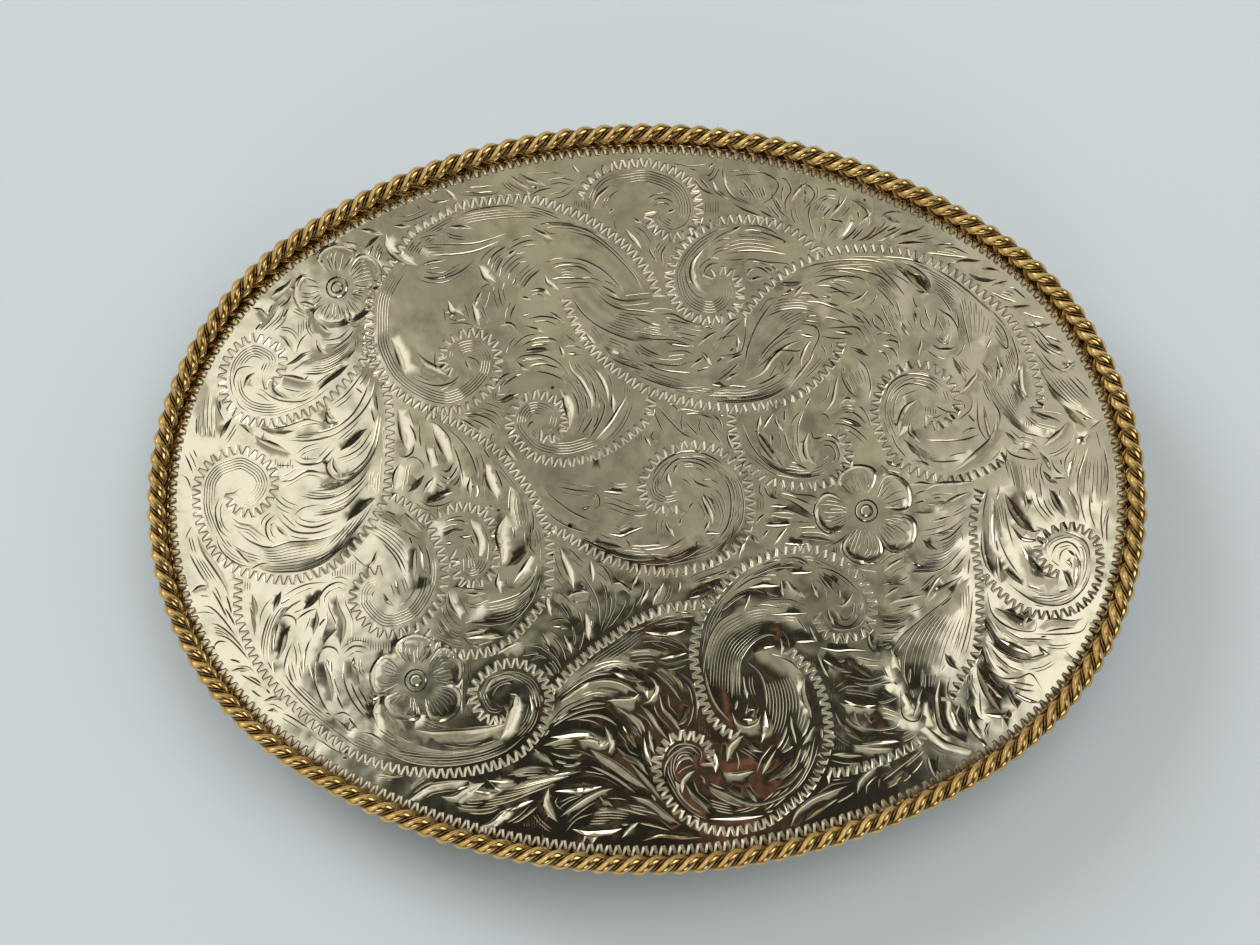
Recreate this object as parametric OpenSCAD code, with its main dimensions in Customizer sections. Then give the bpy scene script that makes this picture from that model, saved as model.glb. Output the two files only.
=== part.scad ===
// Western belt buckle: a domed oval plate with a twisted rope edge, lying face up on its back fittings.
// Millimetres, +Z up, X along the long axis. The origin is under the middle of the buckle, on the surface it lies on.

/* [Outline] */
// Length over the rope edge
buckle_len = 101.6; // [96:0.2:108]
// Height over the rope edge
buckle_wid = 76.2; // [72:0.2:80]
// Radius of the two tighter arcs at the ends of the oval
end_r = 32.7; // [30:0.1:35]

/* [Plate] */
// Thickness of the plate
plate_t = 1.3; // [1:0.1:1.6]
// Bend radius along the length, which fits the buckle to the body
bend_len_r = 300; // [260:10:400]
// Bend radius across, which pillows the face
bend_wid_r = 600; // [500:10:900]
// How far the plate's rim stays inside the rope's outer edge
rim_inset = 0.45; // [0.3:0.05:0.7]
// Top of the dome above the surface that the buckle lies on
stand_h = 12; // [11.5:0.1:14]

/* [Rope edge] */
// Diameter over the two twisted strands
rope_d = 2; // [1.6:0.1:2.2]
// Full turns of the twist round the buckle
rope_turns = 70; // [60:1:76]
// Share of the radius left in the groove between the strands
groove_share = 0.58; // [0.5:0.02:0.8]

/* [Belt loop] */
// Wire diameter of the loop
wire_d = 2.6; // [2:0.1:3]
// Clear width of the loop, for a 38 mm belt
loop_clear = 40; // [39:0.5:42]
// Distance from the middle of the buckle to the loop's outer bar
loop_out_x = 39.5; // [38:0.1:40]
// Distance from the middle of the buckle to the loop's inner bar
loop_in_x = 21.5; // [20:0.1:24]
// Bend radius at the loop's corners, to the middle of the wire
loop_corner_r = 4; // [3:0.1:6]
// Outer diameter of the tube that carries the inner bar
tube_d = 4.4; // [4:0.1:5]
// Length of that tube
tube_len = 24; // [18:0.5:30]

/* [Belt hook] */
// Diameter of the hook's post
post_d = 4.2; // [3.6:0.1:4.6]
// Distance from the middle of the buckle to the post's root
post_x = 32; // [28:0.5:34]
// Lean of the post towards the end of the buckle, in degrees
post_lean = 25; // [15:1:30]
// Diameter of the round foot under the plate
foot_d = 9; // [8:0.5:11]

/* [Hidden] */
$fn = 96;

nickel_silver = [0.78, 0.76, 0.69];
bronze_gold = [0.72, 0.53, 0.24];

solder_gap = 0.05;                        // seam left between neighbouring pieces
rope_r = rope_d / 2;
wire_r = wire_d / 2;
post_r = post_d / 2;
tube_r = tube_d / 2;
half_len = buckle_len / 2;
half_wid = buckle_wid / 2;
rope_lift = rope_r + solder_gap;          // rope's centre above the plate's face

// Radius of the two flatter arcs that join the end arcs without a corner
function side_radius(a, b, r) = ((a - r) * (a - r) + b * b - r * r) / (2 * (b - r));
// Half the angle that a flatter arc spans
function side_angle(a, b, r) = atan2(a - r, side_radius(a, b, r) - b);

// Height of the domed face over a point of the plan
function dome_z(x, y) =
    let (section_r = bend_len_r - bend_wid_r + sqrt(bend_wid_r * bend_wid_r - y * y))
    stand_h - bend_len_r + sqrt(section_r * section_r - x * x);

// Oval of four arcs with half axes a and b and end radius r
module oval(a, b, r) {
    side_r = side_radius(a, b, r);
    beta = side_angle(a, b, r);
    meet_x = a - r + r * sin(beta);
    for (side = [-1, 1]) translate([side * (a - r), 0]) circle(r = r);
    intersection() {
        translate([0, b - side_r]) circle(r = side_r, $fn = 360);
        translate([0, side_r - b]) circle(r = side_r, $fn = 360);
        square([2 * meet_x, 2 * b], center = true);
    }
}

// Domed sheet of thickness t, whose upper face lies drop below the buckle's face
module dome_sheet(t, drop) {
    sector = 32;
    profile_x = bend_len_r - bend_wid_r;
    translate([0, 0, stand_h - bend_len_r])
        rotate([0, -90, -90])
            rotate([0, 0, -sector / 2])
                rotate_extrude(angle = sector, $fn = 720)
                    intersection() {
                        difference() {
                            translate([profile_x, 0]) circle(r = bend_wid_r - drop, $fn = 720);
                            translate([profile_x, 0]) circle(r = bend_wid_r - drop - t, $fn = 720);
                        }
                        translate([bend_len_r - 20, -half_wid - 6]) square([30, 2 * half_wid + 12]);
                    }
}

// Everything from a solder seam below the plate's underside up to above its face
module plate_space() {
    above = 2;
    dome_sheet(above + plate_t + solder_gap, -above);
}

// Domed oval plate of nickel silver
module face_plate() {
    color(nickel_silver)
        intersection() {
            dome_sheet(plate_t, 0);
            linear_extrude(height = stand_h + 5)
                oval(half_len - rim_inset, half_wid - rim_inset, end_r - rim_inset);
        }
}

// The rope's line: an oval of four arcs, one rope radius inside the outline
line_a = half_len - rope_r;
line_b = half_wid - rope_r;
line_end_r = end_r - rope_r;
line_side_r = side_radius(line_a, line_b, line_end_r);
line_beta = side_angle(line_a, line_b, line_end_r);
end_arc = line_end_r * (90 - line_beta) * PI / 180;
quarter = end_arc + line_side_r * line_beta * PI / 180;

// Normal angle, then centre and radius of the arc, at distance s along the first quarter
function quarter_normal(s) =
    s < end_arc ? s / line_end_r * 180 / PI
                : 90 - line_beta + (s - end_arc) / line_side_r * 180 / PI;
function quarter_point(s, turn) =
    s < end_arc ? [line_a - line_end_r + line_end_r * cos(turn), line_end_r * sin(turn)]
                : [line_side_r * cos(turn), line_b - line_side_r + line_side_r * sin(turn)];

// Plan point and outward direction at distance s round the whole oval
function rope_station(s) =
    let (
        q = min(3, floor(s / quarter)),
        rest = s - q * quarter,
        along = q % 2 == 0 ? rest : quarter - rest,
        turn = quarter_normal(along),
        point = quarter_point(along, turn),
        flip_x = q == 1 || q == 2 ? -1 : 1,
        flip_y = q >= 2 ? -1 : 1
    )
    [[flip_x * point[0], flip_y * point[1]], [flip_x * cos(turn), flip_y * sin(turn)]];

// Cross-section of the twisted pair: two round strands with a groove on each side
ring_sides = 8;
rings_per_turn = 10;
strand_flank = 40;                        // angle from a strand's crest to its flank
flank_share = 0.88;
section = [
    for (side = [0, 180])
        for (step = [[0, 1], [strand_flank, flank_share], [90, groove_share], [180 - strand_flank, flank_share]])
            [side + step[0], step[1] * rope_r]
];

function rope_ring(k, count) =
    let (
        station = rope_station(4 * quarter * k / count),
        at = station[0],
        out = station[1],
        z = dome_z(at[0], at[1]) + rope_lift,
        twist = 360 * rope_turns * k / count
    )
    [for (corner = section)
        let (turn = corner[0] + twist, r = corner[1])
        [at[0] + r * cos(turn) * out[0], at[1] + r * cos(turn) * out[1], z + r * sin(turn)]];

// Twisted rope of two strands, soldered into one ring on the plate's rim
module rope_edge() {
    count = rope_turns * rings_per_turn;
    points = [for (k = [0:count - 1]) each rope_ring(k, count)];
    faces = [
        for (k = [0:count - 1], j = [0:ring_sides - 1])
            let (
                next_k = (k + 1) % count,
                next_j = (j + 1) % ring_sides,
                a = k * ring_sides + j,
                b = k * ring_sides + next_j,
                c = next_k * ring_sides + next_j,
                d = next_k * ring_sides + j
            )
            each [[a, b, c], [a, c, d]]
    ];
    color(bronze_gold) polyhedron(points = points, faces = faces, convexity = 10);
}

// Height of the plate's underside over the middle line
function under_z(x) = dome_z(x, 0) - plate_t;

tube_z = under_z(loop_in_x + tube_r) - solder_gap - tube_r;
loop_run = loop_out_x - loop_in_x;
loop_tilt = atan2(tube_z - wire_r, loop_run);
loop_reach = loop_run / cos(loop_tilt);   // between the middles of the two bars
bar_y = loop_clear / 2 + wire_r;          // middle of each side leg

// Loop of round wire in the plane z = 0, with its inner bar on the Y axis
module wire_loop() {
    straight_x = loop_reach - 2 * loop_corner_r;
    straight_y = 2 * (bar_y - loop_corner_r);
    for (end = [0, loop_reach])
        translate([-end, -straight_y / 2, 0]) rotate([-90, 0, 0]) cylinder(r = wire_r, h = straight_y, $fn = 48);
    for (side = [-1, 1])
        translate([-loop_corner_r, side * bar_y, 0]) rotate([0, -90, 0])
            cylinder(r = wire_r, h = straight_x, $fn = 48);
    corners = [[-loop_corner_r, 1, 0], [-loop_reach + loop_corner_r, 1, 90],
               [-loop_reach + loop_corner_r, -1, 180], [-loop_corner_r, -1, 270]];
    for (corner = corners)
        translate([corner[0], corner[1] * (bar_y - loop_corner_r), 0])
            rotate([0, 0, corner[2]])
                rotate_extrude(angle = 90)
                    translate([loop_corner_r, 0]) circle(r = wire_r, $fn = 48);
}

// Belt loop: bent wire, its tube and the saddle under the plate, in one piece
module belt_loop() {
    saddle_w = 0.7 * tube_d;
    color(nickel_silver) {
        translate([-loop_in_x, 0, tube_z]) rotate([0, -loop_tilt, 0]) wire_loop();
        translate([-loop_in_x, -tube_len / 2, tube_z]) rotate([-90, 0, 0]) cylinder(r = tube_r, h = tube_len);
        difference() {
            translate([-loop_in_x - saddle_w / 2, -tube_len / 2, tube_z]) cube([saddle_w, tube_len, tube_d]);
            plate_space();
        }
    }
}

post_root_z = under_z(post_x);
post_run = (post_root_z - post_r) / cos(post_lean); // from the root to the middle of the round tip
collar_r = post_r + 0.9;
collar_run = 3.2;                         // clears the foot, so that the belt's hole seats square
foot_t = 0.9;
root_slope = asin(post_x / bend_len_r);   // how far the plate has turned down at the root
foot_dip = foot_d * foot_d / (8 * bend_len_r);
foot_top = solder_gap + foot_dip;         // below the plate's underside at the root

// Belt hook: leaning post with a round tip, its collar and its foot, in one piece
module belt_hook() {
    color(nickel_silver)
        translate([post_x, 0, post_root_z]) rotate([0, root_slope, 0]) difference() {
            union() {
                rotate([0, 180 - post_lean - root_slope, 0]) {
                    cylinder(r = post_r, h = post_run);
                    translate([0, 0, post_run]) sphere(r = post_r);
                    cylinder(r = collar_r, h = collar_run);
                }
                translate([0, 0, -foot_top - foot_t]) cylinder(d = foot_d, h = foot_t);
            }
            translate([-foot_d, -foot_d, -foot_top]) cube(2 * foot_d);
        }
}

face_plate();
rope_edge();
belt_loop();
belt_hook();
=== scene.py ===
import math

import bpy
import numpy as np
from mathutils import Matrix, Vector
from mathutils.geometry import delaunay_2d_cdt


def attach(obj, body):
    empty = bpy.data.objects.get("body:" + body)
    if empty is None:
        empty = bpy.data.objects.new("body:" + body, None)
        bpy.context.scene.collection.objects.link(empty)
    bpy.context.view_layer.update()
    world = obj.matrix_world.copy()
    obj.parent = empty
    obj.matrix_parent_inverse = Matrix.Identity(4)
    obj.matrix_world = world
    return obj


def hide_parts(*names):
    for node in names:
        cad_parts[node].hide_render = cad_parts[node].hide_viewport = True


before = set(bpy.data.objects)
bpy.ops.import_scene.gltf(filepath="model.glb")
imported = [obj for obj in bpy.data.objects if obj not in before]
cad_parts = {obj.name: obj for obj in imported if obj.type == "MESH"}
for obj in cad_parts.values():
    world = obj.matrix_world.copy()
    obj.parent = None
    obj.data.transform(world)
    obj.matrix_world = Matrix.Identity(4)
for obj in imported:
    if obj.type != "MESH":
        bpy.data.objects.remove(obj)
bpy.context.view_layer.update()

# Sizes, in millimetres, as in the part's source
MM = 0.001
HALF_LEN = 50.8
HALF_WID = 38.1
END_R = 32.7
RIM_INSET = 0.45
PLATE_T = 1.3
BEND_LEN_R = 300.0
BEND_WID_R = 600.0
STAND_H = 12.0
ROPE_R = 1.0
ROPE_LIFT = 1.05
ROPE_TURNS = 70

# Sizes of the engraving, in millimetres unless it says a share
LATTICE = 1.4           # spacing of the plain points between the cuts
MASK_CELL = 0.1         # cell of the map of what is already engraved
MASK_STEP = MASK_CELL * 0.6     # step in which areas are marked on that map
MAP_MARGIN = 1          # how far the map reaches past the outer edge
MARGIN = 0.08           # kept clear beside bold cuts and shade lines
WIDE_MARGIN = 0.12      # kept clear beside the zigzag border and the leaves' edges
BORDER_INSET = 2.45     # middle of the zigzag border, inside the outer edge
TOOTH_PITCH = 0.9       # of the zigzag border and of the scrolls' toothed edges
TOOTH_H = 0.82
TOOTH_WIDE = 0.24       # half widths of a zigzag cut
TOOTH_NARROW = 0.09
TOOTH_DEPTH = 0.075
TOOTH_SHADE = 0.85
TOOTH_CORNERS = np.array([0.12, 0.4, 0.62, 0.9])    # a tooth's corners, as shares of TOOTH_PITCH
TOOTH_SIDES = np.array([-0.5, 0.5, 0.5, -0.5])      # how far left of the middle, as shares of TOOTH_H
FINE_STEP = 0.2         # steps in which curves are drawn: zigzag paths and hatching,
BEVEL_STEP = 0.22       # bevels,
LINE_STEP = 0.25        # swelling lines and leaf edges,
EDGE_STEP = 0.3         # scrolls and fans
SHORTEST_HATCH = 0.5    # lines shorter than this are left out
SHORTEST_EDGE = 0.7
SHORTEST_LINE = 1.0
SHORTEST_ECHO = 1.8
LINE_GAP = 0.27         # between two shade lines of a scroll
LINE_HALF = 0.058       # half the width of a shade line
LINE_DEPTH = 0.04
LINE_SHADE = 1.7
OUTLINE_HALF = 0.11     # half the width of a leaf's edge
OUTLINE_DEPTH = 0.08
OUTLINE_SHADE = 1.5     # of the leaves' edges and of the swelling lines
STROKE_LEAST = 0.04     # depth of a swelling line: this, and so much for each millimetre of half width
STROKE_SLOPE = 0.5
STROKE_CROWDED = 0.5    # share of a swelling line on engraved metal above which it is left out
STROKE_MARGIN = 0.06    # kept clear beside it
HATCH_GAP = 0.26
HATCH_HALF = 0.04
FAN_SPREAD = 1.6        # lines cut in a fan, as a share of the number in its row
FAN_ROOM = (0.14, 0.24)         # least gap for a fan's even and for its odd lines
BEVEL_SPREAD = 1.6      # width of a region's bevels, as a share of the width in the row
DARK_SPREAD = 1.05      # the same for the dark bevels
ACCENT_SPREAD = 1.15    # and for the accents
BEVEL_LEAST = 0.06      # depth of a crescent: this, and so much for each millimetre of width
BEVEL_SLOPE = 0.25
BEVEL_CROWDED = 0.4     # share of a crescent on engraved metal above which it is left out
BEVEL_STEEP = 0.08      # half width of a crescent's steep flank
BEVEL_TAPER = 0.45      # share of a crescent's length over which each end runs out
DARK_SHADE = 0.5        # painted dirt and shade at a dark crescent's bottom, the same wherever it lies
HOLLOW = 1.9            # how hollow the wide flanks are, where 1 is flat
BOLDEST = 0.2           # greatest width of a crescent, as a share of its length
SWELL = 0.036           # height of a leaf's body, as a share of its width
SWELL_LIMIT = 3.5       # width from which a leaf's body gets no higher
PETAL_HALF = 2.05       # half the width of a petal
PETAL_ROOT = 1.1        # distance of a petal's root from the flower's centre
PETAL_LINES = 9
FLOWER_RINGS = ((0.62, 0.22), (1.12, 0.16))     # radius and inner half width of a flower's two rings
BAND_INSET = 2.0        # outer side of the band along the rim that is kept for the zigzag border
BAND_WIDTH = 1.6
PALE_CUTS_AT = np.array([2, -30])          # middle and half size of the area where the cuts' bottoms are painted less dark
PALE_CUTS_SIZE = np.array([27, 13])
LEAST_CUT_DARKENING = 0.3
LIGHT_SIDE = np.array([-0.75, 0.66])     # the side of the room with the windows, in the plan

# Sizes of the meshes
RIM_BEVEL = 0.12        # of the plate's wall at both edges, in millimetres
RIM_POINTS = 480
LATTICE_EDGE = 1.2      # from the outer edge to the first plain points, in millimetres
UNDER_STEP = 3.0        # spacing of the underside's points, in millimetres
ROPE_SHADOW_REACH = 0.9       # how far the painted shadow and tarnish by the rope spread onto the plate, in millimetres
RINGS_PER_TURN = 24     # of the rope's twist


# Plan of the plate: an oval of four arcs

def side_radius(a, b, r):
    """Radius of the two flatter arcs that join the end arcs without a corner."""
    return ((a - r) ** 2 + b * b - r * r) / (2 * (b - r))


def oval_ring(inset, count):
    """Even points of the oval that lies inset inside the outer edge, and their outward directions."""
    a, b, r = HALF_LEN - inset, HALF_WID - inset, END_R - inset
    side_r = side_radius(a, b, r)
    beta = math.atan2(a - r, side_r - b)
    end_arc = r * (math.pi / 2 - beta)
    quarter = end_arc + side_r * beta
    s = np.arange(count) * 4 * quarter / count
    q = np.minimum(3, (s // quarter).astype(int))
    rest = s - q * quarter
    along = np.where(q % 2 == 0, rest, quarter - rest)
    on_end = along < end_arc
    turn = np.where(on_end, along / r, math.pi / 2 - beta + (along - end_arc) / side_r)
    out = np.column_stack([np.cos(turn), np.sin(turn)])
    end_centre, side_centre = np.array([a - r, 0]), np.array([0, b - side_r])
    point = np.where(on_end[:, None], end_centre + r * out, side_centre + side_r * out)
    flip = np.column_stack([np.where((q == 1) | (q == 2), -1, 1), np.where(q >= 2, -1, 1)])
    return point * flip, out * flip


def dome(xy):
    """Height of the face over points of the plan."""
    section = BEND_LEN_R - BEND_WID_R + np.sqrt(BEND_WID_R ** 2 - xy[:, 1] ** 2)
    return STAND_H - BEND_LEN_R + np.sqrt(section ** 2 - xy[:, 0] ** 2)


# Curves in the plan

def run_along(line):
    """Distance along a line at each of its points."""
    return np.concatenate([[0], np.cumsum(np.hypot(*np.diff(line, axis=0).T))])


def points_at(at, s, line):
    """Points of a line where its measure s has the values at."""
    return np.column_stack([np.interp(at, s, line[:, 0]), np.interp(at, s, line[:, 1])])


def stretched(line, count):
    """The same line with another number of points."""
    return points_at(np.linspace(0, 1, count), np.linspace(0, 1, len(line)), line)


def resample(line, step):
    """The same line with points about one step apart."""
    s = run_along(line)
    count = max(3, int(round(s[-1] / step)) + 1)
    return points_at(np.linspace(0, s[-1], count), s, line)


def smooth(points, step):
    """Catmull-Rom curve through the points, with points about one step apart."""
    p = np.asarray(points, float)
    if len(p) == 2:
        return resample(p, step)
    ends = np.vstack([2 * p[0] - p[1], p, 2 * p[-1] - p[-2]])
    t = np.linspace(0, 1, 12, endpoint=False)[:, None]
    parts = []
    for i in range(len(p) - 1):
        a, b, c, d = ends[i:i + 4]
        square, cube = 2 * a - 5 * b + 4 * c - d, 3 * b - a - 3 * c + d
        parts.append(0.5 * (2 * b + (c - a) * t + square * t ** 2 + cube * t ** 3))
    parts.append(p[-1:])
    return resample(np.vstack(parts), step)


def left_of(line):
    """Unit directions to the left of a line at each of its points."""
    d = np.gradient(line, axis=0)
    d /= np.maximum(np.hypot(d[:, 0], d[:, 1]), 1e-9)[:, None]
    return np.column_stack([-d[:, 1], d[:, 0]])


def length_of(line):
    """Length of a line."""
    return float(np.hypot(*np.diff(line, axis=0).T).sum())


def needed(line, slack, least):
    """Which points of a line are needed to stay within slack of it, with at least so many of them."""
    kept = {0, len(line) - 1} | set(np.linspace(0, len(line) - 1, min(least, len(line))).astype(int).tolist())
    kept = sorted(kept)
    spans = list(zip(kept[:-1], kept[1:]))
    while spans:
        a, b = spans.pop()
        if b - a < 2:
            continue
        chord = line[b] - line[a]
        between = line[a + 1:b] - line[a]
        away = np.abs(chord[0] * between[:, 1] - chord[1] * between[:, 0]) / max(np.hypot(*chord), 1e-9)
        if away.max() > slack:
            middle = a + 1 + int(away.argmax())
            kept.append(middle)
            spans += [(a, middle), (middle, b)]
    return np.array(sorted(kept))


def dirt_and_shade(points):
    """How dark the cuts' bottoms are painted at points of the plan, dirt and shade together: less along the
    lower edge.
    """
    away = np.hypot(*((points - PALE_CUTS_AT) / PALE_CUTS_SIZE).T)
    return np.clip(LEAST_CUT_DARKENING + 1.4 * (away - 0.6), LEAST_CUT_DARKENING, 1)


class Engraving:
    """V-shaped cuts in the plate's face, and a map of what they cover."""

    def __init__(self):
        self.cuts = []
        self.nx = int(2 * (HALF_LEN + MAP_MARGIN) / MASK_CELL)
        self.ny = int(2 * (HALF_WID + MAP_MARGIN) / MASK_CELL)
        self.mask = np.zeros((self.ny, self.nx), bool)

    def cell(self, points):
        """Rows and columns of the map in which points of the plan lie."""
        ix = ((points[:, 0] + HALF_LEN + MAP_MARGIN) / MASK_CELL).astype(int)
        iy = ((points[:, 1] + HALF_WID + MAP_MARGIN) / MASK_CELL).astype(int)
        return np.clip(iy, 0, self.ny - 1), np.clip(ix, 0, self.nx - 1)

    def covered(self, line):
        """The share of a line's points that lie on what is already engraved."""
        return self.mask[self.cell(line)].mean()

    def claim(self, line, left, right):
        """Marks the band round a line as engraved."""
        fine = resample(np.asarray(line, float), MASK_STEP)
        normal = left_of(fine)
        for offset in np.arange(-right, left + 1e-9, MASK_STEP):
            self.mask[self.cell(fine + normal * offset)] = True

    def claim_between(self, edge_a, edge_b):
        """Marks the area between two edges with the same number of points."""
        steps = int(np.hypot(*(edge_a - edge_b).T).max() / MASK_STEP) + 2
        fine_a = resample(edge_a, MASK_STEP)
        fine_b = stretched(edge_b, len(fine_a))
        for f in np.linspace(0, 1, steps):
            self.mask[self.cell(fine_a * (1 - f) + fine_b * f)] = True

    def clear_runs(self, line, shortest):
        """The stretches of a line that lie on plain metal."""
        clear = ~self.mask[self.cell(line)]
        runs, start = [], None
        for i, ok in enumerate(list(clear) + [False]):
            if ok and start is None:
                start = i
            if not ok and start is not None:
                run = line[start:i]
                if len(run) > 2 and length_of(run) >= shortest:
                    runs.append(run)
                start = None
        return runs

    def cut(self, line, left, right, depth, shade, ends, slack=0.012, least=7, hollow=1.0):
        """One V-shaped cut along a line, with half widths to both sides, tapered to nothing over a share of
        each end. Shade is how dark its bottom is painted, dirt and shade together. A hollow above 1 bends
        its flanks, so that they leave the face softly."""
        u = np.linspace(0, 1, len(line))
        kept = needed(line, slack, least)
        line, u = line[kept], u[kept]
        taper = np.minimum(1, np.minimum(u / ends[0], (1 - u) / ends[1]))
        taper = np.sin(taper * math.pi / 2)
        dark = dirt_and_shade(line) * shade
        self.cuts.append((line, left * taper, right * taper, depth * taper, dark * taper, hollow))

    def shade_line(self, line, half=LINE_HALF):
        """One thin dark line."""
        self.cut(line, half, half, LINE_DEPTH, LINE_SHADE, (0.15, 0.35), slack=0.02, least=5)


engraving = Engraving()
rng = np.random.default_rng(7)


def wriggle(path, closed=False):
    """Zigzag border cut along a path. The wide flank of each of its cuts faces the light side."""
    fine = np.vstack([path, path[:1]]) if closed else resample(path, FINE_STEP)
    s = run_along(fine)
    teeth = max(2, int(round(s[-1] / TOOTH_PITCH)))
    corner = np.arange(teeth * 4) % 4
    at = (np.arange(teeth * 4) // 4 + TOOTH_CORNERS[corner]) * s[-1] / teeth
    if closed:
        at = np.append(at, at[0])
        corner = np.append(corner, corner[0])
    middle = points_at(at, s, fine)
    line = middle + left_of(middle) * (TOOTH_SIDES[corner] * TOOTH_H)[:, None]
    left_is_lit = (left_of(line) @ LIGHT_SIDE) < 0
    left = np.where(left_is_lit, TOOTH_WIDE, TOOTH_NARROW)
    right = np.where(left_is_lit, TOOTH_NARROW, TOOTH_WIDE)
    # The cuts' bottoms are painted dark, dirt and shade together
    engraving.cuts.append((line, left, right, np.full(len(line), TOOTH_DEPTH), TOOTH_SHADE * dirt_and_shade(line), 1.0))
    engraving.claim(middle, TOOTH_H / 2 + WIDE_MARGIN, TOOTH_H / 2 + WIDE_MARGIN)


def fan(edge_a, edge_b, count, first=0.0, last=1.0, stagger=0.2):
    """Shade lines spread between two edges. Where they would crowd, every other line is left out."""
    a = resample(edge_a, EDGE_STEP)
    b = stretched(edge_b, len(a))
    at = np.linspace(0, 1, len(a))
    gap = np.hypot(*(a - b).T) / (count + 1)
    done = []
    for k in range(count):
        f = (k + 1) / (count + 1)
        stop = last - stagger * rng.random()
        keep = (at >= first) & (at <= stop) & (gap > FAN_ROOM[k % 2])
        line = (a * (1 - f) + b * f)[keep]
        if len(line) < 4:
            continue
        for run in engraving.clear_runs(line, SHORTEST_LINE):
            engraving.shade_line(run)
            done.append(run)
    return done


def pairs(numbers):
    """x, y, x, y ... as points."""
    return np.asarray(numbers, float).reshape(-1, 2)


def bevel(numbers, width, lit):
    """A bold crescent cut inside a bend. Its wide flank faces the light side if lit, or else away from it."""
    line = smooth(pairs(numbers), BEVEL_STEP)
    if engraving.covered(line) > BEVEL_CROWDED:
        return
    width = min(width, BOLDEST * length_of(line))
    chord = line[-1] - line[0]
    middle = line[len(line) // 2] - (line[0] + line[-1]) / 2
    bends_left = chord[0] * middle[1] - chord[1] * middle[0] > 0
    side_of_wide = -1 if bends_left else 1
    normal = left_of(line)
    falls_to_light = (-side_of_wide * normal.mean(axis=0)) @ LIGHT_SIDE > 0
    if falls_to_light != lit:
        # The same crescent with its bottom along the other edge, so that the wide flank faces the other way
        u = np.linspace(0, 1, len(line))
        taper = np.sin(np.minimum(1, np.minimum(u, 1 - u) / BEVEL_TAPER) * math.pi / 2)
        line = line + normal * (side_of_wide * width * taper)[:, None]
        side_of_wide = -side_of_wide
    left, right = (width, BEVEL_STEEP) if side_of_wide > 0 else (BEVEL_STEEP, width)
    depth = BEVEL_LEAST + BEVEL_SLOPE * width
    # A dark crescent's bottom is painted a little dark, dirt and shade together, evenly along it
    shade = 1.0 if lit else DARK_SHADE / dirt_and_shade(line).mean()
    engraving.cut(line, left, right, depth, shade, (BEVEL_TAPER, BEVEL_TAPER), hollow=HOLLOW)
    engraving.claim(line, left + MARGIN, right + MARGIN)


def stroke(numbers, width):
    """A line that swells towards its middle."""
    line = smooth(pairs(numbers), LINE_STEP)
    if engraving.covered(line) > STROKE_CROWDED:
        return
    half = width / 2
    depth = STROKE_LEAST + STROKE_SLOPE * half
    engraving.cut(line, half, half, depth, OUTLINE_SHADE, (0.4, 0.4))
    engraving.claim(line, half + STROKE_MARGIN, half + STROKE_MARGIN)


def outline(line):
    """A leaf's edge as a thin line, where nothing bolder is cut there."""
    for run in engraving.clear_runs(line, SHORTEST_EDGE):
        engraving.cut(run, OUTLINE_HALF, OUTLINE_HALF, OUTLINE_DEPTH, OUTLINE_SHADE, (0.25, 0.25),
                      slack=0.015, least=6)
        engraving.claim(run, WIDE_MARGIN, WIDE_MARGIN)


def echoes(rows, count, first=0.42, gap=0.3):
    """Shade lines that follow bold cuts on both sides, where the metal is still plain."""
    for width, *numbers in rows:
        line = smooth(pairs(numbers), LINE_STEP)
        normal = left_of(line)
        for side in (1, -1):
            for k in range(count):
                beside = line + normal * (side * (first + width / 2 + k * gap))
                for run in engraving.clear_runs(beside, SHORTEST_ECHO):
                    engraving.shade_line(run)
                    engraving.claim(run, MARGIN, MARGIN)


def hatch(left, right, low, high):
    """Short upright lines in a gap between the leaves."""
    for x in np.arange(left, right, HATCH_GAP):
        lean = 0.08 * (rng.random() - 0.5)
        column = resample(np.array([(x, low), (x + lean, high)]), FINE_STEP)
        for run in engraving.clear_runs(column, SHORTEST_HATCH):
            engraving.shade_line(run[::2] if len(run) > 6 else run, HATCH_HALF)


def scroll_lines(points, inner, lines=5, first=0.85, start=0.15):
    """Shade lines that follow a scroll's zigzag edge on its inner side, into the eye. None is cut where the
    bend is tighter than the line's distance from the edge."""
    path = smooth(points, EDGE_STEP)
    normal = left_of(path) * inner
    u = np.linspace(0, 1, len(path))
    bend = np.gradient(np.unwrap(np.arctan2(*np.gradient(path, axis=0).T[::-1])))
    step = length_of(path) / (len(path) - 1)
    radius = step / np.maximum(inner * bend, 1e-3)
    made = []
    for k in range(lines):
        offset = first + k * LINE_GAP
        begin = start + 0.12 * rng.random()
        keep = (u >= begin) & (radius > offset + 0.25)
        if keep.sum() < 4:
            continue
        line = path + normal * offset
        stops = np.flatnonzero(np.diff(keep.astype(int)))
        for piece in np.split(np.arange(len(keep)), stops + 1):
            if len(piece) > 4 and keep[piece[0]]:
                for run in engraving.clear_runs(line[piece], SHORTEST_LINE):
                    engraving.shade_line(resample(run, 0.4))
                    made.append(run)
    for run in made:
        engraving.claim(run, 0.1, 0.1)


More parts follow.
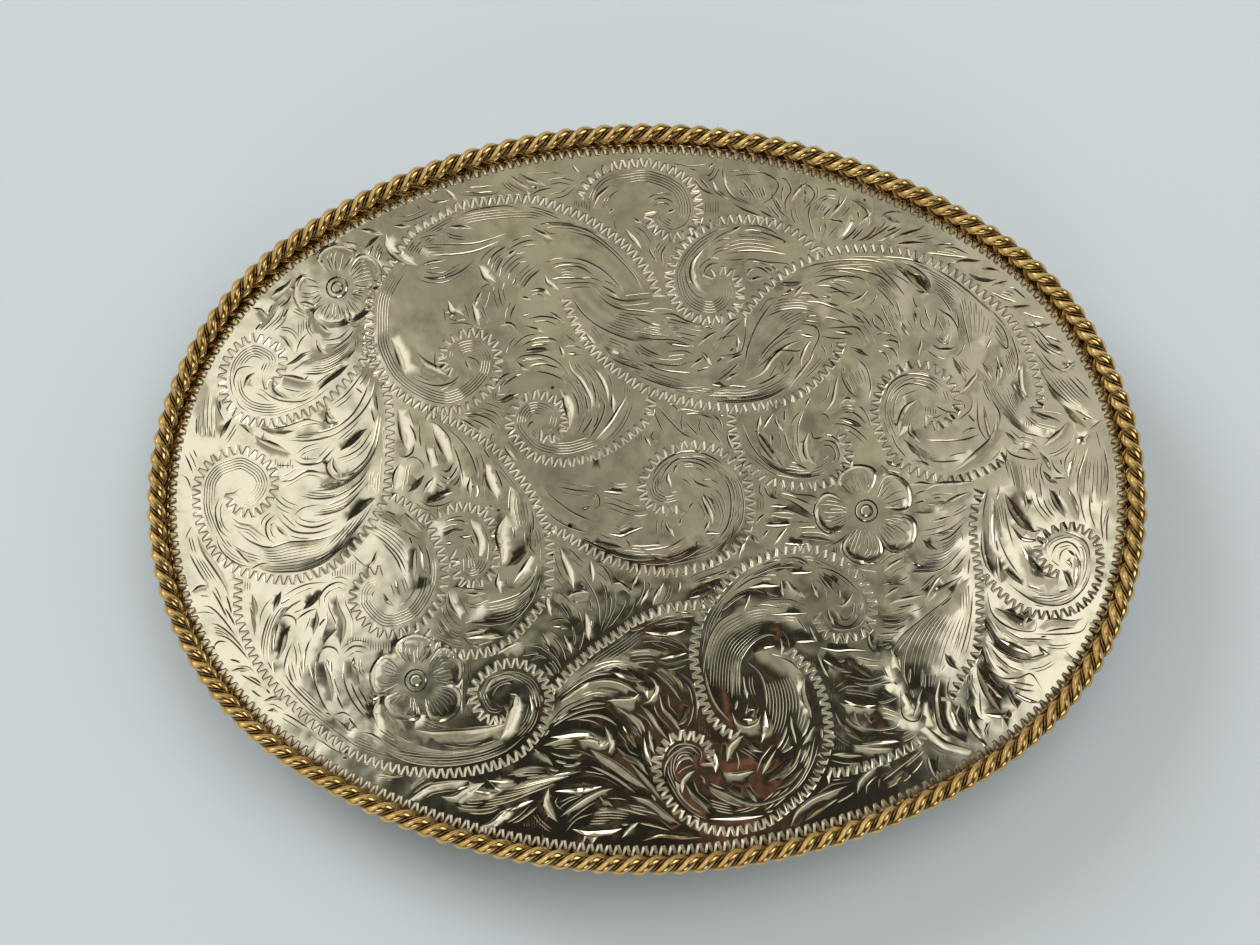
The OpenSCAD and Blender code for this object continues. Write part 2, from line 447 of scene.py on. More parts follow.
# Scrolls: name, side of the inner curve (1 left of the path, -1 right), points of the zigzag edge up to
# its eye
SCROLLS = [
    ("upper left", -1, [
        (-28, 17), (-28.5, 14), (-29.5, 12.5), (-31, 10.8), (-32.5, 9.5), (-34, 8.6), (-36, 7.8),
        (-38, 7.3), (-40, 7.5), (-41.7, 8.3), (-42.9, 9.7), (-43.4, 11.5), (-43.4, 13), (-42.8, 14.6),
        (-41.5, 15.9), (-40, 16.3), (-38.5, 15.8), (-37.3, 14.8), (-37, 13.6), (-37.4, 12.5), (-38, 11.4),
        (-39.2, 11.3),
    ]),
    ("left middle", -1, [
        (-28, 16), (-27.5, 13), (-26.5, 11.5), (-26, 10), (-25.7, 8), (-25.6, 4), (-25.8, 0), (-26.2, -1),
        (-27, -2.5), (-28, -4), (-29.5, -5.8), (-31, -7.2), (-33, -8.2), (-35, -8.8), (-37, -8.8),
        (-39, -8.4), (-41, -7.8), (-42.5, -7), (-43.7, -5.8), (-44.7, -4.2), (-45.6, -2), (-45.8, 0),
        (-45.5, 2), (-44.3, 3.6), (-42.8, 4.3), (-41, 4.6), (-39.5, 4), (-38.2, 3), (-37.5, 1.5),
        (-37.7, 0), (-38.6, -1.3), (-40, -2), (-41.5, -1.6), (-42.3, -0.7), (-42.2, 0.3),
    ]),
    ("left lower", -1, [
        (-25.5, -0.3), (-24, -1), (-22.8, -2), (-21.5, -3), (-20.8, -4.5), (-20.2, -6), (-19.8, -7.5),
        (-19.8, -9), (-20.2, -10.5), (-21, -12), (-22, -13.2), (-23.5, -14), (-25, -14.4), (-26.5, -14.2),
        (-28, -13), (-29, -11.5), (-29, -10), (-28.4, -8.8), (-27.3, -8), (-26, -7.9),
    ]),
    ("small left", -1, [
        (-21.5, -2.8), (-20.5, -2.2), (-19.5, -1.8), (-18.3, -1.5), (-17, -1.7), (-15.8, -2.3),
        (-15, -3.5), (-14.5, -5), (-14.5, -6.5), (-14.8, -7.8), (-15.5, -8.8), (-16.8, -9.4), (-18, -9.2),
        (-18.6, -8.2), (-18.7, -7), (-19.2, -6.3),
    ]),
    ("left stem", -1, [
        (-22, 8), (-20, 7.5), (-18.5, 6.8), (-17, 5.8), (-15.5, 4.8), (-14, 3.5), (-12.8, 2),
        (-11.8, 0.8), (-10.8, -0.8), (-10, -2.5), (-9.4, -4), (-9.2, -5.5), (-9.2, -9), (-9.3, -10),
        (-10, -11.3), (-11, -12.7), (-12, -13.8), (-13, -14.8), (-14.5, -15.8), (-16, -16.3),
        (-18, -16.4), (-19.5, -16), (-21, -15.2), (-21.7, -14.2),
    ]),
    ("lower left", 1, [
        (-41, -8.5), (-41, -12), (-40.3, -14), (-39.5, -16), (-38.3, -18), (-37, -19.5), (-35, -21.5),
        (-33, -23.3), (-31, -24.8), (-29, -26.2), (-27, -27), (-25, -27.6), (-23, -28), (-20, -28.2),
        (-18, -28.1), (-16, -27.8), (-14, -27.2), (-12, -26.2), (-10.8, -25), (-9.8, -23.7),
        (-9.3, -22.2), (-9, -20.7), (-9.5, -19.2), (-10.5, -18), (-12, -17.3), (-13.5, -17.3),
        (-15, -17.8), (-16.2, -18.8), (-16.8, -20), (-16.5, -21.3), (-15.8, -22.5), (-14.5, -23),
        (-13.3, -22.7), (-12.8, -22),
    ]),
    ("big upper left", 1, [
        (1.5, 20), (1, 21.5), (0, 23.2), (-2, 25.5), (-4, 27), (-6, 28.3), (-8, 29.2), (-11, 30.3),
        (-14, 30.4), (-18, 30), (-20, 29.4), (-22, 28.3), (-24, 27), (-26, 24), (-27, 22.5), (-28, 20),
        (-28, 16), (-27.5, 14), (-26.5, 12), (-25.5, 10.8), (-24, 9.6), (-22, 8.6), (-20, 8.2),
        (-18, 8.7), (-16.5, 9.7), (-15.2, 11.2), (-14.7, 12.8), (-14.8, 14.3), (-15.5, 15.6),
        (-16.8, 16.3), (-18.3, 16.3), (-19.8, 15.6), (-20.5, 14.3), (-20.3, 13), (-19.5, 12.2),
    ]),
    ("centre left", -1, [
        (1, 9.5), (0.5, 7.5), (-1, 6), (-3, 4.5), (-5, 3.6), (-7, 3), (-9, 3), (-11, 3.6), (-12.3, 4.8),
        (-13.3, 6.2), (-13.4, 7.6), (-12.8, 8.9), (-11.8, 9.7), (-10.5, 9.9), (-9, 9.4), (-8, 8.5),
        (-7.8, 7.3), (-8.2, 6), (-9.3, 5.3), (-10.5, 5.6),
    ]),
    ("centre stem", 1, [
        (-8, 20), (-7, 17.5), (-5.5, 15), (-3.5, 13), (-1.5, 11.5), (0, 10.5), (2, 9.8), (5, 9), (8, 8.5),
        (10, 8.4), (12, 8.7), (14, 9.2), (16, 10.2), (18, 12), (19.5, 14), (20, 15.5),
    ]),
    ("centre", 1, [
        (-9.4, -3.8), (-8, -4.2), (-6, -5.5), (-4.5, -6.3), (-3, -7), (-1, -7.7), (1, -8), (3, -8.2),
        (5, -7.8), (6.5, -7.3), (8, -6.6), (9.5, -5.4), (10.5, -3.8), (10.9, -2), (10.8, 0), (10.3, 1.8),
        (9, 3.2), (7.5, 4.2), (5.5, 4.7), (3.5, 4.5), (1.8, 3.7), (0.7, 2.5), (0, 1), (0.2, -0.5),
        (1, -1.5), (2.5, -2), (4, -1.6),
    ]),
    ("top centre", -1, [
        (-6.8, 30.6), (-6, 32), (-5, 33), (-3.5, 33.8), (-2, 34), (0, 34.2), (2, 33.7), (3.5, 33),
        (4.7, 32), (5.4, 30.5), (5.6, 29), (5.3, 27.8), (4.5, 26.8), (3, 26.2), (2, 26.5), (1, 27.2),
        (0.5, 28), (0.5, 29),
    ]),
    ("upper centre", 1, [
        (17.5, 25), (16.5, 26), (15.5, 26.8), (14, 27.5), (12, 28), (10, 28.2), (8, 28), (6.5, 27.5),
        (5, 26.5), (3.8, 25.2), (3, 23.8), (2.6, 22.3), (2.8, 20.8), (3.3, 19.5), (4.2, 18.4),
        (5.5, 17.7), (7, 17.5), (8.3, 17.9), (9.3, 18.8), (9.8, 20), (9.8, 21), (9.3, 22.2), (8.3, 22.7),
        (7.2, 22.7), (6.5, 22),
    ]),
    ("big right", -1, [
        (10, 18), (11.5, 20), (13, 21.5), (14.5, 22.8), (16, 23.7), (18, 24.6), (20, 25), (23, 25.2),
        (26, 25), (28, 24.5), (30, 23.7), (32, 22.6), (33.5, 21.5), (35, 20.3), (36.5, 19), (37.8, 17.3),
        (38.8, 15.5), (39.5, 13.5), (40, 11.5), (40.2, 10), (39.9, 8.8),
    ]),
    ("right", -1, [
        (36.5, 4), (35.5, 3), (34, 2.3), (32, 1.6), (30, 1.5), (28, 2), (26, 3), (24.8, 4.3), (24, 5.8),
        (23.4, 7.5), (23.4, 9), (23.8, 10.5), (24.6, 11.8), (26, 12.8), (27.5, 13.2), (29, 13),
        (30.5, 12.2), (31.3, 11), (31.8, 9.5), (31.3, 8.2), (30.5, 7.3), (29.3, 6.9), (28.2, 7.3),
    ]),
    ("small right", 1, [
        (9, 8), (9, 6.5), (9.6, 4.5), (10.3, 3), (11.5, 2), (13, 1), (14.5, 0.7), (16, 0.5), (17.5, 0.7),
        (19, 1.3), (20.2, 2.5), (20.8, 4), (20.3, 5.5), (19.5, 6.3),
    ]),
    ("far right", 1, [
        (34, -8), (35, -9), (36, -10), (37.3, -11), (39, -11.8), (41, -12), (43, -11.5), (44.5, -10.5),
        (45.5, -9), (46, -7.3), (46, -5.6), (45.5, -4.2), (44.3, -3.3), (43, -3), (41.5, -3.3),
        (40.3, -4), (39.7, -5.2), (40, -6.5), (41, -7.5), (41.8, -8),
    ]),
    ("right stem", -1, [
        (34, 0.5), (33.5, -1), (33.2, -3), (33.3, -5), (33.6, -7), (33.8, -9), (33.8, -13), (33.5, -15),
        (33, -16.5), (32, -18), (31.3, -19.3), (30.7, -20.7),
    ]),
    ("lower right", -1, [
        (9.5, -24.5), (8.3, -23.8), (7, -22.5), (6.3, -21), (5.8, -19), (5.3, -17), (5.3, -16),
        (5.5, -14.5), (5.8, -13), (6.5, -11.5), (7.3, -10.3), (8.5, -9), (9.5, -8), (10.5, -7.3),
        (12, -6.6), (13.5, -6), (15, -5.7), (17, -5.7), (18.5, -6.3), (20, -7), (21, -7.8), (22, -8.7),
        (22.6, -9.8), (23.1, -11), (23, -12.3), (22.7, -13.5), (21.5, -14.3), (20, -14.6), (18.7, -14.4),
        (17.8, -13.3), (17.3, -12.3),
    ]),
    ("bottom centre", -1, [
        (14.7, -15.7), (16, -17), (17.2, -18.3), (18, -20), (18.5, -22), (18.7, -24), (18.3, -26),
        (17.5, -28), (16.3, -29.8), (14.5, -31.3), (13, -32.5), (11, -33.3), (9, -33.7), (7, -33.5),
        (5, -32.7), (3.5, -31.5), (2.5, -30), (1.8, -28.5), (1.7, -27), (2.2, -25.5), (3.3, -24.5),
        (4.8, -24.3), (6.2, -24.8), (7, -26), (6.7, -27.3),
    ]),
    ("low stem", -1, [
        (-9, -20), (-8, -19), (-7, -17.8), (-6, -17), (-5, -16), (-3.5, -15), (-2.3, -14.2), (-1, -13.2),
        (0.5, -12.5), (2, -11.9), (4, -11.5), (6, -11.3), (7.5, -10.5),
    ]),
    ("low right stem", 1, [
        (18.5, -27.8), (20, -27.8), (22, -27.3), (24, -26.5), (26, -25.6), (27.5, -24.7), (28, -24),
    ]),
]

# Cuts of each region of the plate. A bevel, a dark bevel (its wide flank turned from the light, its bottom
# painted a little dark) or a stroke is its width and then the x and y of the points that it runs through. A
# fan is a number of lines and the x and y of its two edges. A hatch is the left, right, low and high side of
# the area that it fills where the metal is plain.
REGIONS = {
    "left end, above": {
        "bevels": [
            (0.4, -38, 12.1, -38, 10.8, -37, 10, -36, 9.8),
            (0.5, -37.8, 12.3, -36.5, 11.5, -35, 11.2, -33.5, 11.3, -31.5, 12.5),
            (0.5, -33.8, 18.2, -33.6, 17.2, -32.8, 16.5, -31.8, 16.5),
            (0.5, -35.8, 19.9, -34.8, 19.4, -34, 19.1, -33.4, 19.5),
            (0.3, -33.6, 16, -33.4, 15, -32.8, 14.5, -32.3, 14.4),
            (0.4, -31.9, 8.8, -32.4, 8.2, -32.2, 7.3, -31.5, 7.1, -31, 7.4),
            (0.4, -39.8, 6.5, -39.8, 5.8, -39, 4.8, -37.8, 4, -36.5, 3.8, -35.5, 4),
            (0.3, -41.5, 7.3, -40.6, 7.2, -40, 6.6, -39.9, 5.9),
            (0.4, -31.5, 3.8, -32.2, 2.8, -31.8, 1.8, -30.8, 1.2, -30, 1.3),
            (0.4, -40.5, 19.5, -39.5, 19.3, -38.8, 18.3),
            (0.35, -44.2, 13.8, -43.3, 14.8, -42, 16, -41, 17.5),
            (0.3, -37.6, 16.5, -36.6, 16.3, -36.1, 15.5, -36, 14.6),
            (0.45, -41.2, 11, -40.8, 12.2, -39.9, 12.7),
            (0.35, -47.8, 5, -47, 5.7, -46, 5.9, -45.4, 5.1),
        ],
        "dark": [
            (0.7, -39.3, 6.9, -38.2, 6.3, -37, 6.1, -35.5, 6.5),
            (0.5, -33.3, 10.5, -32.3, 11.4, -31, 12.3, -30, 13.4),
            (0.7, -30.5, 4.5, -29.5, 5.3, -28.5, 6.2, -27.8, 7),
            (0.4, -42.2, 8, -42.8, 6.8, -43.5, 5.8),
            (0.35, -36.8, 13.3, -35.8, 14, -35, 14.6, -33.8, 14.8),
        ],
        "strokes": [
            (0.15, -41.8, 10.5, -42.2, 11.8, -41.8, 13, -40.8, 13.3, -39.8, 13.1),
            (0.1, -42, 10.3, -41.5, 9.2, -40.3, 8.4),
            (0.2, -39.8, 11, -39, 10.7, -38.2, 10.1, -37, 9.6, -35, 9.5, -33.5, 10.2),
            (0.15, -33.3, 15.9, -32, 15.9, -31, 16.2, -30, 17.2),
            (0.15, -35.7, 14.5, -35.3, 15.8, -34.5, 16.7),
            (0.15, -30.3, 17.5, -30.2, 18.5, -30.7, 19.8),
            (0.1, -30.2, 17.4, -29.5, 17.2, -28.8, 17.9),
            (0.15, -31.9, 9, -30.5, 10, -29, 11.8, -28.3, 13),
            (0.2, -39.3, 7.1, -38, 6.8, -36.5, 7, -35, 7.5, -33.5, 7.7, -32.6, 7.5),
            (0.3, -35.6, 3.5, -34.7, 3, -33.5, 3, -32.5, 3.4, -31.2, 4.8),
            (0.12, -35.4, 4, -34.5, 4.7, -33.3, 5.1, -32.6, 5.2),
            (0.15, -31.2, 3.5, -29.8, 3.9, -28.5, 4.8, -27.3, 6.8),
            (0.22, -37.2, 1.2, -36, 1.5, -35, 2.1, -34, 2.4, -32.8, 2.2, -32, 1.8),
            (0.12, -46, 6.3, -46.5, 7.5, -46.4, 9, -46, 10.5),
            (0.15, -44, 9.8, -43.7, 8.8, -43, 7.5),
            (0.2, -47.2, 4.3, -46.7, 3.4, -46.2, 2.2),
            (0.15, -47.5, 2.2, -46.8, 1.7, -46.3, 0.5),
            (0.15, -46.3, 4.8, -45.8, 3.8),
            (0.12, -45.9, 12, -45.2, 13.3, -44.4, 12.2, -44.2, 10.8),
            (0.12, -38.5, 17.3, -37.5, 18.2, -37, 19.5),
            (0.12, -41.5, 18.5, -40.2, 20.5, -39.5, 22.5),
        ],
        "fans": [
            (5, (-33.2, 14.4, -31.7, 15, -30.3, 16, -29.2, 17.5),
             (-35, 12.4, -33, 12.4, -31, 13.3, -29.3, 14.9)),
            (6, (-34.5, 6.3, -32.3, 6.4, -30, 7.6, -28.5, 9.8, -27.8, 12),
             (-36.3, 5.5, -34, 5.4, -31.5, 6, -29.3, 7.5, -27.8, 9.5, -27.3, 12)),
            (6, (-30.5, 1.9, -29.3, 2.3, -28, 3.5, -27.2, 5.5, -26.9, 8),
             (-33.8, 0.2, -31.5, 0.4, -29.5, 1.3, -28, 2.8, -27, 4.8, -26.6, 8)),
            (7, (-46, 6.3, -46, 8, -45.8, 10, -45, 12.5), (-43, 5.5, -43.3, 7.5, -43.6, 9.5, -44, 11.5)),
            (4, (-40.2, 17, -39, 18.5, -38, 20.5), (-39, 16.9, -37.5, 18, -36.5, 19.5)),
            (5, (-29.5, 11, -28, 9.5, -27.2, 7), (-28.6, 13.4, -27.4, 11, -26.9, 8)),
        ],
        "hatch": [
            (-37.5, -34, 2.5, 3.9),
            (-44.5, -42, 17, 19),
        ],
    },
    "left end, below": {
        "bevels": [
            (0.45, -37.3, -3.2, -36.8, -3.9, -36, -4.4),
            (0.3, -27.5, -7.8, -26.7, -7, -26.7, -5.9),
            (0.3, -46, -10, -45.3, -9.4, -44.6, -9.3, -44, -9.6),
            (0.35, -43.5, -15.8, -42.8, -16.1, -42, -15.9),
            (0.3, -41.6, -18, -40.5, -17.7, -39.5, -17.9),
            (0.3, -38.1, -21, -37, -20.6, -36.2, -20.8),
            (0.35, -45.6, -4, -45, -5.8, -43.8, -7.5, -42.6, -9.2, -41.9, -10.6),
        ],
        "dark": [
            (0.9, -30, -3, -28.6, -2, -26.9, -0.5),
            (0.25, -42, -2.3, -41, -2.9, -39.8, -3.2, -38.8, -4, -38.2, -4.5),
            (0.5, -39.6, -10.2, -39.6, -11.3, -39.2, -12.8),
            (0.45, -36.5, -9.9, -36.7, -11, -37.3, -12.1),
            (0.6, -32, -9.8, -33.3, -10.5, -34.3, -11.9),
            (0.7, -35.4, -13.3, -36.3, -14, -36.7, -15.5, -36.7, -17),
            (0.45, -32.8, -11.9, -32.6, -13, -33.1, -14.5),
            (0.6, -30.8, -10.3, -30.5, -11.5, -29.8, -13, -29.9, -14.5, -30.3, -15.6),
            (0.35, -39.8, -11.5, -39.5, -13.2, -39.2, -14.5),
            (0.6, -31.7, -16.8, -31.6, -17.8),
            (0.7, -28.8, -16.6, -28.9, -17.8),
        ],
        "strokes": [
            (0.15, -37.8, 0, -36.5, -1.2, -35, -1.8),
            (0.12, -35.5, -2.3, -34.5, -1.5, -33, -1.2, -32.5, -1.3),
            (0.25, -35.5, -2.5, -34.8, -3.2, -33.3, -3.5, -31.8, -3.1, -30.7, -2.6),
            (0.2, -37.3, -2.1, -38.2, -2.9, -38.3, -3.8, -37.9, -4.7, -37.2, -5.1),
            (0.25, -37.3, -2.1, -36.5, -3, -35.3, -3.9, -33.5, -4.1, -32, -3.8, -31, -3.3),
            (0.2, -43.3, -0.3, -43.7, -1.5, -43.5, -2.8, -43, -3.8, -42, -4.6),
            (0.2, -43.5, -4.2, -43.2, -5.3, -42.3, -6.4, -41, -7.2, -39.5, -7.5),
            (0.2, -39.8, -7.7, -38.8, -7.2, -37.8, -7.1),
            (0.15, -39.5, -8.1, -38.5, -8.6, -37, -8.6, -36.2, -8.3, -33.5, -8),
            (0.12, -47.8, -1.4, -47.3, -0.6, -46.3, -0.2),
            (0.12, -48, -2, -47.7, -3.3),
            (0.15, -46.5, -2.8, -47.2, -4.2, -47.3, -6, -46.8, -7.7, -45.7, -9.2),
            (0.12, -46, -12.2, -44.5, -12, -43.2, -12.3),
            (0.12, -45.5, -12.9, -44.5, -13.5, -43.8, -14.5),
            (0.2, -43.5, -15.7, -43.2, -15.2, -42.8, -15, -41.9, -15.1),
            (0.2, -37.5, -10, -38.5, -11, -39.1, -12.3, -39.2, -13.5, -38.9, -15),
            (0.15, -36.3, -10.5, -35, -9.7, -33.5, -9.2, -31.5, -9.1),
            (0.12, -35.2, -12.2, -34.3, -11.8),
            (0.22, -36.8, -12.6, -35.8, -12.4, -35, -12.8, -34.9, -13.6),
            (0.15, -35.2, -15.1, -35.7, -16.2, -36, -17.5, -36, -18.5),
            (0.12, -35.2, -15, -34.8, -16.5, -34.8, -18),
            (0.2, -34.9, -12.9, -34, -12.2, -33, -11.8, -32.6, -12),
            (0.2, -32.5, -11.7, -32.5, -10.5, -31.7, -9.5, -30.5, -9.1, -29.5, -9.6),
            (0.25, -32.3, -16, -31.6, -15.6, -30.8, -15.8, -30.3, -16.5),
            (0.25, -29.9, -16.3, -29, -15.6, -28, -15.6, -27.3, -16),
            (0.12, -29.3, -6.2, -28.5, -7, -27.6, -7.7),
            (0.12, -43.8, -17.5, -42.6, -18.3, -41.5, -18.6),
            (0.12, -40.8, -19.4, -39.5, -20.3, -38.3, -21),
            (0.12, -41.3, -17.5, -39.8, -17.6, -38.9, -18.4),
        ],
        "fans": [
            (11, (-41.5, -3.5, -40, -4.8, -38, -5.5, -36, -5, -34, -4.9, -32, -4.5, -30.5, -3.7),
             (-41.5, -5.5, -40, -7, -38, -7.9, -36, -8, -34, -7.8, -32, -7, -30, -5.5, -28, -3.7)),
            (4, (-33.5, 0.3, -31.5, 0.4, -29.5, 1.3, -28, 3),
             (-35, -0.2, -33, -0.6, -31, -0.3, -28.8, 1, -27.5, 2.8)),
            (4, (-33, -1.3, -31.5, -1.1, -29.5, -0.1, -27.7, 1.8),
             (-33.5, -2.3, -31.8, -2.1, -30, -1.4, -28, 0.8)),
            (5, (-46.3, -6, -45, -8.2, -43.3, -10.5, -42, -12.8),
             (-44.8, -6.5, -43.3, -8.5, -42.2, -10.5, -41.6, -12.3)),
            (5, (-45.5, -11.5, -44, -11.5, -42.5, -12.8, -41, -14.7),
             (-45, -10, -43.7, -10.3, -42.3, -11.7, -41.2, -13.5)),
            (5, (-44.5, -13, -42.8, -13.5, -41, -15, -39.5, -17),
             (-43.5, -14.3, -42, -14.7, -40.5, -16, -39, -17.8)),
            (4, (-42, -16.8, -40.6, -17.2, -38.6, -18.8), (-42.5, -17.5, -40.5, -18.4, -38, -19.8)),
            (5, (-34.3, -10.8, -35.8, -11.8, -36.8, -13.5, -37.2, -16, -37, -18.5),
             (-35.5, -10.6, -37.3, -11.9, -38.2, -14, -38.5, -16.5, -38, -19)),
            (6, (-31.8, -12.6, -33, -14.2, -33.8, -16, -34, -18.3),
             (-30.6, -13.8, -31.8, -15, -32.5, -16.8, -32.6, -18.5)),
            (10, (-26.2, -1.8, -24, -2.8, -22.2, -4.5, -21.3, -7, -21.2, -9),
             (-27.8, -3.8, -26, -5, -24.5, -6.5, -23.6, -8.3, -23.5, -9.5)),
        ],
        "hatch": [
            (-31.5, -28.8, -8.6, -6.3),
            (-29.5, -25, -16.2, -14.6),
            (-48, -47, -9, -6),
            (-40.6, -39.8, -10, -8.9),
        ],
    },
    "left of the middle, above": {
        "bevels": [
            (0.5, -26, 16.3, -25.6, 14.8, -24.9, 13.2, -24.1, 12.1),
            (0.6, -23.7, 15, -23.3, 13.6, -22.4, 12.5, -21, 11.9, -19.6, 11.9),
            (0.9, -24.9, 8.2, -24.3, 6.3, -23.9, 4.3),
            (0.3, -22, 4.8, -21.7, 3.5, -21.3, 2.4),
            (0.8, -20.8, 6.3, -19.9, 5, -19.7, 3.2),
            (0.6, -15.8, 2.9, -15, 1.5, -14.5, 0),
            (0.6, -24.5, 3, -24.7, 1.5, -25, 0.2),
            (0.8, -21, 1.6, -21.8, 0.7, -22.2, -0.3),
            (0.35, -18.3, 7.5, -17.3, 6.8, -16.4, 6.1),
            (0.35, -14.2, 5, -13.3, 3.9, -12.5, 3.1),
            (0.3, -13.2, 13, -12.5, 12.4, -11.5, 12.1),
            (0.3, -12, 16.8, -11.3, 16.4, -10.4, 16.4),
            (0.4, -8.4, 15, -8.2, 14.3, -8, 13.6),
            (0.3, -7.5, 13.5, -7.2, 12.4, -6.5, 11.6, -5.8, 10.5, -5.2, 9, -5, 8),
            (0.3, -5.5, 13.2, -4.3, 12.3, -3.7, 11, -3.5, 10.2),
            (0.3, -3, 10, -2.7, 9, -2.8, 7.8),
            (0.35, -1.6, 9.7, -2, 8.5, -2.6, 7.2, -3.6, 6, -4.7, 5.2),
            (0.8, -8.5, 10.6, -7.3, 9.9, -6.8, 8.6, -7.1, 7.2, -7.7, 6.2),
            (0.3, -5.8, 16.4, -5, 15.5, -4.8, 15.1),
            (0.3, -9.5, 18.5, -8.7, 18, -8, 17.3),
            (0.45, -20.3, 19.8, -19.9, 18.9, -19.2, 18.3, -18.2, 18.4),
            (0.5, -17.7, 19.9, -17.3, 18.7, -16.9, 17.7, -16.3, 16.9),
            (0.3, -14.6, 17, -14, 17.4, -13.2, 17.2, -12.6, 16.2),
            (0.3, -18, 13.3, -17.4, 13, -17.2, 12.5),
        ],
        "dark": [
            (0.5, -21, 5.8, -21.3, 4.5, -21.3, 3),
            (0.7, -22, 1.8, -22.8, 1.2, -23.7, 0),
            (0.6, -14.8, 9.2, -13.8, 9.2, -12.5, 10),
            (0.5, -12.2, 14.3, -10.5, 14.3, -9, 14.5),
            (0.45, -7.8, 14.2, -6.9, 14.2, -6.2, 13.9),
            (0.5, -4.2, 14.9, -2.5, 14.3, -0.9, 13.4),
            (0.3, -12.5, 18.2, -11.5, 18.4),
        ],
        "strokes": [
            (0.2, -23.7, 11.9, -22.3, 11.1, -21, 10.9, -19.9, 11.2, -19, 11.9),
            (0.2, -23.1, 5, -23.3, 4.1, -24, 3.6, -24.8, 3.8),
            (0.15, -21.8, 7.2, -20.8, 6.9, -19.6, 5.6, -19.2, 4.1),
            (0.3, -19, 3, -19.6, 2.1, -20.4, 2.2),
            (0.15, -16.4, 4, -16, 2.8, -16, 1.3, -16.2, 0),
            (0.15, -23.9, 3.3, -23.2, 3.6, -22.3, 3, -22, 2),
            (0.2, -17, 8.6, -15.8, 8.5, -14.5, 7.9, -13.7, 6.9),
            (0.12, -15.4, 5, -15.2, 5.8, -14.7, 5.9),
            (0.2, -15.1, 10.2, -14.8, 11.2, -13.9, 12, -12.8, 12.1),
            (0.2, -13.2, 13.2, -12.2, 13.9, -10.5, 14, -9, 13.5, -7.8, 12.5, -6.9, 11.3),
            (0.12, -13.5, 14, -12.9, 15.2, -11.8, 16, -10, 16.3),
            (0.2, -12, 17.3, -11.2, 17.9, -9.8, 18, -8.5, 17.5, -8, 16.9),
            (0.15, -6, 13.3, -4.8, 12.2, -4, 10.8),
            (0.15, -5.3, 6, -4.6, 7, -4.4, 8),
            (0.2, -10.8, 7.2, -11.3, 7, -11.7, 6.3),
            (0.2, -0.8, 14.5, -0.2, 13.8),
            (0.15, -20.4, 19, -20.2, 17.5),
            (0.2, -20, 16.8, -19, 17.5, -18, 17.6, -16.9, 17),
            (0.2, -13, 19.3, -13.4, 18.5, -13.6, 17.5),
            (0.15, -18, 13.9, -17, 13.6, -16.5, 12.8),
            (0.12, -25.9, 6.8, -25.7, 3.5),
            (0.15, -25.1, 2, -24.9, 3.2, -24.5, 3.6),
            (0.15, -20.9, 12.2, -21.2, 13.2, -21.2, 14.6),
            (0.12, -8, 16.2, -7, 15.4, -6.6, 15),
        ],
        "fans": [
            (6, (-21.5, 7.5, -19.5, 6.3, -17.8, 4.6, -16.8, 2.5, -16.6, 0.5),
             (-21.2, 7, -19.6, 5.5, -18.7, 3.8, -18.2, 2, -18.1, 0.5)),
            (4, (-22.6, 7.4, -22.6, 6, -22.4, 4.5), (-23.8, 7.2, -23.1, 6, -22.9, 5)),
            (4, (-18.4, 8, -17, 7.9, -15.5, 7.4, -14.2, 6.3),
             (-17.4, 7.4, -16.4, 7, -15.4, 6.4, -14.6, 5.9)),
            (6, (-14.2, 10.8, -12.4, 12, -10.2, 12.2, -8, 11.3, -6.7, 9.5, -6.3, 7.5),
             (-13.5, 11.6, -12, 12.6, -10, 13, -7.6, 12.1, -6, 10.3, -5.4, 8)),
            (5, (-12.5, 14.8, -11, 15.6, -9.5, 15.7, -8.2, 15.2),
             (-12.2, 14.6, -10.8, 15, -9.4, 15, -8.6, 14.8)),
            (4, (-5.2, 11.5, -4.7, 9.5, -5, 7.5, -6.2, 5.6), (-4.2, 10, -3.8, 8.5, -4.4, 6.8, -5.6, 5)),
            (12, (-7.6, 20.8, -6.3, 18.5, -4.3, 16.8, -1.5, 15.6, 1, 15.2),
             (-5, 21, -4, 19.7, -2.5, 18.8, 0, 18.5, 1.5, 18.4)),
            (5, (-3.5, 13.8, -2, 13, 0.5, 12.2), (-1, 15.5, 0.5, 14.4, 2, 13.8)),
            (4, (-17, 5.5, -15.6, 3.8, -14.2, 1, -13.8, -1), (-16.2, 4.6, -15.2, 2.8, -14, 0.5, -13.5, -1)),
        ],
        "hatch": [
            (-16.2, -14.8, 9.4, 11),
            (-1.8, 0, 10, 11.3),
        ],
    },
    "left of the middle, below": {
        "bevels": [
            (0.45, -17.3, -2.7, -16.2, -3.9, -15.8, -5.2, -16.3, -6.6),
            (0.3, -17.2, -4.5, -16.7, -5, -16.6, -5.6),
            (1.0, -13.6, -2.8, -13.2, -4.3, -12.9, -6, -13.3, -7.4),
            (0.6, -11.3, -7, -12, -8.2, -13.2, -9.2),
            (0.45, -14.6, -8.5, -14.6, -9.5, -14, -10.2),
            (0.3, -15, -7.5, -14.5, -7.9),
            (0.3, -10.5, -2.6, -9.9, -4, -9.9, -5.3, -10.3, -6.5),
            (0.7, -19.4, -10, -18.7, -11.4, -17.7, -13.2),
            (0.5, -17.8, -10.3, -16.7, -10.8, -15.5, -10.3),
            (0.4, -17.7, -14.4, -16.8, -14, -15.4, -13.9),
            (0.3, -20.3, -12.7, -19.8, -13.6, -19.2, -14.2),
            (0.5, -14.3, -16.5, -12.8, -16.1, -11.7, -15.4),
            (0.6, -8.3, -5.6, -7.7, -7, -7.3, -8.5, -6.7, -9.7),
            (0.4, -5.2, -6.9, -5.1, -8, -4.7, -9.3),
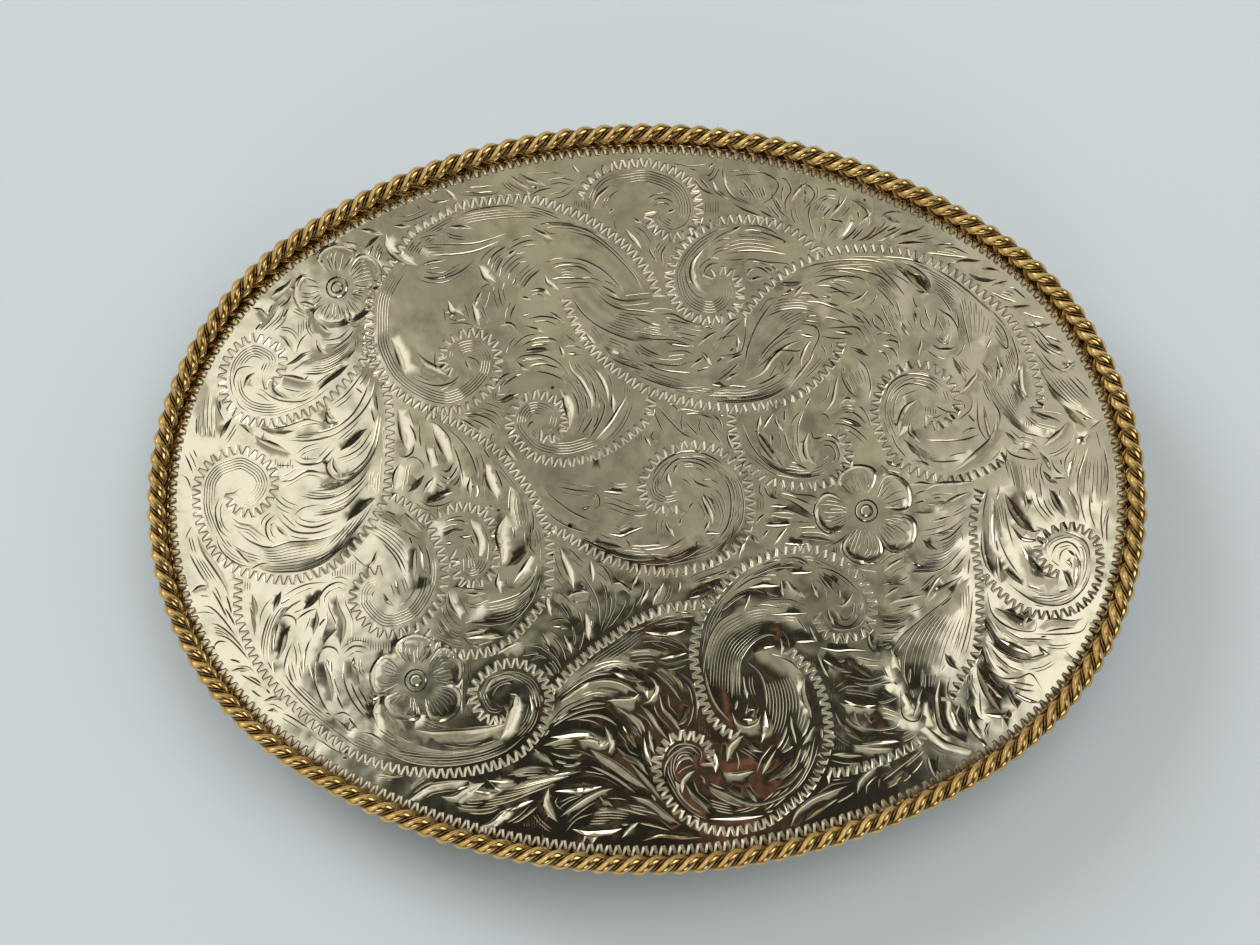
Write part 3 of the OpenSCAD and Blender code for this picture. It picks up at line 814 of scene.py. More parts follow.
            (0.5, -9.2, -10.2, -8.9, -11.3, -9, -12.5),
            (0.7, -5.6, -11.8, -5, -13, -5.1, -14.5, -5.7, -15.9),
            (0.4, -9.9, -14.2, -9.5, -15, -9, -15.6),
            (0.4, -7.7, -14.3, -7, -15.2, -6.8, -16.3),
            (0.4, -9.6, -17.3, -9, -17.9, -8.6, -18.5),
            (0.3, -4.8, -0.2, -4.7, -0.8),
            (0.9, -21.3, 1, -21.8, 0, -22, -0.8),
            (0.5, -17.3, 1.5, -17.6, 0.5, -17.3, -0.6),
            (0.9, -15, 1.5, -14.6, 0, -14.5, -1.3),
            (0.4, -15.6, -1.4, -14.9, -1.9),
            (0.3, -7.3, -10.8, -6.8, -10.2, -6, -10, -5.2, -10.2),
            (0.3, -2.7, -9.3, -1.9, -9.2, -1.2, -9.8, -1, -10.5),
        ],
        "dark": [
            (0.5, -24.6, -2.2, -23.3, -3.2, -22.1, -4.4),
            (0.4, -22.6, -5.2, -22, -6.3, -21.9, -8),
            (0.35, -24.8, -8.8, -24.4, -9.8, -24.2, -10.6),
            (0.8, -26, -10.2, -25.8, -11.2, -24.8, -11.6),
            (0.3, -18.4, -4.5, -17.6, -4.4, -17, -4.4),
            (0.7, -11.4, -6.1, -12.4, -6.9, -13.6, -7.8),
            (0.8, -16.9, -14.6, -15.2, -15, -13.6, -14.4),
            (0.3, -13.8, -16.8, -12.5, -16.9, -11.2, -16.8),
            (0.35, -7, -11, -6.2, -11.2),
            (0.35, -8.8, -13.6, -8, -13.4, -7.2, -13.8),
            (0.3, -6.2, -1.9, -5.6, -1.8, -5, -1.6),
            (0.5, -3.8, 0, -2.5, -0.3, -1.3, -0.2),
            (0.4, -3.3, -4.3, -2, -4.6, -0.8, -4.1, 0.2, -3.6),
            (0.6, -4.8, -5.2, -3.2, -5.8, -1.8, -5.7),
            (0.5, -21.9, -1, -20.3, -0.9, -18.8, -0.1),
            (0.3, -16.6, 0.8, -16.4, 0, -16.7, -0.6),
            (0.35, -14.8, -2, -13.9, -1.9),
            (0.3, -19.9, -5.2, -19.2, -5, -18.5, -5.2),
        ],
        "strokes": [
            (0.12, -24.6, -3.8, -23.3, -4.3, -22.3, -4.9, -21.9, -5),
            (0.25, -22.9, -6, -22.8, -7.5, -23.2, -9.5, -24.2, -10.8, -25.5, -10.7),
            (0.12, -20, -3, -19, -2.6, -18, -2.5, -17.5, -2.7),
            (0.15, -17.3, -6, -16.6, -6.1, -16, -5.7),
            (0.12, -17.6, -6.1, -17.5, -6.8, -17.1, -6.9),
            (0.12, -14, -5.2, -14.1, -6.5, -13.8, -7.6),
            (0.2, -11, -6.3, -11.2, -7.5, -12.3, -8.4, -13.6, -8.3),
            (0.2, -13.9, -8.4, -14, -9.3, -13.4, -10.2, -12.5, -10.4),
            (0.15, -11, -3, -11.2, -4.5, -10.9, -6),
            (0.2, -11.4, -5, -11, -5.9, -10.3, -6.3),
            (0.12, -19.6, -10.5, -19.4, -12, -18.5, -13.3, -17.3, -13.7),
            (0.15, -19.3, -9.6, -17, -9.8, -15, -10),
            (0.15, -17.8, -14.6, -17.2, -15.3, -16.2, -15.7),
            (0.15, -20.6, -12.6, -20, -13.6, -19, -14.7, -17.9, -15.2),
            (0.2, -14.2, -16, -12.7, -15.2, -11, -14.9, -10, -15.2),
            (0.12, -8.5, -5.3, -8.7, -6.5, -8, -8.5, -7, -9.7, -6.6, -9.9),
            (0.12, -8, -5.5, -7, -6, -6, -7, -5.2, -7.5),
            (0.15, -5, -6.9, -4, -7.8, -3, -8.7, -2.7, -10),
            (0.12, -9, -10, -8, -10.3, -7.2, -11, -6.5, -12),
            (0.25, -9.2, -13.3, -8.6, -12.9, -7.7, -12.8, -7, -13.3),
            (0.12, -9.8, -13.9, -8.8, -14.1, -7.9, -14.8, -7.3, -16),
            (0.25, -11, -17, -10.2, -16.6, -9.3, -16.8),
            (0.15, -8.5, 0.5, -6.5, 0.1, -4.8, 0),
            (0.2, -4.9, -0.1, -4.3, -0.5, -4.3, -1.5, -4.9, -1.9),
            (0.2, -4, -1.1, -2.8, -1.3, -1.5, -1.8, -0.3, -2, 0.5, -1.8),
            (0.15, -1.3, 1.3, -0.5, 0.5, -0.2, -0.3),
            (0.15, -1.6, -4.9, -1.2, -5.3, -1.3, -5.9),
            (0.15, -22.6, -0.7, -21.5, -1.4, -20, -1.3, -18.8, -0.7),
            (0.15, -17.9, 0.2, -17.2, -0.9, -16.3, 0),
            (0.2, -15.8, -0.8, -15.3, -1.8, -14.4, -2.2),
            (0.12, -1, -10.5, -1.4, -11.8, -2.5, -13.2),
        ],
        "fans": [
            (8, (-26.2, -1.9, -24.5, -3.2, -23.2, -5, -22.9, -7.4),
             (-27.5, -4, -26, -5.3, -24.7, -6.8, -24, -8.4)),
            (4, (-20.4, -3.3, -19.2, -2.9, -18, -3, -17.3, -3.5),
             (-20, -4.6, -19, -4, -18, -3.9, -17.6, -4)),
            (8, (-13.2, 0.5, -13.3, -1.5, -13, -3, -12.6, -5),
             (-11.6, 0, -11, -1.8, -10.8, -3.5, -11.2, -5.2)),
            (9, (-10.3, -6.8, -10.8, -9, -12, -10.3, -13.8, -11, -15.5, -11.3),
             (-10, -8.5, -11, -11, -12.6, -12.8, -14.8, -13.4, -17, -13.3)),
            (5, (-7, -7.5, -5.5, -9, -4.4, -11, -4, -13.5),
             (-6.7, -8.5, -5.5, -10, -4.9, -12, -4.8, -14.5)),
            (5, (-2.6, -9.8, -2.6, -11.5, -3.2, -13, -3.8, -14.2),
             (-1.3, -9.9, -1.6, -11.3, -2.5, -12.8, -3.5, -14)),
            (4, (-4.4, -8.5, -3.6, -10, -3.5, -12, -4, -14), (-3.2, -9.5, -3, -11, -3.2, -12.5, -3.8, -14)),
            (5, (-8.5, -11, -7.3, -12.5, -6.6, -14.5, -6.6, -16.5),
             (-6.9, -11.2, -6.1, -12.5, -5.7, -14, -6.1, -16)),
            (5, (-11.5, -15.5, -10, -15.6, -8.5, -16.8, -7.6, -18.3),
             (-11.8, -16.5, -10.3, -16.3, -9, -17.3, -8.2, -18.5)),
            (6, (-10.2, 0.6, -8.6, -0.9, -6.8, -2.2, -4.5, -3.2),
             (-10.6, -0.6, -9.2, -2.3, -7.5, -3.5, -5, -4.3)),
            (3, (-21, 1, -19.8, 0.3, -18.6, 1, -18.2, 2.5), (-20.5, 1.8, -19.6, 1.3, -18.9, 2, -18.5, 3)),
            (5, (-6.5, -4.6, -4, -6, -1, -6.8, 1.5, -6.8), (-4.8, -4.6, -2.5, -5.2, 0, -5.6, 2, -5.4)),
            (4, (-8.9, -14.5, -8, -15.6, -7.4, -17), (-9.8, -15.3, -8.9, -16.2, -8, -17.6)),
        ],
        "hatch": [
            (-22.5, -19.5, -17, -15.7),
            (-8.8, -6.8, -12.8, -9.9),
            (-20.8, -19.8, -1.7, 0),
        ],
    },
    "above, left": {
        "bevels": [
            (0.5, -26, 25.5, -25.2, 24.6, -24, 24, -22.9, 23.8),
            (0.3, -26, 26.9, -24.5, 26.4, -23.5, 26.4),
            (0.35, -25.9, 27.8, -25, 27.5, -24, 27.7),
            (0.4, -20.8, 31.6, -20, 30.9, -19.2, 30.4),
            (0.3, -13.8, 33, -13, 32.2, -12, 31.6, -11.2, 31.4),
            (0.4, -13.1, 33.1, -12.3, 32.3, -11.3, 31.9, -10.2, 31.8),
            (0.3, -7.4, 33.9, -7.2, 33.4, -6.8, 33.2),
            (0.4, -20.3, 27.6, -19.3, 27.2, -18.2, 27.1),
            (0.45, -11.3, 27.3, -10.5, 26.5, -9.8, 26.1, -8.8, 26),
            (0.3, -14.2, 24.1, -13.7, 24.7, -13, 25.1),
            (0.5, -16.8, 23, -16.5, 22.3, -15.8, 21.8),
            (0.35, -4.3, 21.2, -3.3, 20.7, -2.3, 19.8),
            (0.4, -4.8, 29.2, -4.6, 30.5, -3.8, 31.6, -2.7, 32.2),
            (0.2, -3.6, 28.7, -3, 29.3),
            (0.25, -1.1, 28.4, -0.9, 27.9, -0.2, 27.7),
            (0.3, -1.7, 26.8, -1.2, 25.8, -0.5, 24.9),
            (0.25, -12.6, 20, -12.1, 19.8, -11.4, 19.7),
            (0.25, -9.5, 23.5, -10.1, 22.7, -9.9, 21.5, -9, 20.9, -8, 20.7),
            (0.25, -16.5, 20.8, -16.7, 19.8, -17.2, 19),
            (0.4, -29.5, 27.5, -28, 26.8, -26.8, 26.9),
            (0.35, -31, 25.6, -30, 25.4, -29.2, 24.8),
        ],
        "dark": [
            (0.3, -23, 23.5, -22, 24, -21, 24.1, -20.2, 24.1),
            (0.3, -11.3, 27.5, -10, 27.9, -8.5, 27.9, -7, 27.7, -5, 26.9, -3.5, 25.8),
            (0.25, -22.8, 30.8, -21.8, 30.2, -20.8, 30.2, -20, 30.5),
        ],
        "strokes": [
            (0.2, -23.2, 22.7, -22, 22.2, -20.5, 22.2, -19.2, 22.8, -17.8, 23.6),
            (0.12, -23.3, 26.3, -22, 26.7, -20.5, 26.8),
            (0.12, -26, 28.4, -24.3, 28.3, -22.7, 28.9, -21.5, 29.5),
            (0.12, -26, 29.5, -25, 29.8, -23.7, 29.7),
            (0.15, -23.4, 30, -23.1, 29.3),
            (0.12, -19.5, 31.5, -17.8, 32.2, -16, 32.2),
            (0.12, -19.3, 31, -17.5, 30.9, -15.5, 31, -14.8, 31.5),
            (0.12, -14.5, 33, -13.8, 32, -12.5, 31.3, -11.8, 30.8),
            (0.15, -11.9, 30.7, -10.8, 31.3, -9.3, 31.6),
            (0.15, -12.5, 33.7, -11, 33.6, -9.5, 33.7, -8, 33.5),
            (0.15, -7.5, 34, -7, 34.6, -5, 34.4, -3, 34.4),
            (0.12, -10, 31.9, -8.5, 32.1, -7, 31.7),
            (0.12, -9.7, 30.4, -8.2, 30.7, -7, 31.7),
            (0.15, -19.3, 28.5, -18, 29.2, -16, 29.6, -14, 29.7, -12, 29.2),
            (0.15, -14.2, 24.8, -13, 25.6, -11.8, 26, -10.5, 26),
            (0.12, -17, 23.2, -16.5, 24.3, -15.5, 25.2, -14.8, 25.5),
            (0.2, -4.6, 20.8, -3.3, 20, -2, 19.6, -0.5, 19.7, 0.8, 19.9),
            (0.12, -9.9, 23.2, -8.5, 23.6, -6.5, 23.5, -5, 22.8),
            (0.15, -8.7, 21.4, -7, 21.5, -5.5, 21.5, -4.3, 21.1),
            (0.25, -11.6, 20.7, -10.8, 20.9, -10, 20.6, -9.4, 20),
            (0.15, -14.7, 21.7, -14.8, 20.7, -14.5, 19.5, -14, 18.8),
            (0.12, -14.3, 22, -14, 23, -13, 24, -12, 24.3),
            (0.1, -13, 22.2, -12.2, 23, -11.3, 23.7),
            (0.12, -16.8, 20.9, -16, 21.4, -15.3, 21.3),
            (0.15, -1.1, 27.5, 0, 26.8, 1, 25.2),
            (0.1, -3, 28.5, -3, 27.5, -2.5, 26.8),
            (0.12, -29.8, 28.8, -28.5, 28.3, -27.3, 28.6, -26, 29.4),
            (0.12, -32.5, 26.8, -31, 27, -29.8, 27.6),
        ],
        "fans": [
            (13, (-8, 27, -5, 26.1, -2.7, 24.2, -0.8, 22, 0, 20.5),
             (-8, 24.2, -6, 23.8, -4, 22.7, -2.5, 21.2, -1.9, 20.2)),
            (5, (-23, 25.8, -20, 25.7, -17, 25.8, -14, 26.8), (-22, 24.6, -19.5, 24.6, -17, 25, -14.8, 26)),
            (5, (-9.6, 22.9, -8.2, 23.3, -6.4, 23.1, -4.6, 22),
             (-9.4, 21.9, -8, 22, -6.4, 21.9, -4.6, 21.4)),
            (4, (-16, 23.4, -15.3, 24.6, -13.8, 25.6), (-15.2, 22.4, -14.6, 23.8, -13.6, 24.6)),
            (4, (-13.3, 32.6, -12.2, 31.9, -10.4, 31.4), (-12.8, 31.6, -11.4, 31.2, -10, 31.2)),
            (3, (-18.5, 31.8, -17, 31.7, -15.6, 31.9), (-18.5, 31.3, -17, 31.1, -15.6, 31.3)),
            (4, (-28.5, 24.5, -27.8, 26, -27, 27.6), (-27.4, 24, -26.8, 25.4, -25.5, 26.8)),
            (4, (-13.4, 21.2, -12.6, 22.6, -11, 23.9), (-12.4, 20.8, -11.6, 22, -10.4, 23)),
        ],
        "hatch": [
            (-7.2, -5.2, 28.8, 30.3),
            (-3, -1.5, 34.6, 34.9),
        ],
    },
    "above, middle": {
        "bevels": [
            (0.35, 6.5, 33.4, 7, 33.9, 7.2, 34.2),
            (0.3, 7, 32.6, 7.8, 31.7, 8.5, 30.6, 9.2, 30.1),
            (0.4, 8.1, 32.4, 8.7, 31.5, 9.3, 30.8, 9.9, 30.2),
            (0.3, 13.3, 32.2, 14, 32.4, 14.8, 32.2),
            (0.3, 15, 30, 15.3, 31, 16, 31.8, 16.8, 32.2),
            (0.4, 17.4, 30.8, 18.3, 31.3, 19.3, 31.4, 20.2, 31.3),
            (0.3, 20.7, 30.8, 20.5, 29.9, 20, 29.2, 19.2, 28.5, 18.8, 28.2),
            (0.35, 21, 30.4, 22, 30.3, 22.9, 29.8, 23.3, 29, 23.2, 28, 22.7, 27.4),
            (0.6, 22.8, 25.5, 24, 25.8, 25, 26.6, 26, 27.7),
            (0.6, 8.5, 26.2, 6.8, 25.5, 5.6, 24.3, 5, 23, 4.9, 22),
            (0.35, 7, 25, 5.7, 23.6, 5.3, 22.3, 5.8, 21.3, 6.5, 20.7),
            (0.4, 8.5, 26.6, 9.2, 27.2, 10, 27.5),
            (0.4, 10.5, 22.2, 10.7, 22.9, 11.3, 23),
            (0.35, 16.3, 21.3, 15.8, 20.5, 15.2, 20),
            (0.45, 22.3, 21.9, 23, 21.2, 22.9, 20.2, 22.3, 19.5),
            (0.35, 20.2, 19.3, 20.6, 19.5, 21, 19.3),
            (0.3, 12, 33.5, 12.7, 32.5, 12.8, 31.8),
            (0.2, 2.2, 28.7, 2.9, 28.9, 3.3, 29.2),
        ],
        "dark": [
            (0.5, 21.4, 29, 21.3, 27.8, 20.6, 26.7, 19.6, 26),
            (0.4, 16.3, 31.5, 16.6, 30.6, 16.3, 29.9),
            (0.3, 6.2, 20.6, 6.9, 20.5, 7.6, 20.5),
            (0.45, 13.5, 21.6, 14.8, 21.7, 16.2, 21.7),
            (0.25, 18.1, 20.2, 18.7, 20.2, 19.1, 20.1),
            (0.25, 18.4, 28, 18.2, 27, 18, 26),
        ],
        "strokes": [
            (0.15, 0.5, 29.9, 1.2, 30.3, 2, 30.4, 2.8, 30.1, 3.3, 29.6, 3.3, 29.1),
            (0.2, 6, 32.7, 6.7, 32.9, 7.3, 34),
            (0.12, 7.9, 34, 8, 33, 8.2, 32.3),
            (0.2, 9, 34, 10.5, 34, 12, 33.5),
            (0.1, 8.5, 32.7, 10, 32.9, 11.8, 32.9),
            (0.2, 9, 29.9, 10, 29.3, 11.2, 28.8, 12.3, 28.3),
            (0.15, 13, 31.8, 13.1, 30.5, 13.7, 29.3, 14.7, 28.3, 15.5, 27.6),
            (0.12, 15.1, 29.8, 15, 29, 15.2, 28.2, 15.7, 27.4),
            (0.2, 16.8, 32.1, 17.2, 31.3, 17, 30.3, 16.4, 29.5),
            (0.2, 18.5, 28.1, 19.3, 28.2, 20.2, 28, 20.5, 27.3),
            (0.2, 23.7, 28.2, 24.5, 28.9, 25.5, 29.2, 26.5, 29.1),
            (0.2, 20.3, 31.9, 20.7, 31.2, 21.2, 30.7),
            (0.15, 10, 27.4, 11.5, 27.5, 13, 27, 14.2, 26.2),
            (0.15, 4.2, 23.3, 4.4, 21.6, 5.3, 20.2, 6.5, 19.7),
            (0.2, 6, 22, 6.3, 23, 7, 23.5, 7.7, 23.5),
            (0.12, 8.2, 23.9, 9.5, 23.9, 10.5, 24.1),
            (0.2, 9.8, 22.3, 9.9, 23.3, 10.6, 24, 11.5, 24.1),
            (0.2, 11, 23.2, 12, 23, 12.8, 22.4, 13.2, 22),
            (0.12, 10, 21.7, 10.8, 21.9, 12, 22, 12.8, 22.1),
            (0.12, 13.9, 20, 12.7, 19.8, 12, 18.8, 11.5, 18),
            (0.22, 17.5, 21.3, 18.7, 21.2, 19.8, 20.8, 20.8, 20.2, 21.3, 19.8),
            (0.12, 16.5, 21.9, 18, 22.3, 20, 22.3, 21.5, 22),
            (0.2, 18.4, 19.6, 19.3, 19.3, 20, 19.2),
            (0.15, 20, 27.8, 19.2, 27, 18.6, 26.2),
            (0.12, 2.6, 34.7, 4.5, 34.3, 6.3, 34.5),
            (0.12, 4.5, 33.6, 5.6, 33.3),
        ],
        "fans": [
            (3, (5, 32.6, 6, 31.3, 7.3, 30.7), (5.6, 32.6, 6.5, 31.6, 7.5, 31)),
            (4, (9.7, 31.3, 10.8, 30, 12, 29, 13.3, 28.3), (12, 31.8, 12.5, 30.3, 13.3, 29, 14.2, 28)),
            (4, (13.3, 31.8, 13.4, 30.5, 14, 29.3, 14.9, 28.3),
             (14.3, 31.8, 14, 30.7, 14.5, 29.5, 15.2, 28.3)),
            (7, (17.3, 30.3, 16.8, 29, 17, 27.5, 17.6, 26), (19.2, 29.6, 18.3, 28.5, 17.9, 27.2, 17.9, 26)),
            (3, (21.8, 29.3, 21.9, 28, 21.2, 26.8, 20, 25.9), (22.8, 29.3, 22.8, 28, 22, 26.9, 21, 26)),
            (4, (23.8, 27.9, 23.3, 27, 22.5, 26.3, 21.5, 25.9),
             (26, 28.4, 24.8, 27.5, 23.5, 26.6, 22.3, 25.9)),
            (6, (9, 26.8, 11, 27, 13, 26.5, 15, 25.6), (8.3, 24.4, 10, 24.8, 12, 24.8, 14.5, 24.5)),
            (7, (15.5, 22.8, 18, 23.6, 21, 24, 24, 23.8, 26.5, 23),
             (17, 22.1, 19, 22.9, 21.5, 23, 24, 22.3, 26, 20.5)),
            (6, (12.8, 19.8, 14.5, 20.3, 16.5, 20.4, 18, 19.8), (12.2, 17.8, 14, 18.6, 16, 18.8, 18, 18.2)),
            (3, (11.4, 23.8, 12.6, 23.6, 13.6, 22.8), (11.4, 23.3, 12.4, 23.1, 13.2, 22.6)),
            (4, (1.6, 26.3, 0.6, 25, 1.4, 23.6), (2.4, 25.6, 1.8, 24.4, 2, 23.2)),
            (4, (9.6, 33.4, 10.3, 32, 11.5, 30.3), (11.6, 33.2, 12, 31.8, 12.6, 30.3)),
        ],
        "hatch": [
            (6, 7.6, 28.6, 30.2),
            (14.8, 16.5, 25.8, 26.8),
        ],
    },
    "right of the middle, above": {
        "bevels": [
            (0.4, 8, 16.3, 8.9, 17, 9.9, 18),
            (0.3, 5.5, 14.8, 6.6, 15.4, 7.6, 16.4),
            (0.35, 5.9, 14.4, 6.6, 13.8, 7, 12.9),
            (0.5, 8.2, 11.1, 9.2, 11.8, 10, 12.4),
            (0.45, 10.3, 11.3, 12, 12.3, 13, 13.8, 14.5, 15.1, 16.4, 15.7),
            (0.4, 14.1, 14, 14.9, 14.9, 16, 15.6),
            (0.6, 17.6, 16, 16.9, 15, 16.6, 13.5, 16, 12.2),
            (0.4, 15.9, 17.6, 17.2, 17.3, 17.8, 16.3, 17.4, 15),
            (0.35, 17.4, 14.5, 17, 13, 15.8, 11.4, 14.6, 10.3),
            (0.6, 16.6, 6.3, 16.2, 5.2, 16.4, 3.9, 17.1, 2.9, 18.1, 2.6),
            (0.3, 18.2, 3.3, 18.8, 3.7),
            (0.4, 16.3, 8.5, 16.6, 9.3, 17, 9.8),
            (0.5, 18.3, 8.1, 19.4, 9.2, 19.8, 10.8, 19.7, 12.3),
            (0.3, 12.3, 6.3, 12.6, 7.3, 13.4, 8),
            (0.3, 13.4, 7.9, 13.9, 7, 14.2, 6.2),
            (0.5, 8.3, 5.8, 8.7, 4.9, 9, 4),
            (0.3, 11.9, 7.8, 12, 6.9, 11.7, 5.8),
            (0.5, 11.3, 6.4, 11.9, 4.9, 13, 3.4, 14.3, 2.4),
            (0.4, 0.2, 5.7, 0.5, 5, 0.9, 4.6),
            (0.3, 3.2, 1.6, 3.3, 2.4, 3.8, 2.9),
            (0.35, 2.7, 1.9, 2.5, 1.2, 3, 0.4),
            (0.35, 23.2, 15.2, 24.4, 15.8, 25.8, 15.2),
            (0.3, 19.8, 9.1, 20.6, 9.7, 21.5, 9.3),
            (0.3, 9.9, 17.8, 10.5, 16.8, 10.4, 15.5),
            (0.4, 9.6, 16, 9.9, 15, 9.5, 14.2),
            (0.3, 8.4, 13.2, 9.2, 13.8, 10.2, 14.1),
        ],
        "dark": [
            (0.35, 0, 13.7, 1.4, 13, 3, 12.8, 4.6, 13.2, 5.6, 13.9),
            (0.35, 19.3, 16.6, 20.5, 16.6, 21.3, 16.2),
            (0.4, 21.1, 18.5, 21.9, 18, 22.5, 17.4),
            (0.3, 20.1, 7.4, 21, 7.3, 22.1, 6.7),
            (0.45, 4, 2, 5, 1.5, 5.7, 0.6),
            (0.3, 15.9, 16.2, 16.6, 15.9, 17.4, 15.9),
            (0.3, 1.4, 7.8, 1.6, 7, 2.2, 6.1),
            (0.7, 13, 6, 13.2, 5, 13.2, 4.4),
            (0.35, 21, 14.9, 22, 14.7, 22.8, 14),
            (0.4, 23.2, 18, 23.6, 17, 24.5, 16.2),
            (0.3, 2.2, 15.3, 3.6, 15.2, 5.2, 14.9),
            (0.3, 6.9, 11, 7.9, 11, 8.7, 10.7),
        ],
        "strokes": [
            (0.2, 0.8, 18.1, 1.8, 18.2, 3.3, 18, 4.6, 17.3, 5.8, 17, 6.6, 17.1),
            (0.15, -1, 16, 1, 15.6, 3.2, 15.5, 5.2, 14.8),
            (0.15, 2.5, 14.3, 4.2, 14.4, 5.4, 13.9),
            (0.2, 18.1, 16.8, 19.6, 16.9, 21.5, 17, 22.4, 16.2, 23, 15.2),
            (0.15, 22, 18.5, 22.8, 17.5, 23.4, 16.5),
            (0.2, 19.2, 7.2, 20.2, 7.6, 21.5, 7.2, 22.6, 6.3),
            (0.15, 18.8, 6.4, 19.4, 7, 20.8, 6.8, 22, 6, 23, 5),
            (0.15, 20, 13, 20.2, 11.5, 21, 10.2, 22, 9.6),
            (0.2, 4, 7.9, 3.9, 6.9, 4.2, 6),
            (0.2, 5.9, 7.5, 5.7, 6.7, 6, 5.8),
            (0.2, 6, 7, 6.6, 7.7, 7.4, 7.5, 8, 6.7, 8, 6),
            (0.15, 1.2, 8.8, 1.5, 7.6, 2, 6.9),
            (0.15, 1.2, 6.2, 0.9, 5.5, 1.6, 5),
            (0.15, 3.7, 3, 5, 3, 6.2, 2.6, 7, 1.8),
            (0.2, 5.9, 0.5, 6.8, 0.7, 7.6, 0.2),
            (0.15, 14.8, 6.6, 15.3, 7.6, 16, 8.3),
            (0.15, 17.6, 8, 18.5, 7.9, 19, 7),
            (0.2, 17, 6.4, 17.3, 5.5, 18.3, 5.7),
            (0.15, 16.9, 4.4, 17.3, 3.5, 18, 3.1),
            (0.2, 17.5, 4.9, 18.4, 5.3, 19.4, 5, 19.8, 4, 19.5, 3, 18.6, 2.5),
            (0.15, 18, 16, 19.5, 15.8, 20.8, 15.9),
            (0.15, 7, 14.8, 8, 15.8, 9.5, 16),
            (0.12, 13.9, 13.6, 14.2, 12.6, 13.8, 11.8),
        ],
        "fans": [
            (8, (-1, 13.8, 1, 12.7, 3, 12.2, 5, 12.2, 7, 12.9, 9, 14.5, 9.8, 15.6),
             (-1, 12, 1, 11.2, 3, 10.6, 5, 10.5, 7, 11, 9, 12.4, 10.3, 14)),
            (6, (8.5, 10.8, 10.5, 10.7, 12.5, 11.3, 14.5, 12.8, 15.8, 14.8),
             (6, 9.4, 9, 9.1, 12, 9.4, 14.4, 10.5, 16.3, 12.3)),
            (14, (10.3, 12.4, 10.7, 15, 12, 17.9, 14, 20.2, 16.5, 21.2, 19, 21.2),
             (11.2, 12.4, 12.3, 14.4, 13.6, 15.8, 15, 16.9, 16.4, 17.5, 18, 17.3)),
            (6, (16.5, 19.6, 18.3, 19.3, 20.5, 18.4, 22.2, 17.2), (16.5, 18, 18, 18, 19.6, 17.7, 21, 17.1)),
            (7, (9.9, 7.5, 10.9, 4.9, 12.9, 2.6, 16, 1.5, 18.3, 1.8),
             (11.3, 7.5, 11.6, 5.8, 13.5, 3.8, 15.4, 2.9, 16.8, 2.2)),
            (7, (14.4, 9, 14.3, 6.5, 14.7, 4.5, 15.8, 2.8), (16.3, 8.4, 15.7, 7, 15.6, 5.5, 15.9, 4)),
            (4, (17.4, 5.5, 18.8, 5.8, 20, 4.9, 20.2, 3.4, 19.2, 2.1),
             (17.9, 4.6, 18.7, 4.8, 19.3, 4.3, 19.4, 3.5, 18.8, 2.8)),
            (4, (19.8, 9, 21, 9.3, 22.3, 8.4, 23, 7), (20, 8, 21, 8.2, 22, 7.6, 22.8, 6.6)),
            (8, (21.5, 13.8, 22.6, 12.7, 23, 11, 22.8, 9.6), (20.2, 13, 20.5, 11.6, 21.2, 10.3, 22, 9.4)),
            (4, (24.2, 15.2, 25.4, 14.6, 25.9, 13.4), (23.8, 14.6, 24.6, 14.1, 24.9, 13)),
            (5, (1.5, 8.8, 2.8, 7.2, 4.2, 5.8, 5.8, 5.2), (2.3, 9.2, 3.5, 8.4, 4.6, 6.8, 6, 5.4)),
            (5, (4.3, 7.5, 4.8, 6.5, 6, 5.4), (5.6, 7.3, 5.9, 6.3, 6.6, 5.3)),
            (4, (6.3, 7.4, 6.9, 6.3, 8.2, 4.6), (7.7, 7.3, 8, 6.3, 8.7, 5)),
            (6, (0.9, 1, 1.8, 2.7, 3.5, 3.8, 5.5, 4, 7.5, 3.2, 9, 1.8),
             (1.9, 0.8, 2.5, 2.3, 3.7, 3.3, 5.4, 3.3, 6.9, 2.6, 8, 1.4)),
            (5, (-1, 17.9, 0.5, 17.2, 1.8, 17), (-1, 16.4, 1, 16, 3, 15.9)),
            (3, (1.8, 18, 4.5, 17.2, 7.2, 16.7), (3, 16.4, 5, 16, 6.5, 15.9)),
            (4, (3.8, 8.4, 6, 8, 8.4, 7.6), (4.4, 7.9, 6, 7.8, 8.2, 7)),
            (6, (17.8, 15.5, 18.5, 14.2, 18.6, 12.8, 18, 11), (18.9, 15.8, 19.2, 14.4, 19.2, 13, 18.9, 12)),
            (4, (24, 19.5, 24.6, 18, 25.4, 16.6), (25.6, 20, 26, 18.5, 26.5, 17)),
        ],
        "hatch": [
            (14.2, 15.5, 9.5, 10.4),
            (-0.6, 0.8, 4.9, 6.2),
        ],
    },
    "right of the middle, below": {
        "bevels": [
            (0.4, 6, 0, 6.9, -1.2, 7.3, -2.4, 7.1, -3.3),
            (0.45, 6.6, -2.6, 6.5, -3.5, 6.2, -4.3),
            (0.3, 5.4, -1, 5.1, -1.6, 4.7, -2.1),
            (0.5, 2.2, -2.3, 2.8, -3.2, 3.3, -3.8, 3.2, -4.6),
            (0.3, 4, -2.7, 3.7, -3.5),
            (0.3, -0.9, -9.9, -0.4, -9, -0.3, -8.3),
            (0.3, 0, -11.5, 0.6, -10.7, 0.8, -9.8),
            (0.35, 1.2, -11.5, 2, -10.3, 2.3, -9.2),
            (0.35, 3.9, -9, 4, -9.6, 3.8, -10.2),
            (0.8, 11.2, -10.4, 10.6, -11.2, 10.4, -12.1),
            (0.4, 13.3, -3.3, 13.8, -3.4),
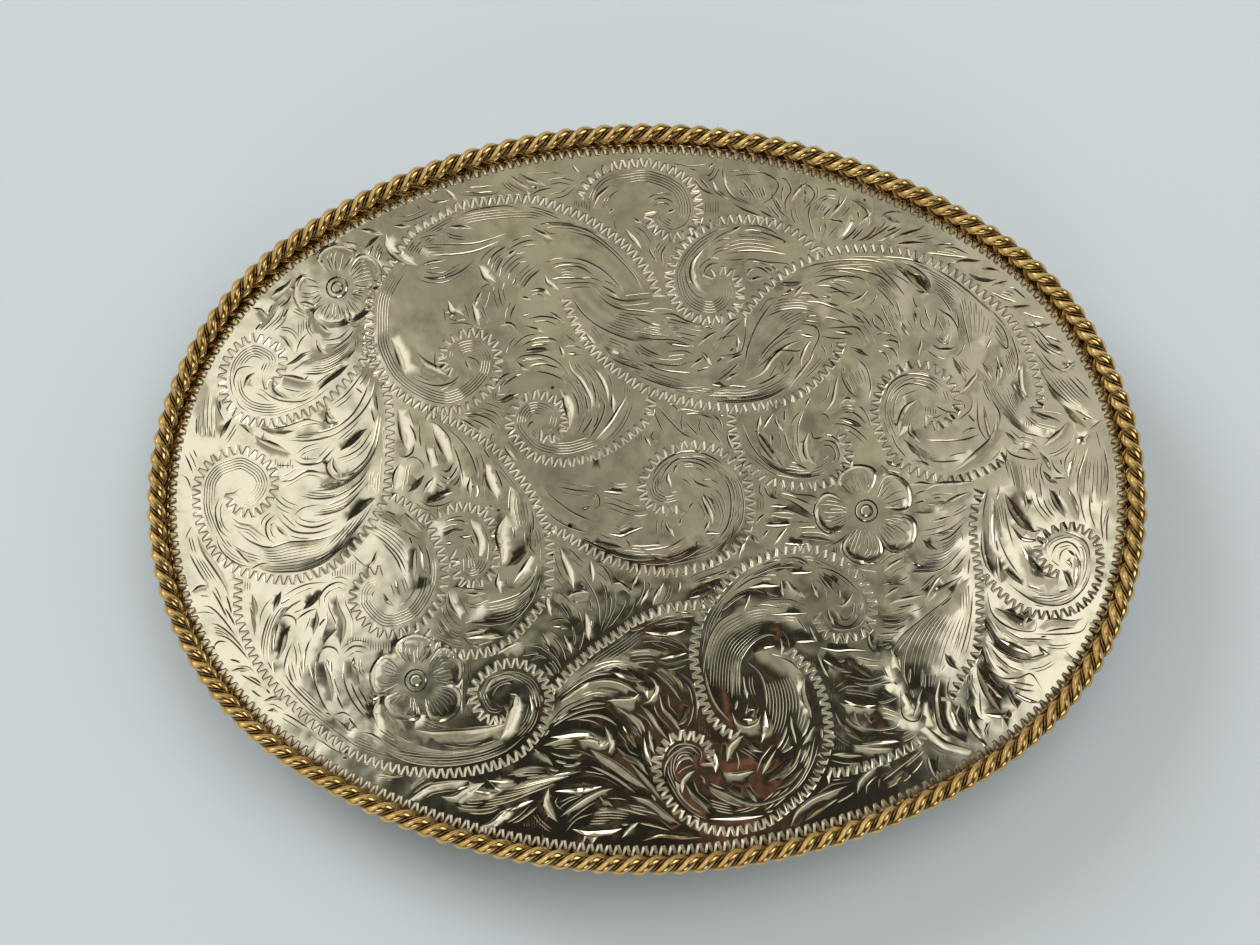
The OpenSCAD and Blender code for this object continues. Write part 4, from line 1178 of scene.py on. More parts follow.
            (0.4, 13.2, -5.4, 13.8, -4.3, 14.6, -3.5),
            (0.3, 12, -4.8, 12.5, -4, 13, -3.7),
            (0.5, 16.8, -9.1, 17.6, -9.8, 17.9, -10.7),
            (0.3, 14, -8.7, 14.3, -9.5, 14.2, -10.5),
            (0.3, 17.7, -8, 18.7, -8.9, 19.3, -10),
            (0.5, 16.9, -13.6, 17.5, -14.4, 17.8, -15.3),
            (0.8, 13.4, -14.4, 13.9, -15.2, 14, -16.4),
            (0.5, 17.5, -16.1, 17.9, -17.5, 18.7, -18.5),
            (0.35, 22.7, -14, 22.6, -15, 23.1, -15.8, 24, -16),
            (0.4, 25.8, -14.2, 25, -15.6, 24.7, -17.2, 25, -18.6),
            (0.3, 19.6, -11.3, 20.3, -11.6, 21, -10.9, 21.1, -10),
            (0.25, 19.6, -9.6, 19.8, -10.6),
            (0.25, 18.6, -11.6, 18.7, -12.5, 19.3, -13.3),
            (0.4, 10.2, -18.4, 10.2, -19.5, 10.6, -20.7),
            (0.25, 11.4, -3.3, 11.8, -2.6, 12.5, -2.1),
            (0.25, 10.5, -5, 10.2, -6, 9.8, -6.8),
            (0.5, 16.2, -13, 16.8, -13.7, 17.2, -14.6),
        ],
        "dark": [
            (0.5, 6.5, -0.4, 7.2, -1, 7.5, -2.2),
            (0.5, -1, -4.3, -0.2, -3.7, 0.4, -3.6),
            (0.35, 12.2, -3.2, 13, -3, 14, -3.2, 15.2, -3.2),
            (0.35, 12.8, -1.4, 13.6, -1.2, 14.6, -1.4),
            (0.45, 14.2, -5, 15.2, -4.8, 16.2, -5.1),
            (0.3, 6.4, -4.2, 7.1, -4, 7.9, -4.2),
            (0.5, 14.9, -8.1, 16, -7.8, 17.1, -8),
            (0.6, 18.1, -8, 19.3, -8.6, 20, -9.5),
            (0.9, 14.8, -9.4, 15.8, -10.2, 17.4, -10.7),
            (0.6, 10.7, -9.6, 12.2, -9, 13.8, -9.4),
            (0.3, 13, -12.3, 14.7, -12, 16.6, -12.1),
            (0.8, 0.2, -14.1, 2, -13.4, 4, -13.4, 5, -14),
            (0.5, 1.9, -16.8, 3.3, -16.7, 4.6, -16.2),
            (0.8, 18.1, -16.7, 19.3, -17.7, 21, -18),
            (0.5, 15, -14.8, 16, -15.1, 17.3, -15),
            (0.35, 17.8, -15.5, 19.5, -15.6, 21, -15.5, 22.5, -15.8),
            (0.4, 2.8, -8.4, 3.6, -8.8),
            (0.5, 4.8, -10.7, 6.3, -9.9, 8, -9.2),
            (0.6, 21.4, -6.6, 22.3, -7.1, 23.5, -7.2),
            (0.9, 11.2, -16.2, 12.2, -15.3, 13.4, -15.4),
            (0.7, 20.5, -16.8, 21.6, -17.8, 23, -18.5),
            (0.35, 17.8, -3.3, 18.8, -4, 20, -3.9),
            (0.4, 10.6, -4.3, 11.3, -4.4, 11.9, -5.2),
            (0.3, 19.8, -10.2, 20.8, -10.2),
        ],
        "strokes": [
            (0.2, 4.7, -9.5, 5.8, -8.8, 7.5, -8.2, 9, -7.6),
            (0.2, 0, -14.6, 2, -14.5, 4, -15.2, 5, -16.2),
            (0.2, 1.5, -16.9, 3, -17.3, 4.9, -16.7),
            (0.15, -1, -15.9, 1, -15.7, 2.7, -16.3),
            (0.2, 8.4, -11.2, 9.7, -10.2, 11, -9.8, 12.4, -10.2),
            (0.2, 11.5, -11.2, 13, -10.8, 15, -10.8, 16.6, -11.6),
            (0.2, 14.4, -6.6, 16, -7, 17.4, -8),
            (0.15, 17.3, -7.5, 19, -7.8, 20.5, -8.7, 21.8, -10),
            (0.2, 14.4, 0.2, 15.5, -0.2, 17, -0.3, 18, -0.9),
            (0.15, 14.3, -0.6, 15.5, -1.2, 17, -2.2),
            (0.15, 10.3, -4.6, 11, -4.8, 11.5, -5.5),
            (0.2, 11.9, 1, 11.8, 0, 12.5, -0.7),
            (0.2, 17.8, -0.4, 17.3, -1.4, 17.3, -2.4, 17.8, -3.2),
            (0.15, 19, -12, 19.3, -12.9, 20.3, -13.4, 21.3, -13, 21.8, -12),
            (0.15, 19.7, -12, 20.2, -12.8, 21, -12.4),
            (0.15, 5.3, -5.6, 5.7, -4.9),
            (0.12, 2.2, -2.5, 2, -3.5, 2.2, -4.3),
            (0.2, 8, -6, 9, -4.6, 9.3, -3),
            (0.15, 23.5, -13.4, 24.8, -13.5, 26, -13.2),
            (0.15, 18.2, -5.4, 19.5, -5, 20.8, -4),
        ],
        "fans": [
            (7, (-1, -5.6, 1, -5.9, 3, -5.5, 4.6, -4.5), (-1, -7.2, 1.5, -7.3, 4, -6.8, 6.5, -5.4)),
            (5, (7.6, 2.2, 8.7, 0.6, 9, -1.5, 8.6, -3.5, 7.4, -5.2),
             (9, 2.2, 10, 0.3, 10.2, -2, 9.7, -3.8, 8.3, -5.7)),
            (5, (4.6, -9.6, 6.5, -8.8, 8.8, -8), (4.5, -10.6, 6.8, -9.8, 8.4, -9)),
            (6, (14, -0.1, 15.5, -0.6, 17.3, -1.4), (13, -1.7, 15, -1.9, 17, -2.7)),
            (4, (12.7, -2.2, 15, -2.2, 17.2, -2.7), (13, -3, 15, -3, 17.2, -3.1)),
            (4, (15.3, -3.7, 17.5, -3.6, 19, -4.2), (15.5, -4.6, 17.5, -4.7, 19.5, -5)),
            (15, (6.2, -19.3, 6.5, -15.8, 7.7, -13.2, 10, -11.9, 12.5, -11.4, 15, -12.2, 16.7, -14.2),
             (9.9, -20.5, 9.8, -17.5, 10.4, -16, 11.5, -14.8, 12.9, -14.3, 14, -14.8)),
            (16, (13, -16.2, 15.2, -17.2, 16.6, -19.5, 16.9, -22, 15.8, -24.7, 13, -26.6),
             (10.6, -17, 11.9, -18.3, 12.5, -20.5, 12.4, -23, 11.7, -25, 10.5, -26.2)),
            (10, (6.3, -17, 6.7, -19.5, 7.6, -21.5, 9, -23), (10, -17.6, 9.9, -19.5, 9.5, -21.5, 9.1, -23)),
            (5, (-1, -12.8, 1.5, -12.5, 4, -12.2, 5.3, -12.4), (-1, -14, 1, -13.5, 3.5, -13, 5, -13.2)),
            (4, (-1, -16, 1, -15.9, 3, -16.6), (-1, -17.2, 1, -17, 3, -17.6)),
            (8, (21.3, -16.4, 23, -16.8, 24.6, -16.7), (20, -18.7, 22.5, -19.2, 24.8, -18.6)),
            (5, (19, -11.6, 19.3, -12.9, 20.4, -13.5, 21.5, -12.8, 22, -11),
             (19.5, -11.8, 19.9, -12.5, 20.4, -12.7, 21, -12.2, 21.2, -11)),
            (5, (8, -12, 9.8, -10.6, 12, -10.1, 14, -10.5), (9, -10.2, 11, -8.8, 13, -8.4, 14, -8.6)),
            (6, (11, -8.6, 13, -7.7, 15, -7.5, 16.6, -8), (12, -7.4, 14, -6.8, 15.5, -6.9, 17, -7.8)),
            (4, (-1, -8.4, -0.6, -9.8, -1.3, -11.5), (0.3, -8.5, 0.2, -10, -0.5, -11.6)),
            (4, (0.8, -9, 0.9, -10, 0.1, -11.6), (1.6, -9, 1.6, -10.2, 1, -11.6)),
            (5, (17.6, -16.4, 19, -16, 21, -16), (17.9, -16.8, 19.4, -16.9, 20.8, -16.7)),
            (5, (12.2, 0.8, 12.8, -0.4, 14, -0.8), (13.4, 1, 13.8, 0.2, 14.8, 0)),
            (4, (23.4, -14.2, 25, -14, 26, -13.9), (23, -15.8, 24, -15.6, 25, -15.3)),
        ],
        "hatch": [
            (10.6, 12.2, -2, -0.2),
            (18.2, 19.8, -6.2, -5.4),
            (15.8, 17.4, -17.6, -15.9),
            (12.6, 13.6, -0.4, 0.9),
        ],
    },
    "below, middle": {
        "bevels": [
            (0.7, 16.3, -18.5, 16.8, -20, 17.2, -21.5, 17, -22.6),
            (0.3, 9.1, -22, 9.5, -23.2, 10.6, -23.8, 11.7, -23.3, 12, -22.2),
            (0.45, 14.9, -22.3, 14.9, -23.6, 15.5, -25.1),
            (0.35, 17.3, -23.3, 16.9, -24.6, 16.1, -25.2),
            (0.4, 5.9, -19.3, 5.9, -21.5, 5.6, -23, 5.1, -24),
            (0.3, 1.9, -20.3, 2.1, -21.8, 3, -22.8, 4.1, -24),
            (0.3, 0.5, -18.2, 1.6, -18.9, 1.9, -19.9, 1.2, -21, 0.3, -21.2),
            (0.4, 0, -21.3, 1.3, -22.1, 2.2, -23.5, 2.8, -24.7),
            (0.35, 0.9, -23.8, 1.4, -25, 1.5, -26.2),
            (0.4, 8.1, -27.7, 8.6, -28.4, 9.8, -28.6, 11.4, -27.8),
            (0.45, 8.6, -26.9, 8.7, -25.4, 9.5, -24.6, 10.3, -24.3),
            (0.3, 12.1, -28.1, 12.5, -26.9, 13.5, -25.6),
            (0.35, 10.2, -29.2, 10.8, -30.2, 11.6, -30.8),
            (0.3, 10.4, -29, 10.9, -28.3, 11.4, -27.5),
            (0.35, 4.2, -30, 4, -28.9, 4.6, -28.1, 5.5, -27.8),
            (0.3, 4.5, -29, 5, -30.3, 6, -31.2, 7, -32),
            (0.3, 6.2, -32.1, 7.3, -33, 9, -33.2, 11, -32.9, 12.1, -32.4),
            (0.4, 5.9, -28.2, 6.5, -29.1),
            (0.3, 19.8, -21, 20.5, -21.5, 22, -21.8, 23.4, -21.6),
            (0.4, 19.3, -21.9, 19.7, -23.2, 20.6, -24.1, 22.1, -24.8),
            (0.35, 22.1, -21.7, 22.3, -22.4, 23, -23),
            (0.4, 21, -25.1, 22, -25.7, 23.5, -25.9, 25.1, -25.5),
            (0.25, 19, -26.1, 20.5, -26.4, 22.1, -26.2),
            (0.3, 14.9, -33.3, 15.5, -31.7, 17, -30.4, 19, -29.6, 20.6, -29.1),
            (0.35, 15, -33.4, 17, -33.4, 18.8, -32.4, 20.1, -31),
            (0.4, 20.4, -30.1, 20.5, -31.2, 21.2, -32.2, 22.1, -32.5),
            (0.8, 21.8, -29.9, 22, -30.8, 22.6, -31.4),
            (0.4, 23.5, -29.5, 23.7, -30.5, 24.4, -30.9),
            (0.4, 23.9, -30.3, 25, -29.9, 26, -29.5),
            (0.35, 21.5, -29.9, 21.6, -28.8, 22.4, -27.8, 23.6, -27.1),
            (0.3, -1, -27, 0.5, -28.3, 1.5, -29.5, 2.4, -30.9),
            (0.3, -1, -30.3, 1, -30.7, 2.7, -32, 4.1, -33.1),
            (0.5, -1.7, -34.4, -1, -33.3, -0.1, -32.9),
            (0.4, -1.9, -34.5, -1.5, -35.3, -0.7, -35.8),
            (0.35, 0.2, -35.3, 2, -34.6, 4, -34.6, 6, -34.8, 8, -35, 10, -34.5, 11.9, -33.8),
            (0.3, 12.2, -34.2, 12.5, -34.8, 13.2, -35.1),
        ],
        "dark": [
            (0.6, 0.3, -34.7, 2, -33.8, 4, -33.9, 6.2, -34.3),
            (0.6, 6.9, -32.5, 9, -32.7, 11, -32.5, 12.3, -32.1),
            (0.5, 8.4, -27.8, 10, -27.8, 11.6, -27.5),
            (0.6, 22.3, -29.6, 22.6, -28.4, 23.9, -27.2),
            (0.7, 21.9, -25, 24, -25.1, 25.9, -24.7),
            (0.6, 20.2, -20.7, 21.8, -20.8, 23.4, -21.2),
            (0.8, 10.2, -22.7, 11.3, -22.8, 11.8, -21.4),
            (0.7, 12.4, -21.8, 12.8, -23.5, 12, -25),
            (0.8, 10.2, -24.6, 11.3, -25.2, 12.2, -25.9),
            (0.7, 15.4, -24.6, 15.7, -23.2, 15.6, -22.2),
            (0.6, 5, -21.3, 4.6, -22.8, 3.6, -23.4),
            (0.6, 12.7, -28.8, 14.3, -27.9, 15.2, -26.5),
            (0.6, 7.3, -25.6, 7.8, -26.8, 7.5, -28),
            (0.5, 0.4, -24.5, 0.3, -26, 1.2, -27.5),
            (0.5, 16.3, -32.6, 18, -31.6, 19.6, -30.4),
            (0.6, 8.6, -29.3, 9.6, -29.7, 10.4, -30.4),
            (0.4, 24.5, -29.3, 25.3, -28.3, 26.4, -27.4),
            (0.5, -0.5, -19, 0.7, -19.7, 0.8, -20.8),
            (0.5, 13.4, -29.6, 15, -28.9, 16.2, -27.4),
        ],
        "strokes": [
            (0.2, 3.7, -18, 5.2, -19.3, 5.7, -21, 5.6, -22.8),
            (0.12, 1.9, -17.5, 3.4, -18.8, 4.3, -20.2),
            (0.15, 9, -25.8, 9.3, -27, 9, -28),
            (0.15, 12.3, -28.1, 13.6, -27.3, 14.9, -25.8),
            (0.15, 19, -28.6, 20.3, -28.5, 21.3, -28.6),
            (0.2, 17.5, -30, 19, -29, 21, -28.7),
            (0.15, 12.7, -34, 13.7, -33.3, 14.7, -32.8),
            (0.15, 23.6, -29.4, 23.8, -28.3, 25, -27.4),
            (0.15, 21.1, -29.8, 21, -31, 21.7, -31.9),
            (0.15, 20.4, -22, 21, -22.9, 22, -23.4),
            (0.15, -1, -24.3, 0, -25.2, 0.3, -26.6),
            (0.15, 19.3, -19.5, 20.5, -18.8, 22, -18.9),
        ],
        "fans": [
            (4, (2.4, -17.8, 3.7, -18.8, 4.6, -20.4), (1.3, -18, 2.8, -19.3, 4.1, -21)),
            (5, (2.5, -29, 2.5, -27.4, 3.3, -26.1, 4.8, -25.4, 6, -26.3),
             (3.5, -27.9, 3.9, -26.9, 4.8, -26.5, 5.4, -27)),
            (10, (6.5, -29.2, 8.5, -30, 10.5, -30.9, 12.5, -30.9, 15, -29.6, 16.6, -27.2, 17.4, -24),
             (7.3, -31.9, 9.5, -32.2, 12, -31.9, 14.5, -31, 16.6, -29, 17.9, -26.5, 18, -23.5)),
            (4, (2.6, -29, 3.2, -30.4, 4.6, -31.8, 6, -32.5),
             (3.5, -28.8, 4, -30.2, 5.1, -31.3, 6.2, -31.9)),
            (6, (20.4, -22.5, 22.5, -23.5, 25, -23.4, 26, -22.5),
             (20.8, -23.8, 22.6, -24.5, 25, -24.4, 26, -23.8)),
            (8, (21.8, -18.7, 23.5, -19.1, 25, -18.9), (22.3, -20.5, 24, -20.9, 25.5, -20.4)),
            (5, (17.6, -30.6, 19.3, -29.7, 21.3, -29), (18, -31.6, 19.8, -30.6, 21.4, -29.6)),
            (4, (24.6, -29.5, 25.2, -28.4, 26.3, -27.3), (25.3, -29.6, 25.9, -28.8, 26.8, -28)),
            (4, (-1, -22.2, 0, -23, 0.7, -24.5), (-1, -24, 0, -25, 0.3, -26)),
            (6, (-1, -31.4, 1.5, -32, 3.6, -33.2), (-1, -32.8, 1.5, -33.2, 3.5, -33.8)),
            (6, (7, -29, 8.5, -29.6, 10, -30.4), (6.8, -29.6, 8.3, -30.6, 10.3, -31.3)),
            (5, (14, -28.5, 15.3, -27, 16, -25.2), (12.8, -29.5, 15, -28.6, 16.6, -26.8)),
            (4, (13.3, -26, 14.2, -24.5, 14.7, -22.8), (14.2, -26.4, 14.9, -25.6, 15.2, -25)),
            (5, (-1, -28, 0.5, -29.2, 1.6, -30.8), (-1, -29.6, 0.5, -30, 1.8, -31.3)),
        ],
        "hatch": [
            (5.9, 7, -24.6, -22.2),
            (18.7, 19.8, -20.5, -18.7),
            (18.9, 20.3, -25.7, -24.3),
            (19.5, 20.8, -28.3, -26.8),
            (15.5, 17, -34.8, -33.8),
            (8.2, 9.6, -25.3, -24),
        ],
    },
    "right end, above": {
        "bevels": [
            (0.6, 28.2, 16.3, 28.6, 15.3, 28.3, 14.2, 27.7, 13.6),
            (0.7, 33.8, 13.7, 33.7, 12.2, 33, 11, 31.6, 10.1),
            (0.5, 35.8, 14.4, 36.6, 13.2, 36.6, 12.3, 36, 11.6),
            (0.5, 38.6, 14, 38.8, 12.5, 38.9, 11, 39, 9.9),
            (0.6, 42.1, 12.8, 43.3, 12.9, 44, 14),
            (0.6, 37.5, 4.5, 38.6, 4.8, 39.5, 4.2),
            (0.6, 40.1, 4.9, 41.5, 5.2, 42.7, 6.2, 43.1, 7.8),
            (0.3, 39, 9, 40.2, 7.9, 42.3, 7.6),
            (0.4, 29.2, 16.8, 29.2, 15.6, 30.3, 14.8, 31.4, 15.1, 31.9, 16.6),
            (0.6, 35.7, 8.1, 35.9, 6.5, 35.5, 5, 34, 3.6, 32.5, 2.7, 31, 2.2),
            (0.7, 28.1, 9.9, 26.6, 9.3, 25.7, 8.2, 25.5, 6.5, 25.8, 4.9),
            (0.3, 27.3, 3.4, 28, 2.9, 29.2, 2.4),
            (0.3, 31, 2.9, 32, 3.3, 33.4, 3.4),
            (0.35, 32.2, 6.2, 33, 6.4, 33.7, 6.8),
            (0.4, 40.9, 1.7, 42, 1.5, 42.8, 1.9),
            (0.3, 40.4, 16.9, 41.2, 17.2, 41.9, 17.8),
            (0.5, 40.8, 15.7, 41.8, 15.5, 42.8, 14.9),
            (0.5, 36.8, 19.3, 38.2, 19, 39.4, 19.6),
            (0.4, 46.6, 7.5, 47.1, 5.5, 47.3, 3, 47, 0.6),
            (0.3, 26.5, 0.9, 28, 1.2, 29.5, 0.9),
            (0.4, 24.2, 1.6, 25.2, 2, 26.3, 1.4),
            (0.3, 40.6, 11.4, 40.4, 9.6, 40.8, 8),
            (0.4, 43.6, 6, 44.6, 5.2, 45.2, 6.6),
        ],
        "dark": [
            (0.7, 31, 14.1, 31.6, 12.7, 32.8, 11.6),
            (0.6, 34.1, 14, 34.6, 12.5, 35.5, 11.4),
            (0.5, 37.3, 11.8, 37.8, 10.6, 38.7, 9.5),
            (0.6, 34.4, 9.2, 34.9, 7, 35.3, 5.2),
            (0.45, 36.5, 6.5, 37.2, 5.4, 38.1, 5),
            (0.6, 42.3, 9.6, 43.4, 8.7, 44.9, 7),
            (0.5, 40.7, 11.6, 41.4, 10.2, 42.7, 9),
            (0.6, 26.2, 5.6, 27, 4, 28.5, 3.1),
            (0.35, 27.2, 7.7, 28, 6.8, 29.2, 6.4),
            (0.5, 42.1, 13.8, 43.2, 13.9, 43.9, 13.4),
            (0.5, 43.8, 5, 42.8, 3, 42.9, 1.3),
            (0.4, 26.1, 17.7, 26.7, 16.7, 27.1, 16),
            (0.4, 27.4, 18.9, 27.7, 18, 27.6, 17.3),
            (0.35, 35.2, 16.7, 35.9, 15.5, 36.6, 15),
            (0.4, 40.3, 2.6, 40.9, 1.6, 41.9, 1.3),
            (0.5, 42.2, 16.6, 43, 15.6, 43.4, 15),
            (0.4, 39.9, 4.6, 40.8, 3.7, 41.2, 2.5),
            (0.4, 38.4, 17.5, 39.8, 17.7, 41.6, 17.8),
            (0.4, 24.4, 3.4, 24.9, 2.9, 26, 2.7),
        ],
        "strokes": [
            (0.2, 28.2, 18.5, 28.2, 17.3, 29.1, 16.3),
            (0.15, 29.8, 18.8, 29.6, 17.6, 29.3, 16.6),
            (0.15, 33.8, 10.2, 33.8, 7.5, 34.3, 6.1, 35.3, 5),
            (0.2, 33.4, 10, 33.1, 8.8, 32.2, 7.9, 31.5, 7.4),
            (0.15, 35.2, 9.8, 36, 8.4, 36, 7),
            (0.2, 36.4, 5.2, 37, 4.3, 38, 3.9, 39.5, 3.7, 40.4, 4.2),
            (0.2, 36.6, 6.4, 37.8, 5.4, 38.9, 5.4, 40.4, 4.3),
            (0.2, 42.3, 9.6, 42.5, 8.5, 43.3, 7.7),
            (0.15, 45, 6.8, 46.3, 7.8, 47.1, 8),
            (0.2, 40.2, 12.9, 41.5, 11, 43.5, 9.3),
            (0.2, 44, 12.8, 45.3, 11.4, 46.2, 9.4),
            (0.15, 36.7, 4.8, 36.6, 3.2, 36.9, 1.8),
            (0.15, 40.3, 3.8, 40.1, 2.4, 40.6, 0.8),
            (0.15, 43.5, 5.2, 42.7, 3.9, 42.5, 2.5),
            (0.15, 39.2, 18.3, 40.3, 16.8, 42.2, 14.8),
            (0.15, 39.7, 17, 41, 15.2, 43, 14.3),
            (0.15, 40.2, 15, 41.5, 13.4, 43.2, 12.6),
            (0.2, 31.8, 18.8, 32, 17.6, 31.8, 16.6),
            (0.2, 26.6, 8, 26.1, 7.2, 26.2, 5.8),
            (0.15, 29.5, 9, 30.3, 8.6, 30.9, 8.3),
            (0.15, 36.2, 17.5, 37, 16.4, 37.1, 15.2),
        ],
        "fans": [
            (9, (32, 20.5, 32.6, 17.5, 33.3, 14.4), (36.4, 19, 36, 17.6, 34.7, 15)),
            (13, (37.2, 17, 38, 14, 37.6, 11.5, 38.4, 9.4, 40.2, 8.2),
             (34.2, 11.7, 34.9, 9.8, 36.5, 8, 38.5, 6.5, 40.6, 6)),
            (8, (36.9, 3.6, 37.3, 1.8, 37.8, -0.3), (40, 3.5, 40, 1.8, 40.2, -0.3)),
            (8, (43.8, -0.5, 44, 2.4, 45, 5.2), (46.7, -0.5, 47, 2.5, 46.5, 5.7)),
            (8, (40.4, 12.4, 42.5, 9.9, 44.3, 8.6, 46, 7.8), (42.8, 12.6, 44.3, 11, 45.8, 9.5, 46.6, 8.2)),
            (10, (27.6, 5.6, 30, 5.4, 32.5, 5.6, 34, 6.2), (27, 4.2, 29.5, 3.3, 32.5, 3.6, 34.8, 4.7)),
            (5, (24.2, 8.6, 24.9, 11, 26.5, 12.1, 28.7, 12, 30.4, 10.9),
             (25, 9.4, 25.6, 10.5, 26.8, 11.2, 28.5, 11, 29.6, 10.2)),
            (3, (24.2, 5.6, 25.3, 3.7, 27, 2.4), (24.9, 6.5, 25.6, 4.8, 26.8, 3.4)),
            (6, (38.7, 18.2, 40.5, 16.7, 42.5, 15.8), (39.5, 16.2, 41, 14.8, 42.8, 14.4)),
            (4, (38.4, 19, 39.8, 18.4, 41.4, 18.4), (38.6, 18, 40, 17.3, 41.6, 17.4)),
            (5, (29.6, 18.8, 30, 17.5, 30.6, 16.4), (31.6, 18.8, 31.8, 17.6, 31.6, 16.8)),
            (4, (28.5, 19.6, 28.7, 18.4, 29.2, 17.3), (29.6, 19.3, 29.5, 18.3, 29.4, 17.4)),
            (6, (32.4, 9.3, 32.8, 8.2, 33.6, 7.3), (33.4, 9.7, 33.6, 8.6, 33.7, 7.6)),
            (5, (41.2, 3.8, 41.6, 2.8, 42.5, 2), (42.1, 3.8, 42.4, 3, 42.6, 2.4)),
            (5, (42.6, 7.9, 44, 7, 44.8, 7), (43.6, 8.2, 44.6, 8, 45.6, 8)),
            (5, (41, -0.3, 41.2, 0.9, 42, 1.2), (42.6, -0.3, 42.8, 0.7, 43, 1.3)),
        ],
        "hatch": [
            (28.5, 31.5, 7.9, 9),
            (24.3, 25.2, 14.4, 16.5),
            (43.4, 44.6, 15.6, 17),
            (38.2, 39.4, 7, 7.7),
        ],
    },
    "right end, below": {
        "bevels": [
            (0.7, 28.8, -2.8, 29.8, -2.5, 30.9, -2.2),
            (0.45, 29.6, -1.8, 31.5, -1, 33.2, 0.3),
            (0.35, 24.1, -8, 25, -7, 26.4, -6.4),
            (0.9, 28.6, -10.9, 29.8, -10.4, 31.2, -9.6, 32.1, -8.2),
            (0.3, 28.4, -10.8, 28.7, -9.7, 29.5, -8.5, 30.4, -7.9),
            (0.3, 24.2, -10.5, 25, -9.7, 25.9, -9.4),
            (0.4, 24.6, -11.2, 26, -11.1, 27.3, -10.8, 28.4, -10.1),
            (0.5, 24.7, -18, 24.7, -16.4, 25.4, -14.8, 26.7, -13.2, 28.1, -12.1),
            (0.3, 30.2, -15.9, 30.6, -17, 31.6, -17.6),
            (0.9, 36.4, 0.3, 36.9, -1.6, 38, -3.1, 39.6, -3.7),
            (0.4, 38.3, -3.9, 39.5, -4, 40.2, -3.4),
            (0.4, 38.5, 0.4, 39, -0.9, 38.6, -1.8),
            (1.0, 38, -4.9, 38.2, -6.7, 38.8, -8.2, 40.2, -8.9, 41.9, -8.3),
            (0.4, 42.1, -7.3, 42.9, -7.9, 43.3, -9, 43.2, -9.7),
            (0.35, 42.3, -6.3, 43.1, -6.6, 43.2, -7.4),
            (0.4, 45.9, 0.3, 47, 0.5, 48, -0.1),
            (0.8, 35.2, -11.3, 36.7, -12.9, 38.4, -13.6, 39.4, -12.4),
            (0.3, 39.5, -13.4, 41, -12.8, 43, -12.9, 44.3, -12.2),
            (0.6, 40, -14.1, 42, -14.3, 43.8, -13.4, 44.6, -12.5),
            (0.35, 40.3, -15.3, 42, -15.8, 43.5, -15.2, 44.6, -14.1),
            (0.4, 38.2, -16.9, 39.8, -16.6, 40.9, -15.9),
            (0.3, 34.2, -3, 34, -5, 34.4, -7, 35.4, -8.4),
            (0.5, 35.7, -5.9, 36.1, -7.3, 36, -8.9),
            (0.4, 28.2, 0.2, 29.6, 0.6, 31.6, 0.7, 33.5, 1.3),
            (0.5, 40.9, 0.8, 41.4, -0.8, 42.6, -2.2),
        ],
        "dark": [
            (0.5, 25.2, -10.4, 26.2, -10.4, 27.5, -10.6),
            (1.0, 24.9, -15.6, 25.7, -16.5, 25.9, -17.9),
            (0.5, 30.4, -15, 30.8, -16.4, 31.8, -17.4),
            (0.45, 37, -0.5, 38.1, -1.9, 39.9, -3.3),
            (0.3, 37, -3, 38, -4.4, 39.3, -4.6, 40.3, -4.1),
            (0.5, 38.5, -5.2, 39.5, -7.1, 41.3, -8.5),
            (0.4, 36.2, -7.4, 37.2, -8.4, 38.2, -9.1),
            (0.6, 42.7, -5.4, 43.5, -6.1),
            (0.6, 43.5, -5.6, 44, -7, 43.7, -8.8, 43.2, -9.6),
            (0.6, 42.8, 1, 43, -0.5, 43.9, -2.4),
            (0.4, 36.1, -11.4, 37.4, -12.3, 38.9, -12.5),
            (0.6, 35.7, -14.5, 37.3, -15.6, 39, -16),
            (0.4, 39.6, -15, 40.3, -15.5, 40.9, -16),
            (0.4, 36.1, -17.8, 37.5, -18.1, 38.9, -17.8, 39.6, -18.7),
            (0.4, 28.1, -4.6, 28.7, -5.4, 29.6, -5.7),
            (0.5, 26.9, -6.9, 27.6, -7.3, 28.2, -7.2),
            (0.6, 28.4, -1, 29.6, -0.7, 31.2, -0.6),
            (0.6, 29, -4.2, 30.2, -4.1, 31.3, -3.6),
            (0.3, 35.4, -0.5, 35, -3, 35.3, -5.3),
            (0.4, 29.4, -9.4, 30.6, -8.8, 31.4, -8.1),
        ],
        "strokes": [
            (0.2, 27.1, -0.2, 27.9, 0.2, 28.6, 0.4),
            (0.2, 28, -4.3, 29.5, -4, 31, -3.4, 32.5, -2.1),
            (0.15, 46, 0, 45.6, -2, 46, -5, 46.7, -8.2),
            (0.15, 47.8, -0.6, 47, -2.5, 46.9, -5, 47, -7.4),
            (0.2, 34.9, 1, 34.4, -1, 34.1, -3),
            (0.15, 40.3, -5.8, 40.8, -7.2, 42, -8.4),
            (0.15, 41.8, -6.7, 42.1, -5.6, 43, -5.1),
            (0.2, 34.6, -10.2, 35.7, -11, 37.4, -12.2, 39.1, -12.6),
            (0.15, 39.3, -12.2, 39.8, -13, 39.5, -13.8, 38.2, -14),
            (0.2, 41.7, -17, 42.1, -17.6, 42, -18.2),
            (0.15, 24.2, -13.6, 25.4, -13.5, 26.6, -12.9),
            (0.15, 39.5, 0.5, 40, -1, 41.2, -2.4),
            (0.15, 37.5, 1, 37.8, -0.6, 38.6, -2),
            (0.15, 24, -9.2, 25.5, -9.1, 26.5, -9.2),
        ],
        "fans": [
            (5, (27.3, -1, 29.5, -0.4, 31.4, -0.3), (27, -1.9, 29, -1.9, 30.8, -1.4)),
            (11, (29.4, -4.9, 31, -4.2, 32.5, -2.6), (26.8, -8, 30, -7.5, 32.7, -4.8)),
